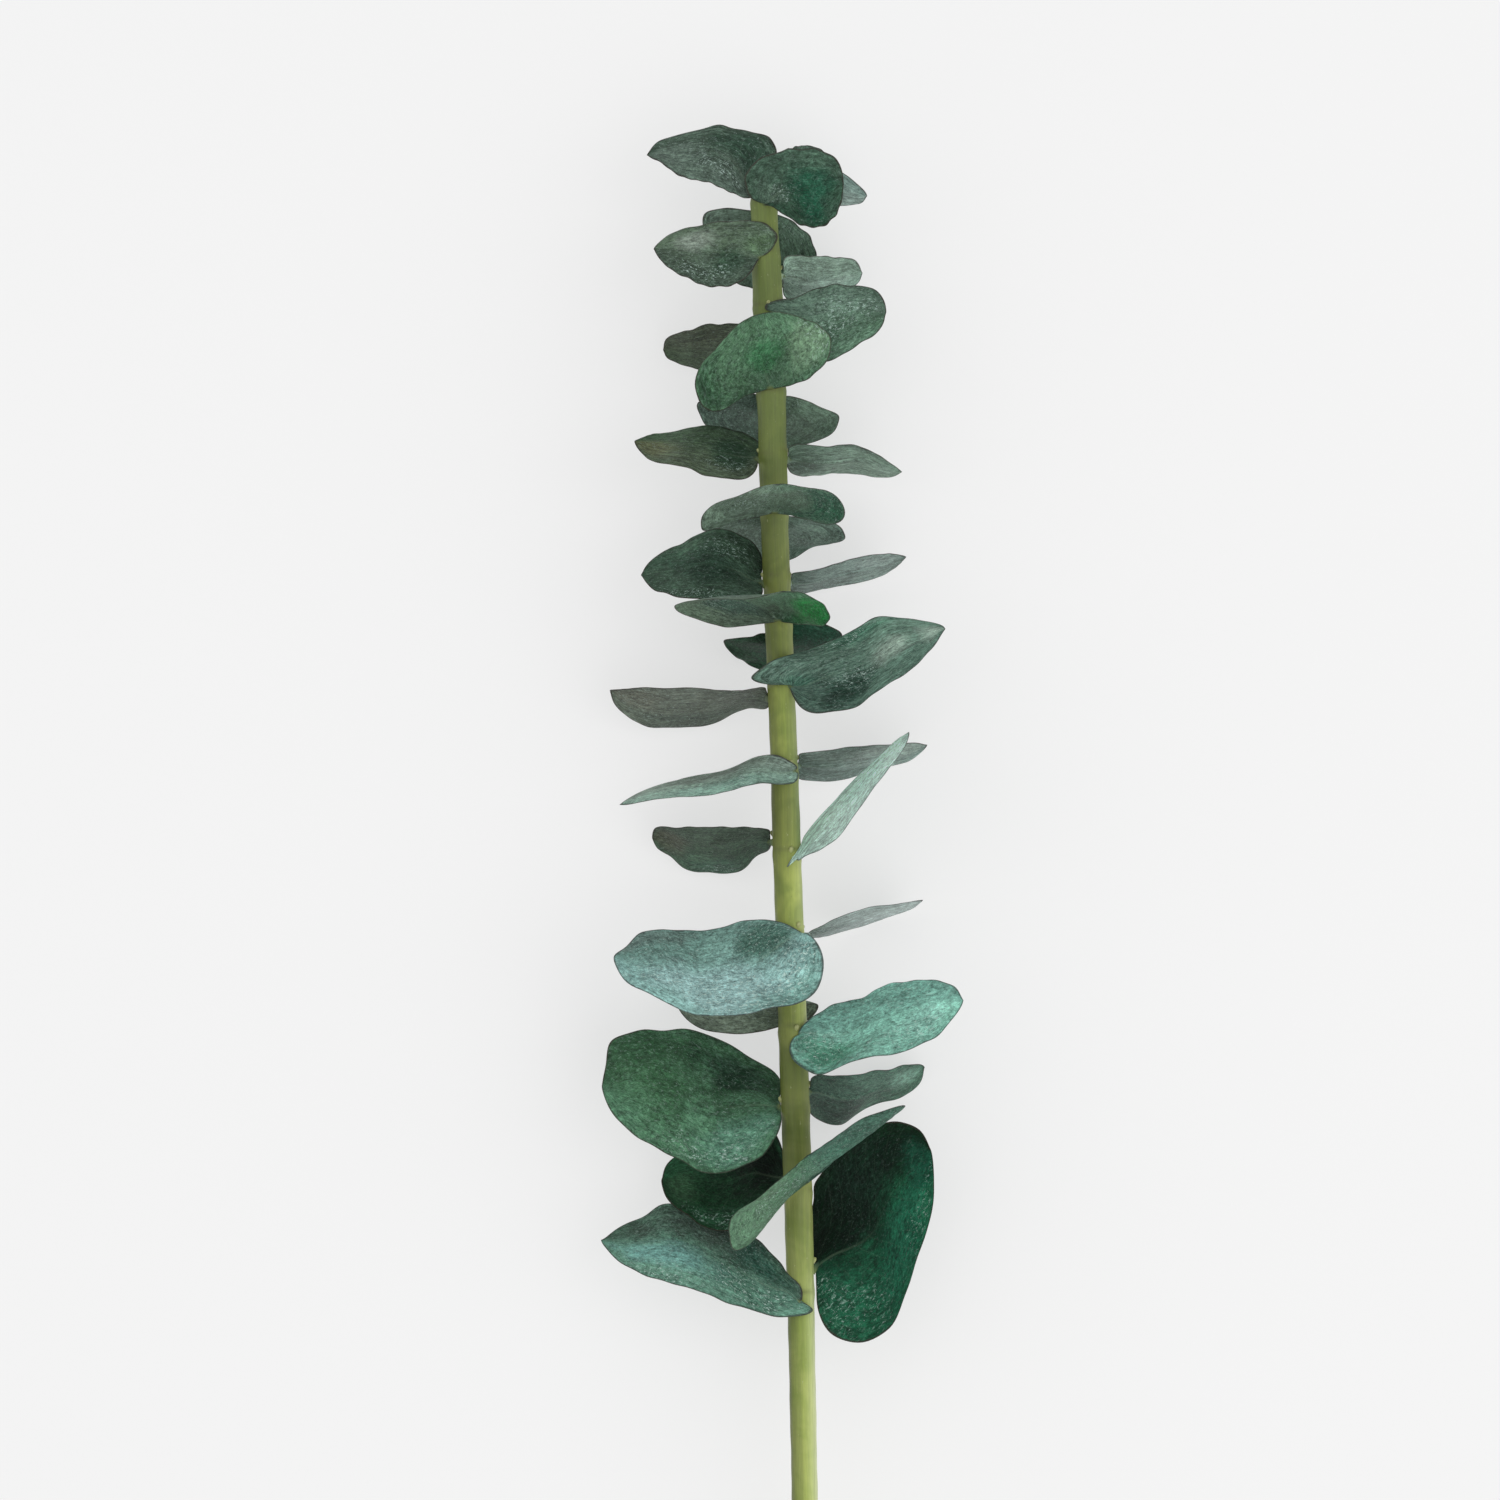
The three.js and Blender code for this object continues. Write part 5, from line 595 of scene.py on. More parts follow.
        [[8.8,127.2,-6.9],[10.7,124.8,-5.3],[15.9,125.1,-6.3]],
        [[10.0,127.5,-6.8],[11.1,126.0,-5.6],[15.1,126.8,-6.2]],
        [[10.9,127.7,-6.5],[11.4,126.9,-5.8],[13.5,127.4,-6.3]],
        [[11.5,127.6,-6.0],[11.7,127.4,-5.9],[12.4,127.6,-6.0]],
        [[11.8,127.6,-5.9],[11.8,127.6,-5.9],[11.8,127.6,-5.9]],
    ],
}

# leaf: (tint toward the first edge, tint toward the second edge,
#        lightness at the base, lightness at the tip, bloom, ruffle mm);
# the edge tints are partly the leaf's own colour and partly painted shade on the half of a leaf that lies in shade,
# and the lower lightness at the base is partly painted shade near the stem
LOOK = {
    "leaf_01_left": ("#3b5948", "#5b8774", 1.0, 1.06, 0.25, 0.42),
    "leaf_01_right": ("#02210c", "#134f36", 0.77, 1.24, 0.25, 0.42),
    "leaf_02_front": ("#4c7758", "#38604f", 0.74, 1.18, 0.25, 0.42),
    "leaf_02_back": ("#1f492f", "#0a2f17", 0.7, 1.2, 0.25, 0.42),
    "leaf_03_left": ("#345a3d", "#4e7a5c", 0.94, 1.03, 0.25, 0.42),
    "leaf_03_right": ("#466656", "#3f5e4d", 0.74, 1.32, 0.25, 0.25),
    "leaf_04_right": ("#7db5a6", "#7db6a4", 0.83, 1.16, 0.25, 0.25),
    "leaf_04_left": ("#647263", "#727f6e", 0.95, 1.0, 0.2, 0.4),
    "leaf_05_left": ("#749c92", "#8fbbb5", 0.87, 1.0, 0.25, 0.42),
    "leaf_05_right": ("#a8b7b3", "#a6b3b0", 0.78, 1.19, 0.25, 0.25),
    "leaf_06_right": ("#d4f8e8", "#d1f0e4", 0.94, 1.03, 0.25, 0.2),
    "leaf_06_left": ("#405041", "#415a47", 0.91, 1.19, 0.25, 0.2),
    "leaf_07_left": ("#85988b", "#8faf9f", 0.89, 1.11, 0.25, 0.2),
    "leaf_07_right": ("#7e8d85", "#7c9189", 0.75, 1.22, 0.25, 0.2),
    "leaf_08_right": ("#607f6f", "#567566", 0.7, 1.34, 0.25, 0.34),
    "leaf_08_left": ("#676e62", "#626c5e", 0.88, 1.1, 0.25, 0.2),
    "leaf_09_front": ("#556754", "#3f6147", 0.7, 1.35, 0.25, 0.34),
    "leaf_09_back": ("#274631", "#1c4432", 0.94, 1.17, 0.25, 0.34),
    "leaf_10_left": ("#405a47", "#3e5645", 0.9, 1.06, 0.25, 0.34),
    "leaf_10_right": ("#7f938b", "#7c8e86", 0.83, 1.09, 0.25, 0.2),
    "leaf_11_front": ("#6d8370", "#56715c", 0.86, 1.17, 0.25, 0.26),
    "leaf_11_back": ("#6a8070", "#799183", 0.9, 1.1, 0.2, 0.26),
    "leaf_12_left": ("#40573e", "#4f5d48", 0.83, 1.19, 0.25, 0.26),
    "leaf_12_right": ("#799381", "#7e9484", 0.83, 1.12, 0.25, 0.16),
    "leaf_13_front": ("#44664a", "#476a4e", 0.85, 1.23, 0.25, 0.26),
    "leaf_13_back": ("#556c5f", "#68806d", 0.9, 1.1, 0.2, 0.26),
    "leaf_14_right": ("#577160", "#52725b", 0.93, 1.04, 0.25, 0.26),
    "leaf_14_left": ("#505947", "#4c5c45", 1.12, 0.98, 0.25, 0.26),
    "leaf_15_left": ("#5a6f59", "#465849", 0.89, 1.11, 0.25, 0.26),
    "leaf_15_right": ("#8aa593", "#94b1a1", 0.91, 1.04, 0.25, 0.26),
    "leaf_16_back": ("#6b8171", "#607c68", 0.9, 1.1, 0.2, 0.26),
    "leaf_16_front": ("#3d5646", "#2d4a38", 1.05, 1.01, 0.25, 0.26),
    "leaf_17_left": ("#465b4c", "#586a5e", 0.93, 1.09, 0.25, 0.26),
    "leaf_17_right": ("#849e96", "#95a8a1", 0.95, 1.1, 0.25, 0.26),
    "leaf_18_back": ("#4d6354", "#51675a", 0.9, 1.1, 0.2, 0.15),
}

# Broad patches on single leaves, partly wax and darker green and partly painted highlight and painted shade: (along,
# across, reach along, reach across, tint, strength), then where the wax is frosted and its flecks carry painted
# highlights: (along, across, reach, reach).
# along runs 0 at the base to 1 at the tip, across -1 to 1 from edge to edge.
TONES = {
    "leaf_01_left": (((0.50, -0.6, 0.55, 0.5, "#2e3e34", 0.75), (0.20, -0.55, 0.22, 0.5, "#16493a", 0.8), (0.72, 0.35, 0.30, 0.5, "#72a7a0", 0.8), (0.25, 0.45, 0.25, 0.5, "#487662", 0.5)),
                     ((0.70, 0.7, 0.25, 0.35), (0.72, 0.9, 0.2, 0.25), (0.25, 0.5, 0.25, 0.5))),
    "leaf_01_right": (((0.48, -0.5, 0.5, 0.7, "#031a0f", 0.9), (0.70, 0.50, 0.34, 0.5, "#1c5b44", 0.7), (0.18, 0.7, 0.25, 0.45, "#1f6045", 0.6), (0.92, 0.0, 0.14, 0.7, "#174d3a", 0.7)),
                      ((0.80, 0.75, 0.16, 0.3), (0.20, 0.75, 0.22, 0.35))),
    "leaf_02_front": (((0.55, -0.8, 0.5, 0.35, "#688d6f", 0.6), (0.5, 0.3, 0.5, 0.3, "#396d59", 0.5)),
                      ((0.5, -0.3, 0.4, 0.5),)),
    "leaf_02_back": (((0.30, -0.45, 0.42, 0.75, "#021207", 0.95), (0.85, 0.2, 0.2, 0.7, "#3a5b40", 0.6), (0.5, 0.75, 0.3, 0.25, "#2b583d", 0.5)),
                     ((0.55, 0.8, 0.3, 0.2),)),
    "leaf_03_left": (((0.28, -0.62, 0.26, 0.38, "#153723", 0.9), (0.25, 0.62, 0.28, 0.38, "#689c84", 0.75), (0.75, 0.1, 0.3, 0.8, "#3f6c48", 0.6)),
                     ((0.28, 0.72, 0.25, 0.28), (0.55, 0.7, 0.12, 0.25))),
    "leaf_03_right": (((0.85, -0.1, 0.2, 0.6, "#789d8c", 0.6), (0.25, 0.5, 0.25, 0.5, "#24382e", 0.7)), ()),
    "leaf_04_right": (((0.22, 0.45, 0.2, 0.5, "#428f6f", 0.7), (0.78, 0.2, 0.25, 0.6, "#93cbbb", 0.7), (0.55, -0.5, 0.3, 0.4, "#7ab1a2", 0.5)),
                      ((0.72, 0.55, 0.25, 0.35), (0.18, 0.2, 0.18, 0.5))),
    "leaf_05_left": (((0.18, -0.35, 0.17, 0.6, "#436c5d", 0.85), (0.50, 0.40, 0.34, 0.6, "#acd5d3", 0.85), (0.80, -0.85, 0.3, 0.25, "#5f6c68", 0.6), (0.25, 0.9, 0.2, 0.25, "#679a8b", 0.5)),
                     ((0.50, 0.55, 0.35, 0.45), (0.20, 0.7, 0.15, 0.3))),
    "leaf_06_right": (((0.6, 0.0, 0.3, 0.6, "#ccf7e8", 0.6), (0.25, -0.6, 0.25, 0.4, "#9ac0b0", 0.5)), ((0.5, 0.0, 0.6, 1.1), (0.75, 0.0, 0.3, 0.8))),
    "leaf_06_left": (((0.90, 0.0, 0.2, 0.9, "#585648", 0.6), (0.45, 0.7, 0.25, 0.35, "#4b6c5a", 0.7)), ((0.45, 0.8, 0.2, 0.2),)),
    "leaf_07_left": (((0.45, 0.6, 0.35, 0.5, "#99c7b5", 0.7), (0.35, -0.7, 0.3, 0.35, "#657166", 0.6)), ((0.4, 0.5, 0.4, 0.5),)),
    "leaf_07_right": (((0.85, -0.3, 0.2, 0.6, "#92a49a", 0.6), (0.3, 0.6, 0.3, 0.4, "#4e675c", 0.5)), ()),
    "leaf_08_right": (((0.66, 0.0, 0.16, 0.45, "#94a79a", 0.8), (0.93, 0.0, 0.12, 0.7, "#a4b6a9", 0.6), (0.33, 0.55, 0.24, 0.45, "#1e4133", 0.85), (0.62, -0.8, 0.18, 0.22, "#2d644c", 0.7), (0.10, -0.3, 0.12, 0.5, "#3c7961", 0.6)),
                      ((0.60, -0.85, 0.18, 0.15), (0.35, 0.2, 0.2, 0.3))),
    "leaf_08_left": (((0.5, 0.6, 0.3, 0.4, "#536154", 0.6), (0.85, -0.3, 0.2, 0.6, "#7c7e6e", 0.5)), ()),
    "leaf_09_front": (((0.5, 0.75, 0.35, 0.35, "#167e36", 0.9), (0.45, -0.4, 0.3, 0.4, "#27473c", 0.7)), ((0.6, -0.5, 0.2, 0.3),)),
    "leaf_10_left": (((0.45, 0.0, 0.35, 0.6, "#233e2f", 0.8), (0.75, -0.5, 0.25, 0.4, "#466753", 0.5)), ((0.5, 0.85, 0.35, 0.18), (0.35, -0.5, 0.2, 0.3))),
    "leaf_10_right": (((0.75, -0.4, 0.25, 0.5, "#a0b2ab", 0.6),), ()),
    "leaf_11_front": (((0.45, 0.75, 0.4, 0.3, "#255d44", 0.8), (0.45, -0.5, 0.4, 0.5, "#657a6a", 0.4)), ((0.5, -0.3, 0.4, 0.3),)),
    "leaf_12_left": (((0.20, 0.0, 0.22, 0.7, "#21442e", 0.75), (0.85, 0.2, 0.22, 0.7, "#6b6e4c", 0.65)), ((0.3, 0.5, 0.2, 0.3),)),
    "leaf_12_right": (((0.85, 0.1, 0.2, 0.6, "#98afa1", 0.5), (0.2, 0.4, 0.2, 0.5, "#546e5c", 0.5)), ()),
    "leaf_13_front": (((0.50, 0.70, 0.4, 0.35, "#7fa080", 0.7), (0.48, 0.0, 0.3, 0.35, "#36774a", 0.7), (0.45, -0.85, 0.3, 0.25, "#23472c", 0.8)),
                      ((0.5, 0.85, 0.3, 0.18),)),
    "leaf_14_right": (((0.35, 0.5, 0.3, 0.5, "#3f614b", 0.6), (0.6, -0.5, 0.3, 0.4, "#6e8b79", 0.5)), ((0.6, -0.2, 0.3, 0.6),)),
    "leaf_15_left": (((0.66, -0.35, 0.2, 0.45, "#919e92", 0.75), (0.28, 0.3, 0.2, 0.5, "#2b4a35", 0.75), (0.12, -0.5, 0.14, 0.5, "#5a7953", 0.6)), ((0.5, 0.6, 0.3, 0.3),)),
    "leaf_15_right": (((0.6, 0.2, 0.4, 0.3, "#b2ccbe", 0.5),), ()),
    "leaf_16_front": (((0.65, 0.1, 0.35, 0.8, "#1a533d", 0.85), (0.15, -0.1, 0.18, 0.8, "#586f5f", 0.75)), ((0.2, 0.0, 0.2, 0.6),)),
    "leaf_17_left": (((0.30, -0.5, 0.28, 0.45, "#2d4e3c", 0.7), (0.78, 0.2, 0.25, 0.6, "#697c70", 0.6)), ((0.3, 0.4, 0.25, 0.3),)),
}

# how far the surface is streaked lengthwise rather than mottled
STREAK = {"leaf_17_left": 0.9, "leaf_08_right": 1.0, "leaf_12_left": 1.0, "leaf_12_right": 0.9, "leaf_14_right": 0.5,
          "leaf_15_right": 0.9, "leaf_10_left": 0.6, "leaf_10_right": 0.8, "leaf_16_back": 0.9, "leaf_11_back": 0.6,
          "leaf_11_front": 0.6, "leaf_08_left": 0.8, "leaf_07_right": 0.9, "leaf_14_left": 0.8, "leaf_05_right": 0.9,
          "leaf_06_left": 0.5, "leaf_09_front": 0.6, "leaf_17_right": 0.6, "leaf_07_left": 0.5, "leaf_06_right": 0.5,
          "leaf_13_front": 0.0, "leaf_16_front": 0.1, "leaf_04_right": 0.15, "leaf_05_left": 0.2, "leaf_01_right": 0.1,
          "leaf_03_left": 0.3, "leaf_15_left": 0.3}



# ------------------------------------------------------------------- geometry
def natural_spline(x, y, q):
    """Natural cubic through y[k] at x[k], sampled at q."""
    n = len(x)
    h = np.diff(x)
    flat = y.reshape(n, -1)
    a = np.zeros((n, n))
    r = np.zeros_like(flat)
    a[0, 0] = a[-1, -1] = 1.0
    for i in range(1, n - 1):
        a[i, i - 1], a[i, i], a[i, i + 1] = h[i - 1], 2 * (h[i - 1] + h[i]), h[i]
        r[i] = 6 * ((flat[i + 1] - flat[i]) / h[i] - (flat[i] - flat[i - 1]) / h[i - 1])
    m = np.linalg.solve(a, r)
    k = np.clip(np.searchsorted(x, q, side="right") - 1, 0, n - 2)
    hh = h[k][:, None]
    u = ((x[k + 1] - q) / h[k])[:, None]
    v = 1 - u
    out = u * flat[k] + v * flat[k + 1] + ((u**3 - u) * m[k] + (v**3 - v) * m[k + 1]) * hh**2 / 6
    return out.reshape((len(q),) + y.shape[1:])


def round_ends(s):
    """Angle for a fraction of the length: both blade ends close in a curve."""
    return np.arccos(np.clip(1 - 2 * np.asarray(s, float), -1, 1)) / math.pi


def stem_at(y):
    return np.interp(y, STEM[:, 1], STEM[:, 0]), np.interp(y, STEM[:, 1], STEM[:, 2])


def clear_of_stem(p):
    cx, r = stem_at(p[..., 1])
    over = np.clip(p[..., 1] - STEM[:, 1].max(), 0, None)
    need = np.sqrt(np.clip((r + GAP) ** 2 - over**2, 0, None))
    dx, dz = p[..., 0] - cx, p[..., 2]
    d = np.hypot(dx, dz) + 1e-9
    k = np.clip(d - need + BLEND, 0, 2 * BLEND)
    m = np.where((d - need > BLEND) | (need <= 0), d, need + k * k / (4 * BLEND))
    out = p.copy()
    out[..., 0] = cx + dx * m / d
    out[..., 2] = dz * m / d
    return out


def unit(v):
    return v / (np.linalg.norm(v, axis=-1, keepdims=True) + 1e-12)


def grid_normals(g):
    n = np.cross(np.gradient(g, axis=0), np.gradient(g, axis=1))
    n[0], n[-1] = n[1].sum(0), n[-2].sum(0)
    return unit(n)


def waves(rng, x, count, lo, hi):
    """A smooth, repeatable wander in x, about +-1."""
    out = np.zeros_like(x)
    for _ in range(count):
        f, ph = rng.uniform(lo, hi), rng.uniform(0, 2 * math.pi)
        out += np.sin(2 * math.pi * f * x + ph) / count**0.5
    return out


def mesh_object(name, verts, faces, attrs, mats, smooth=True):
    me = bpy.data.meshes.new(name)
    me.from_pydata([tuple(v) for v in to_row(verts)], [], faces)
    me.validate()
    me.update()
    for key, val in attrs.items():
        at = me.attributes.new(key, "FLOAT_VECTOR", "POINT")
        at.data.foreach_set("vector", np.asarray(val, np.float32).ravel())
    for m in mats:
        me.materials.append(m)
    me.polygons.foreach_set("use_smooth", [smooth] * len(me.polygons))
    ob = bpy.data.objects.new(name, me)
    bpy.context.scene.collection.objects.link(ob)
    return ob


NS, NT = 84, 44


def leaf_mesh(name, net, seed, ruffle):
    rng = np.random.default_rng(seed)
    q = np.linspace(0, 1, NS + 1)
    ss = 0.35 * q + 0.65 * (0.5 - 0.5 * np.cos(math.pi * q))
    tt = np.sin(0.5 * math.pi * np.linspace(-1, 1, NT + 1)) * 0.8 + np.linspace(-1, 1, NT + 1) * 0.2
    rows = natural_spline(round_ends(STATION), net, round_ends(ss))
    t = tt[None, :, None]
    g = (rows[:, 0][:, None] * (t * (t - 1) / 2) + rows[:, 1][:, None] * (1 - t * t)
         + rows[:, 2][:, None] * (t * (t + 1) / 2))
    g = clear_of_stem(g)
    S, T = np.meshgrid(ss, tt, indexing="ij")
    # real widths and lengths, for shading and for the size of the details
    across = np.linalg.norm(np.diff(g, axis=1), axis=2)
    halfw = across.sum(1) / 2
    along = np.concatenate([[0], np.cumsum(np.linalg.norm(np.diff(g[:, NT // 2], axis=0), axis=1))])
    length = along[-1]
    width = 2 * halfw.max()
    # margin: slightly uneven outline, kept close to the net
    lat = unit(np.gradient(g, axis=1))
    side = np.sign(T)
    wob = np.where(side < 0, waves(rng, S, 5, 2.0, 9.0), waves(rng, S, 5, 2.0, 9.0))
    env = np.clip(np.sin(math.pi * S), 0, 1) ** 0.6
    g = g + lat * (side * wob * np.abs(T) ** 4 * env * 0.16)[..., None]
    # surface: ruffled margin, gentle swells, lengthwise wrinkles, midrib
    n = grid_normals(g)
    ruf = np.where(side < 0, waves(rng, S, 4, 1.5, 5.5), waves(rng, S, 4, 1.5, 5.5))
    swell = waves(rng, S * 1.3 + T * 0.5, 4, 0.5, 1.6)
    fan = T * (0.35 + 0.65 * env)
    wrinkle = (waves(rng, fan * 3.0 + 0.25 * np.sin(3 * S + seed), 5, 1.2, 3.8)
               * (0.6 + 0.4 * waves(rng, S, 3, 0.6, 2.2)))
    rib = np.exp(-(T * halfw[:, None] / 0.55) ** 2) * np.clip(1 - S, 0, 1) ** 0.6 * np.clip(S * 30, 0, 1)
    facing = float(np.clip(np.abs((n[..., 2] * halfw[:, None]).sum()) / (halfw.sum() * (NT + 1)), 0.15, 1.0))
    disp = env * (ruffle * facing * np.abs(T) ** 2.4 * ruf + 0.16 * facing * swell + 0.055 * wrinkle) - 0.10 * rib * env
    g = g + n * disp[..., None]
    n = grid_normals(g)
    top_is_up = 1.0 if (n[..., 2] * halfw[:, None]).sum() >= 0 else -1.0
    edge = np.sqrt(np.clip(1 - np.abs(T) ** 7, 0, 1)) * np.sqrt(np.clip(1 - np.abs(2 * S - 1) ** 22, 0, 1))
    thick = (0.5 * BLADE) * (0.62 + 0.38 * np.exp(-(T / 0.3) ** 2)) * edge
    top = g + n * thick[..., None]
    bot = g - n * (thick + 0.26 * rib * env * edge)[..., None]
    verts, faces, a_st, a_mm = [], [], [], []
    idx = {}

    rimmm = (1 - np.abs(T)) * halfw[:, None]
    endmm = np.minimum(along[:, None], length - along[:, None]) + 0 * T
    rimmm = np.minimum(rimmm, endmm * 1.0 + 0.0)

    def vid(i, j, lower):
        if i in (0, NS):
            key = (i, 0, 0)
        elif j in (0, NT):
            key = (i, j, 0)
        else:
            key = (i, j, lower)
        if key not in idx:
            idx[key] = len(verts)
            jj = NT // 2 if i in (0, NS) else j
            p = (bot if key[2] else top)[i, jj]
            if i in (0, NS) or j in (0, NT):
                p = g[i, jj]
            verts.append(p)
            a_st.append((S[i, jj], T[i, jj], float(key[2]) if top_is_up > 0 else 1.0 - float(key[2])))
            a_mm.append((along[i], T[i, jj] * halfw[i] if i not in (0, NS) else 0.0, rimmm[i, jj]))
        return idx[key]

    for i in range(NS):
        for j in range(NT):
            for lower in (0, 1):
                f = [vid(i, j, lower), vid(i + 1, j, lower), vid(i + 1, j + 1, lower), vid(i, j + 1, lower)]
                if lower:
                    f = f[::-1]
                f = [v for k, v in enumerate(f) if v != f[k - 1]]
                if len(f) > 2:
                    faces.append(tuple(f))
    # short fleshy foot where the blade sits on the bark
    base = g[0, NT // 2]
    inward = unit(g[6, NT // 2] - base)
    cx, r = stem_at(base[1])
    out = unit(np.array([base[0] - cx, 0.0, base[2]]))
    p1 = np.array([cx, base[1] - 0.3, 0.0]) + out * (r - 0.5)
    heel = 1.0 - 0.7 * max(0.0, out[2])      # a heel seen from the front stays slim
    p0 = base + inward * 1.6
    ax = unit(p1 - p0)
    wid = unit(np.cross(ax, n[3, NT // 2]))
    hgt = unit(np.cross(wid, ax))
    k0, sides, steps = len(verts), 20, 9
    for a in range(steps + 1):
        f = a / steps
        c = p0 * (1 - f) + p1 * f
        rw = 0.30 + heel * (0.6 * f**0.7 + 0.4 * f**3)
        rh = 0.14 + heel * (0.22 * f**0.8 + 0.2 * f**3)
        for b in range(sides):
            w = 2 * math.pi * b / sides
            verts.append(c + wid * rw * math.cos(w) + hgt * rh * math.sin(w))
            a_st.append((0.0, 0.0, 0.0))
            a_mm.append((1.5 - 1.3 * f, 0.0, 4.0))
    for a in range(steps):
        for b in range(sides):
            c = (b + 1) % sides
            faces.append((k0 + a * sides + b, k0 + a * sides + c, k0 + (a + 1) * sides + c, k0 + (a + 1) * sides + b))
    faces.append(tuple(k0 + b for b in range(sides))[::-1])
    faces.append(tuple(k0 + steps * sides + b for b in range(sides)))
    # winding: blade faces follow the normals used for the offset
    v = np.array(verts)
    f0 = faces[(NS // 2) * NT * 2 + NT]
    nn = np.cross(v[f0[1]] - v[f0[0]], v[f0[2]] - v[f0[0]])
    c0 = v[list(f0)].mean(0)
    mid = g.reshape(-1, 3)[np.argmin(np.linalg.norm(g.reshape(-1, 3) - c0, axis=1))]
    if np.dot(nn, c0 - mid) < 0:
        blade_n = len(faces) - (steps * sides + 2)
        faces = [tuple(f[::-1]) for f in faces[:blade_n]] + faces[blade_n:]
    return v, faces, a_st, a_mm, length, width


# ------------------------------------------------------------------ materials
def srgb(hexa, gain=1.0):
    out = []
    for k in (1, 3, 5):
        c = int(hexa[k:k + 2], 16) / 255
        out.append(min(1.0, gain * (c / 12.92 if c <= 0.04045 else ((c + 0.055) / 1.055) ** 2.4)))
    return out + [1.0]


class Nodes:
    def __init__(self, name):
        self.mat = bpy.data.materials.new(name)
        self.mat.use_nodes = True
        self.t = self.mat.node_tree
        self.t.nodes.clear()
        self.out = self.t.nodes.new("ShaderNodeOutputMaterial")
        self.bsdf = self.t.nodes.new("ShaderNodeBsdfPrincipled")
        self.t.links.new(self.bsdf.outputs[0], self.out.inputs[0])

    def put(self, sock, val):
        if isinstance(val, bpy.types.NodeSocket):
            self.t.links.new(val, sock)
        elif val is not None:
            sock.default_value = val

    def attr(self, name):
        n = self.t.nodes.new("ShaderNodeAttribute")
        n.attribute_name = name
        return n.outputs["Vector"]

    def split(self, vec):
        n = self.t.nodes.new("ShaderNodeSeparateXYZ")
        self.put(n.inputs[0], vec)
        return n.outputs

    def join(self, x, y, z):
        n = self.t.nodes.new("ShaderNodeCombineXYZ")
        for k, v in enumerate((x, y, z)):
            self.put(n.inputs[k], v)
        return n.outputs[0]

    def math(self, op, a, b=None, c=None, clamp=False):
        n = self.t.nodes.new("ShaderNodeMath")
        n.operation = op
        n.use_clamp = clamp
        self.put(n.inputs[0], a)
        if b is not None:
            self.put(n.inputs[1], b)
        if c is not None:
            self.put(n.inputs[2], c)
        return n.outputs[0]

    def ramp(self, fac, lo, hi, to_lo=0.0, to_hi=1.0, smooth=True):
        n = self.t.nodes.new("ShaderNodeMapRange")
        n.interpolation_type = "SMOOTHSTEP" if smooth else "LINEAR"
        self.put(n.inputs["Value"], fac)
        n.inputs["From Min"].default_value = lo
        n.inputs["From Max"].default_value = hi
        n.inputs["To Min"].default_value = to_lo
        n.inputs["To Max"].default_value = to_hi
        return n.outputs[0]

    def noise(self, vec, scale, detail=3.0, rough=0.55, dist=0.0):
        n = self.t.nodes.new("ShaderNodeTexNoise")
        self.put(n.inputs["Vector"], vec)
        n.inputs["Scale"].default_value = scale
        n.inputs["Detail"].default_value = detail
        n.inputs["Roughness"].default_value = rough
        n.inputs["Distortion"].default_value = dist
        return n.outputs["Fac"]

    def cells(self, vec, scale, wobble):
        """Distance to the border of irregular cells, for netted veins."""
        w = self.t.nodes.new("ShaderNodeVectorMath")
        w.operation = "MULTIPLY_ADD"
        self.put(w.inputs[0], self.join(wobble, self.math("SUBTRACT", 1.0, wobble), 0.0))
        w.inputs[1].default_value = (0.9, 0.9, 0.0)
        self.put(w.inputs[2], vec)
        n = self.t.nodes.new("ShaderNodeTexVoronoi")
        n.feature = "DISTANCE_TO_EDGE"
        self.put(n.inputs["Vector"], w.outputs[0])
        n.inputs["Scale"].default_value = scale
        return n.outputs["Distance"]

    def curve(self, fac, table):
        """Piecewise value of fac (0..1) from a short table of (position, value)."""
        n = self.t.nodes.new("ShaderNodeFloatCurve")
        c = n.mapping.curves[0]
        lo, hi = table[0], table[-1]
        c.points[0].location, c.points[1].location = (lo[0], lo[1] / 2), (hi[0], hi[1] / 2)
        for p, v in table[1:-1]:
            c.points.new(p, v / 2)
        n.mapping.update()
        self.put(n.inputs["Value"], fac)
        return self.math("MULTIPLY", n.outputs[0], 2.0)

    def mix(self, fac, a, b, mode="MIX"):
        n = self.t.nodes.new("ShaderNodeMix")
        n.data_type = "RGBA"
        n.blend_type = mode
        self.put(n.inputs[0], fac)
        self.put(n.inputs[6], a)
        self.put(n.inputs[7], b)
        return n.outputs[2]

    def bump(self, height, strength, distance, normal=None):
        n = self.t.nodes.new("ShaderNodeBump")
        n.inputs["Strength"].default_value = strength
        n.inputs["Distance"].default_value = distance
        self.put(n.inputs["Height"], height)
        if normal is not None:
            self.put(n.inputs["Normal"], normal)
        return n.outputs[0]


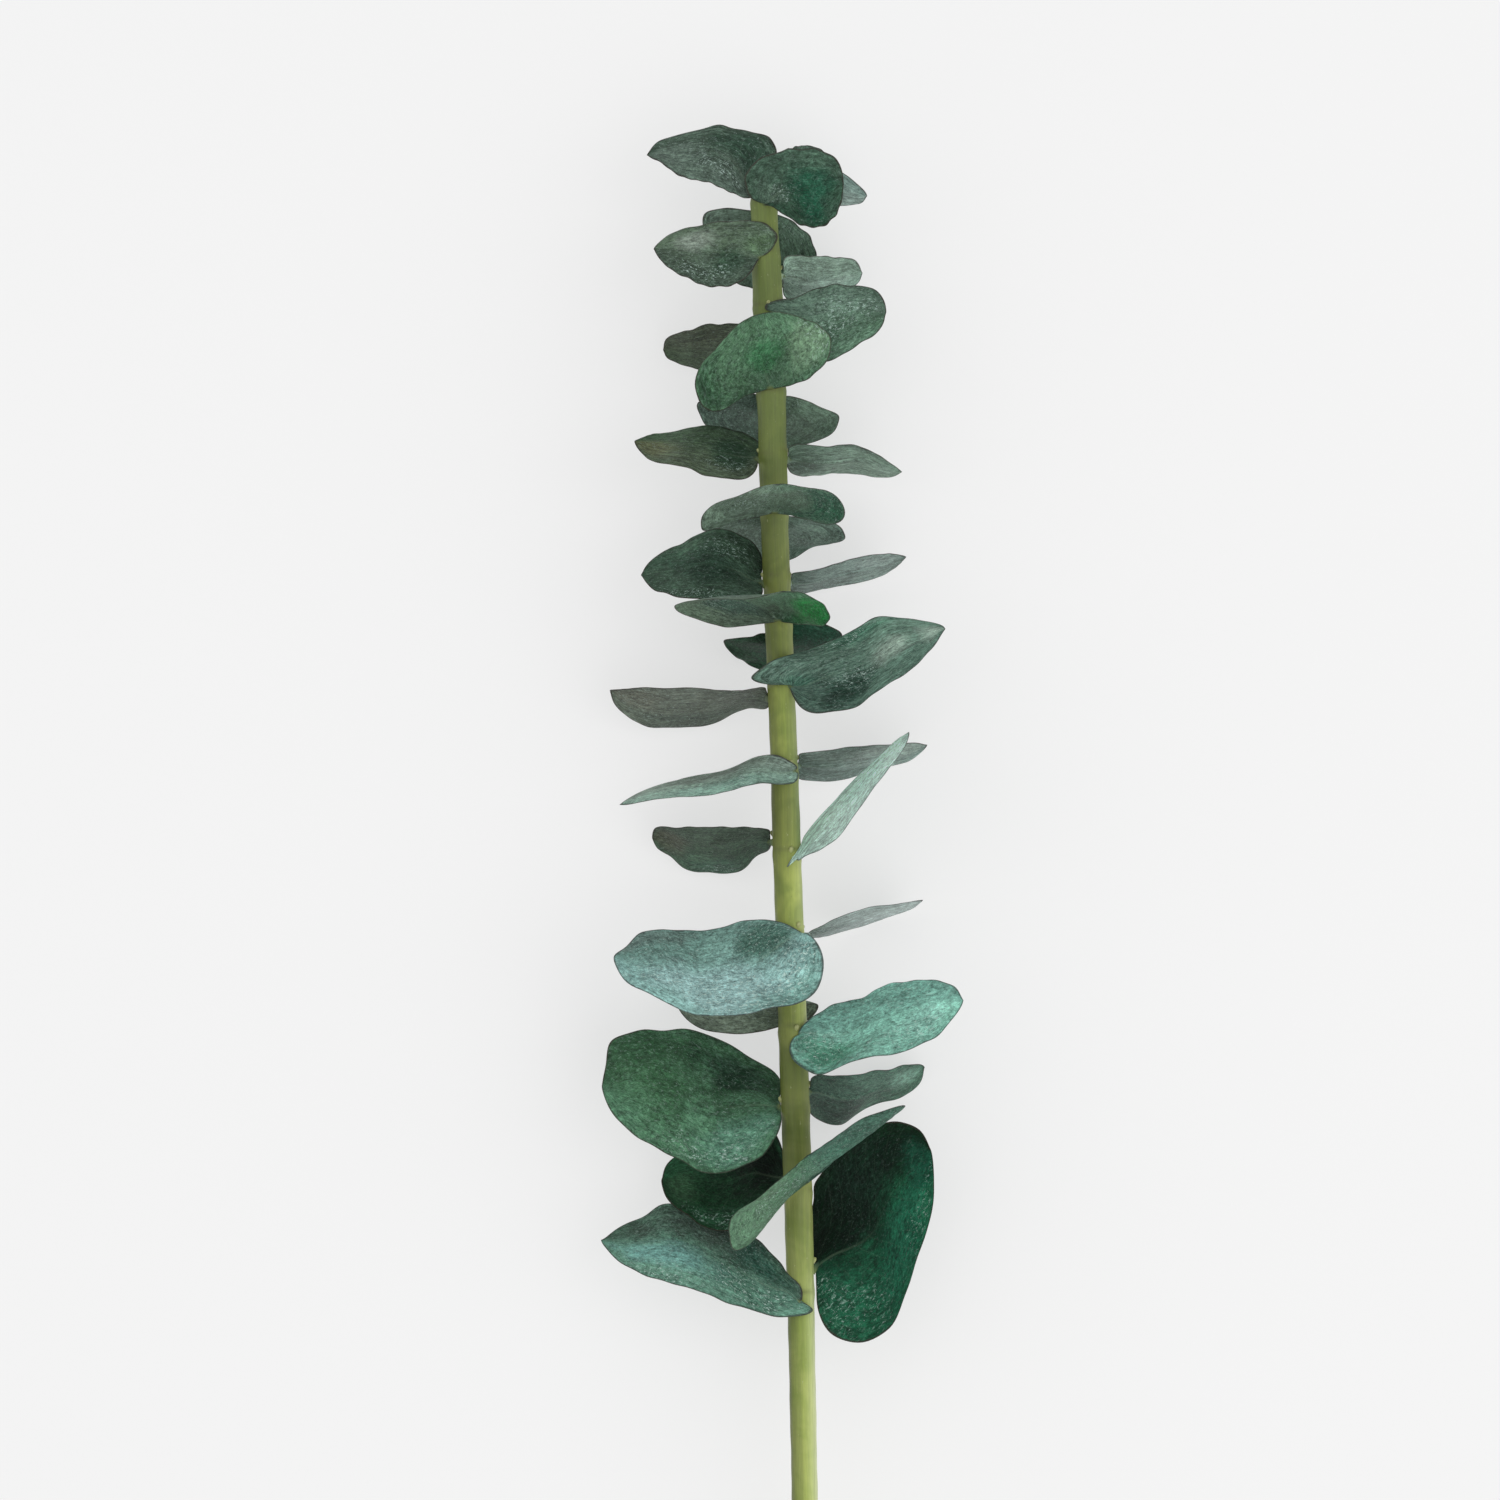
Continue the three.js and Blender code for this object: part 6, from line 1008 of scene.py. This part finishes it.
def leaf_material(name, seed, look, width):
    c1, c2, g0, g1, bloom, _ = look
    tones, frost_and_highlight = TONES.get(name, ((), ()))
    grain = STREAK.get(name, 0.4)          # 0 mottled, 1 streaked lengthwise
    lum = sum(srgb(c1)[:3] + srgb(c2)[:3]) / 6
    chalk = min(1.5, max(0.18, lum / 0.13))      # pale leaves carry more wax
    m = Nodes("leaf_skin_" + name)
    st = m.split(m.attr("leaf_st"))
    mm = m.split(m.attr("leaf_mm"))
    s, t, under = st[0], st[1], st[2]
    along, across, rim = mm[0], mm[1], mm[2]
    off = (seed * 7.31) % 50.0
    # lengthwise streaks fan out with the blade
    fan = m.join(m.math("MULTIPLY", along, 0.09), m.math("MULTIPLY", t, width * 0.46), off)
    streak = m.noise(fan, 1.0, 5.0, 0.74, 0.35)
    fine = m.noise(m.join(m.math("MULTIPLY", along, 1.25 - 0.75 * grain), m.math("MULTIPLY", t, width * (0.62 + 0.33 * grain)), off + 3.0), 1.25, 4.0, 0.82, 0.8)
    hair = m.noise(m.join(m.math("MULTIPLY", along, 0.22), m.math("MULTIPLY", t, width * 1.25), off + 11.0), 1.5, 3.0, 0.75, 0.6)
    flat = m.join(along, across, off)
    mottle = m.noise(flat, 0.62, 5.0, 0.68, 0.6)
    patch = m.noise(flat, 0.11, 2.0, 0.5, 0.4)
    speck = m.noise(m.join(m.math("MULTIPLY", along, 0.8), across, off + 9.0), 1.9, 4.0, 0.85, 0.7)
    # base tint: one side to the other, partly painted shade on the half of a leaf that lies in shade, plus lightness
    # from base to tip, partly painted shade near the stem
    wander = m.math("MULTIPLY_ADD", patch, 0.7, m.math("MULTIPLY_ADD", t, 0.75, -0.35))
    body = m.mix(m.ramp(wander, -0.45, 0.45), srgb(c1), srgb(c2))
    # broad tonal patches of wax and darker green, with ragged outlines, many of them painted highlight and painted
    # shade
    rag = m.math("MULTIPLY_ADD", m.math("SUBTRACT", patch, 0.5), 1.5, m.math("MULTIPLY", m.math("SUBTRACT", streak, 0.5), 1.1))

    def spot(s0, t0, rs, rt):
        a = m.math("MULTIPLY", m.math("SUBTRACT", s, s0), 1 / rs)
        b = m.math("MULTIPLY", m.math("SUBTRACT", t, t0), 1 / rt)
        d = m.math("SQRT", m.math("ADD", m.math("MULTIPLY", a, a), m.math("MULTIPLY", b, b)))
        return m.ramp(m.math("ADD", d, rag), 1.15, 0.30)

    for s0, t0, rs, rt, tone, amount in tones:
        body = m.mix(m.math("MULTIPLY", spot(s0, t0, rs, rt), amount), body, srgb(tone))
    # lightness from base to tip; the darker base is partly painted shade near the stem
    gain = m.ramp(s, 0.02, 0.98, g0, g1)
    gain = m.math("MULTIPLY", gain, m.ramp(streak, 0.32, 0.68, 0.78 - 0.28 * grain, 1.20 + 0.22 * grain, False))
    gain = m.math("MULTIPLY", gain, m.ramp(fine, 0.34, 0.66, 0.46, 1.54, False))
    gain = m.math("MULTIPLY", gain, m.ramp(hair, 0.34, 0.66, 0.90 - 0.26 * grain, 1.10 + 0.26 * grain, False))
    gain = m.math("MULTIPLY", gain, m.ramp(mottle, 0.34, 0.66, 0.52 + 0.16 * grain, 1.44 - 0.14 * grain, False))
    gain = m.math("MULTIPLY", gain, m.ramp(patch, 0.36, 0.64, 0.85, 1.17))
    gc = m.join(gain, gain, gain)
    body = m.mix(1.0, body, gc, "MULTIPLY")
    # waxy bloom, patchy, rubbed away in flecks; the pale flecks are partly wax and partly painted highlight
    wax = m.math("MULTIPLY", m.ramp(fine, 0.46, 0.66), m.ramp(patch, 0.40, 0.62))
    wax = m.math("MULTIPLY", wax, bloom * min(1.0, chalk))
    body = m.mix(wax, body, srgb("#9fbcb2"))
    # pale flecks, partly wax and partly painted highlight, densest in the frost spots
    amount = m.ramp(patch, 0.62, 0.38, 0.10 * chalk, 0.34 * chalk)
    for s0, t0, rs, rt in frost_and_highlight:
        amount = m.math("ADD", amount, m.math("MULTIPLY", spot(s0, t0, rs, rt), 0.75 * min(1.0, 0.45 + 0.55 * chalk)))
    fleck_and_highlight = m.math("MULTIPLY", m.ramp(speck, 0.55, 0.63), amount, clamp=True)
    body = m.mix(fleck_and_highlight, body, srgb("#c6dfd6"))
    dark = m.math("MULTIPLY", m.ramp(speck, 0.45, 0.35), 0.50)
    body = m.mix(dark, body, srgb("#12261b"))
    # veins: pale midrib, faint side veins leaving it at a slant
    absx = m.math("ABSOLUTE", across)
    rib_w = m.ramp(s, 0.0, 0.9, 0.30, 0.03, False)
    rib = m.math("MULTIPLY", m.ramp(m.math("SUBTRACT", absx, rib_w), 0.22, -0.12), m.ramp(s, 0.45, 0.05, 0.02, 0.13))
    slant = m.math("MULTIPLY_ADD", absx, -0.85, along)
    slant = m.math("MULTIPLY_ADD", m.math("SUBTRACT", mottle, 0.5), 1.6, slant)
    vein = m.math("ABSOLUTE", m.math("SINE", m.math("MULTIPLY", slant, 0.95)))
    vein = m.math("MULTIPLY", m.ramp(vein, 0.13, 0.02), m.ramp(rim, 0.3, 2.2))
    body = m.mix(m.math("MULTIPLY", vein, 0.09 * min(1.0, 0.35 + chalk)), body, srgb("#8fa98f"))
    body = m.mix(rib, body, srgb("#93a98c"))
    # fine netted veins, raised a little and caught by the bloom
    net = m.cells(m.join(m.math("MULTIPLY", along, 0.55), m.math("MULTIPLY", t, width * 0.62), off + 5.0), 0.95, fine)
    netline = m.math("MULTIPLY", m.ramp(net, 0.085, 0.0), m.ramp(mottle, 0.35, 0.62, 0.15, 1.0))
    body = m.mix(m.math("MULTIPLY", netline, 0.10 * min(1.0, chalk)), body, srgb("#a9c9bb"))
    # underside is paler and greyer
    body = m.mix(m.math("MULTIPLY", under, 0.30), body, srgb("#8b9f95"))
    # thin reddish-brown rim
    redge = m.math("MULTIPLY_ADD", m.math("SUBTRACT", mottle, 0.5), 0.35, rim)
    body = m.mix(m.ramp(redge, 0.40, 0.12, 0.0, 0.72), body, srgb("#3a302c"))
    foot = m.ramp(along, 1.1, 0.1, 0.0, 0.7)
    foot = m.math("MULTIPLY", foot, m.ramp(absx, 1.3, 0.3))
    body = m.mix(foot, body, srgb("#7f8c52"))
    m.put(m.bsdf.inputs["Base Color"], body)
    rough = m.ramp(mottle, 0.3, 0.7, 0.46, 0.62)
    m.put(m.bsdf.inputs["Roughness"], rough)
    m.bsdf.inputs["Specular IOR Level"].default_value = 0.08 + 0.08 * min(1.0, chalk)
    m.bsdf.inputs["Sheen Weight"].default_value = 0.03 * min(1.0, chalk)
    m.bsdf.inputs["Sheen Roughness"].default_value = 0.45
    h = m.math("MULTIPLY_ADD", streak, 0.35 + 0.5 * grain, m.math("MULTIPLY", fine, 0.45))
    h = m.math("MULTIPLY_ADD", mottle, 0.75 - 0.35 * grain, h)
    h = m.math("MULTIPLY_ADD", speck, 0.12, h)
    h = m.math("MULTIPLY_ADD", vein, -0.12, h)
    h = m.math("MULTIPLY_ADD", netline, 0.18, h)
    h = m.math("MULTIPLY_ADD", hair, 0.15 + 0.4 * grain, h)
    m.put(m.bsdf.inputs["Normal"], m.bump(h, 0.75, 0.00050))
    return m.mat


# how strongly one flank is painted lighter and the other darker along the stem, as painted side light and shade
# (fraction of its upper part)
STEM_PAINTED_SIDE = ((0.0, 1.0), (0.20, 1.0), (0.25, 0.40), (0.36, 0.35), (0.41, 0.62), (0.62, 0.60),
             (0.68, 0.42), (0.75, 0.35), (0.80, 0.06), (1.0, 0.0))


def stem_material():
    m = Nodes("stem_bark")
    a = m.split(m.attr("stem_mm"))        # height, around (mm), end-grain radius
    b = m.split(m.attr("stem_ring"))      # ring strength, bud, 0
    y, around, cut = a[0], a[1], a[2]
    # the third value is how far the bark faces +x; it drives the painted side light and shade
    ring, bud, side = b[0], b[1], b[2]
    long = m.noise(m.join(m.math("MULTIPLY", y, 0.05), m.math("MULTIPLY", around, 1.1), 2.0), 1.0, 4.0, 0.6, 0.2)
    thin = m.noise(m.join(m.math("MULTIPLY", y, 0.16), m.math("MULTIPLY", around, 3.4), 7.0), 1.0, 3.0, 0.6, 0.1)
    blot = m.noise(m.join(y, around, 1.0), 0.10, 3.0, 0.6, 0.5)
    spot = m.noise(m.join(m.math("MULTIPLY", y, 0.7), m.math("MULTIPLY", around, 1.5), 4.0), 1.0, 3.0, 0.7, 0.2)
    lowc = m.mix(m.ramp(blot, 0.35, 0.65), srgb("#7f8f40"), srgb("#949f54"))
    midc = m.mix(m.ramp(blot, 0.35, 0.65), srgb("#6a7733"), srgb("#838d42"))
    topc = m.mix(m.ramp(blot, 0.35, 0.65), srgb("#667639"), srgb("#72813f"))
    col = m.mix(m.ramp(y, -105.0, -50.0), lowc, midc)
    col = m.mix(m.ramp(y, 20.0, 75.0), col, topc)
    # darker and lighter lengths between the nodes
    tone = m.curve(m.ramp(y, -180.0, 125.0, 0.0, 1.0, False), STEM_TONE)
    col = m.mix(1.0, col, m.join(tone, tone, tone), "MULTIPLY")
    # one flank painted lighter, with a painted highlight, and the other painted darker: painted side light and shade,
    # least toward the tip
    painted_side_amount = m.curve(m.ramp(y, -180.0, 125.0, 0.0, 1.0, False), STEM_PAINTED_SIDE)
    painted_side_light = m.math("MULTIPLY", painted_side_amount, side)
    side_shade_gain = m.math("MULTIPLY_ADD", painted_side_light, 0.57, 1.0)
    col = m.mix(1.0, col, m.join(side_shade_gain, side_shade_gain, side_shade_gain), "MULTIPLY")
    # a pale painted highlight along the lit flank
    pale = m.math("MAXIMUM", painted_side_light, 0.0)
    col = m.mix(m.math("MULTIPLY", m.math("MULTIPLY", pale, pale), 0.68), col, srgb("#c9cfae"))
    g = m.math("MULTIPLY", m.ramp(long, 0.28, 0.72, 0.84, 1.16, False), m.ramp(thin, 0.25, 0.75, 0.9, 1.1, False))
    col = m.mix(1.0, col, m.join(g, g, g), "MULTIPLY")
    col = m.mix(m.math("MULTIPLY", m.ramp(spot, 0.66, 0.74), 0.4), col, srgb("#c3c79a"))
    col = m.mix(m.math("MULTIPLY", m.ramp(spot, 0.33, 0.26), 0.45), col, srgb("#5b5330"))
    col = m.mix(m.math("MULTIPLY", ring, 0.55), col, srgb("#5e6335"))
    col = m.mix(m.math("MULTIPLY", bud, 0.8), col, srgb("#a9ad78"))
    # the cut: green rind, pale wood, small pith
    wood = m.mix(m.ramp(m.noise(m.join(cut, around, 9.0), 2.6, 4.0, 0.7, 0.0), 0.3, 0.7), srgb("#cfc79a"), srgb("#e0dab4"))
    wood = m.mix(m.ramp(cut, 0.62, 0.42), wood, srgb("#b9a877"))
    wood = m.mix(m.ramp(cut, 2.15, 2.40), wood, srgb("#8f9f55"))
    col = m.mix(m.ramp(cut, 2.86, 2.78), col, wood)
    m.put(m.bsdf.inputs["Base Color"], col)
    m.put(m.bsdf.inputs["Roughness"], m.ramp(long, 0.3, 0.7, 0.42, 0.60))
    m.bsdf.inputs["Specular IOR Level"].default_value = 0.40
    h = m.math("MULTIPLY_ADD", thin, 0.5, long)
    h = m.math("MULTIPLY_ADD", spot, 0.35, h)
    m.put(m.bsdf.inputs["Normal"], m.bump(h, 0.5, 0.00030))
    return m.mat


# ----------------------------------------------------------------------- stem
def stem_mesh():
    rng = np.random.default_rng(11)
    y0, y1 = STEM[0, 1], STEM[-1, 1]
    ys = np.linspace(y0, y1, 430)
    knots = np.array([STEM[:, 1], STEM[:, 0]]).T
    cx = np.interp(ys, knots[:, 0], knots[:, 1])
    ker = np.exp(-0.5 * (np.arange(-24, 25) / 10.0) ** 2)
    ker /= ker.sum()
    pad = np.concatenate([2 * cx[0] - cx[24:0:-1], cx, 2 * cx[-1] - cx[-2:-26:-1]])
    cx = np.convolve(pad, ker, "valid")
    r0 = np.interp(ys, STEM[:, 1], STEM[:, 2])
    sides = 64
    th = np.linspace(0, 2 * math.pi, sides, endpoint=False)
    verts, faces, mm, rg = [], [], [], []
    node = np.array(NODE_Y)
    for k, y in enumerate(ys):
        dy = y - node
        tilt = 0.5 * np.sin(th[:, None] + node[None, :])          # rings sit slightly askew
        d = dy[None, :] + tilt
        sw = (0.20 * np.exp(-(d / 1.5) ** 2)).sum(1)
        line = np.exp(-((d - 0.9) / 0.28) ** 2).sum(1)
        ridge = 0.045 * np.sin(4 * th + 0.012 * y) + 0.03 * np.sin(7 * th - 0.02 * y + 1.0)
        bump = 0.03 * np.sin(0.35 * y + 2 * th) + 0.025 * np.sin(0.9 * y - 3 * th + 2.0)
        r = r0[k] + sw - 0.07 * line + ridge + bump
        topfade = min(1.0, math.sqrt(max(0.02, (y1 - y + 0.05) / 2.0)))
        r = r * topfade
        for a, rr, l in zip(th, r, line):
            verts.append((cx[k] + rr * math.cos(a), y, rr * math.sin(a)))
            mm.append((y, a * 2.8, 9.0))
            # the third value, how far the bark faces +x, drives the painted side light and shade
            rg.append((min(1.0, l), 0.0, math.cos(a)))
    n = len(ys)
    for i in range(n - 1):
        for k in range(sides):
            a, b = i * sides + k, i * sides + (k + 1) % sides
            faces.append((a, a + sides, b + sides, b))
    # cut end: flat rings of end grain, rind at the rim, closing to the centre
    prev = 0
    rad0 = r0[0]
    ends = [(0.985, -0.10, 2.80), (0.93, -0.14, 2.62), (0.85, -0.13, 2.45), (0.7, -0.11, 2.0), (0.5, -0.10, 1.4), (0.25, -0.10, 0.7)]
    for f, dy, c in ends:
        k0 = len(verts)
        for k in range(sides):
            p = verts[k]
            verts.append((cx[0] + (p[0] - cx[0]) * f, y0 - dy * 0.0 + 0.0, p[2] * f))
            mm.append((y0, th[k] * 2.8, c * rad0 / 2.9))
            rg.append((0.0, 0.0, 0.0))
        for k in range(sides):
            q = (k + 1) % sides
            faces.append((prev + q, k0 + q, k0 + k, prev + k))
        prev = k0
    c0 = len(verts)
    verts.append((cx[0], y0, 0.0))
    mm.append((y0, 0.0, 0.0))
    rg.append((0.0, 0.0, 0.0))
    for k in range(sides):
        faces.append((prev + (k + 1) % sides, c0, prev + k))
    # tip
    last = (n - 1) * sides
    c1 = len(verts)
    verts.append((cx[-1], y1 + 0.2, 0.0))
    mm.append((y1, 0.0, 9.0))
    rg.append((0.0, 0.0, 0.0))
    for k in range(sides):
        faces.append((last + k, c1, last + (k + 1) % sides))

    # resting buds in the axils: small plump teardrops half sunk in the bark
    def bud(y, ang, size):
        bx, br = stem_at(y)
        nrm = np.array([math.cos(ang), 0.0, math.sin(ang)])
        up = unit(np.array([nrm[0] * 0.45, 1.0, nrm[2] * 0.45]))
        sidev = unit(np.cross(up, nrm))
        dep = unit(np.cross(sidev, up))
        c = np.array([bx, y, 0.0]) + nrm * (br + 0.02)
        k0, u, v = len(verts), 14, 18
        for i in range(u + 1):
            p = math.pi * i / u
            w = math.sin(p) ** 0.9 * (1 - 0.25 * math.cos(p)) if 0 < i < u else 0.0
            for j in range(v):
                q = 2 * math.pi * j / v
                verts.append(tuple(c - up * math.cos(p) * size * 1.35 + sidev * w * size * 0.8 * math.cos(q) + dep * w * size * 0.7 * math.sin(q)))
                mm.append((y, ang * 2.8 + j * 0.1, 9.0))
                rg.append((0.0, 1.0, 0.0))
        for i in range(u):
            for j in range(v):
                a, b = k0 + i * v + j, k0 + i * v + (j + 1) % v
                faces.append((a, b, b + v, a + v))
    for name, net in NETS.items():
        bx, by, bz = net[0][0]
        sx, _ = stem_at(by)
        ang = math.atan2(bz, bx - sx)
        bud(by + 1.6, ang + 0.10, 0.62 if by < 0 else 0.5)
    return np.array(verts), faces, mm, rg


# ---------------------------------------------------------------------- build
for k, (name, net) in enumerate(NETS.items()):
    net = np.array(net, float)
    look = LOOK[name]
    v, f, a_st, a_mm, length, width = leaf_mesh(name, net, 100 + k, look[5])
    ob = mesh_object(name + "_blade", v, f, {"leaf_st": a_st, "leaf_mm": a_mm}, [leaf_material(name, 100 + k, look, width)])
    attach(ob, "root")
    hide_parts(name)

v, f, a_mm, a_rg = stem_mesh()
stem = mesh_object("stem_bark", v, f, {"stem_mm": a_mm, "stem_ring": a_rg}, [stem_material()])
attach(stem, "root")
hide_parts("stem")

# ---------------------------------------------------------------------- stage
fm = Nodes("studio_floor")
fv = fm.t.nodes.new("ShaderNodeTexCoord").outputs["Object"]
fn = fm.noise(fv, 3.0, 2.0, 0.5)
fm.put(fm.bsdf.inputs["Base Color"], fm.mix(fn, (0.35, 0.35, 0.35, 1), (0.36, 0.36, 0.36, 1)))
fm.bsdf.inputs["Emission Color"].default_value = (1.0, 1.0, 1.0, 1)
fm.bsdf.inputs["Emission Strength"].default_value = 0.54
fm.bsdf.inputs["Roughness"].default_value = 0.9
fm.bsdf.inputs["Specular IOR Level"].default_value = 0.1
fme = bpy.data.meshes.new("floor")
fme.from_pydata([(-9, -9, 0), (9, -9, 0), (9, 9, 0), (-9, 9, 0)], [], [(0, 1, 2, 3)])
fme.materials.append(fm.mat)
floor = bpy.data.objects.new("floor", fme)
bpy.context.scene.collection.objects.link(floor)

world = bpy.data.worlds.new("studio")
world.use_nodes = True
bg = world.node_tree.nodes["Background"]
bg.inputs[0].default_value = (1.0, 1.0, 1.0, 1)
bg.inputs[1].default_value = 0.72
bpy.context.scene.world = world


def area(name, loc, target, size, power, color=(1, 1, 1)):
    ld = bpy.data.lights.new(name, "AREA")
    ld.shape = "SQUARE"
    ld.size = size
    ld.energy = power
    ld.color = color
    ob = bpy.data.objects.new(name, ld)
    ob.location = loc
    ob.rotation_euler = (Vector(target) - Vector(loc)).to_track_quat("-Z", "Y").to_euler()
    bpy.context.scene.collection.objects.link(ob)


area("key", (0.95, -0.45, 1.45), (0, 0, 0), 2.0, 12.0)
area("fill", (-1.1, 0.6, 1.4), (0, 0, 0), 2.0, 6.0)

cam_data = bpy.data.cameras.new("camera")
cam_data.lens = 135.0
cam_data.sensor_width = 36.0
cam_data.clip_start, cam_data.clip_end = 0.05, 30.0
cam = bpy.data.objects.new("camera", cam_data)
bpy.context.scene.collection.objects.link(cam)
cam.matrix_world = Matrix.Translation(Vector(to_row([0.0, 0.0, CAMERA_MM]))) @ ROT.to_4x4()
bpy.context.scene.camera = cam
bpy.context.scene.view_settings.view_transform = "Standard"
bpy.context.scene.view_settings.look = "None"
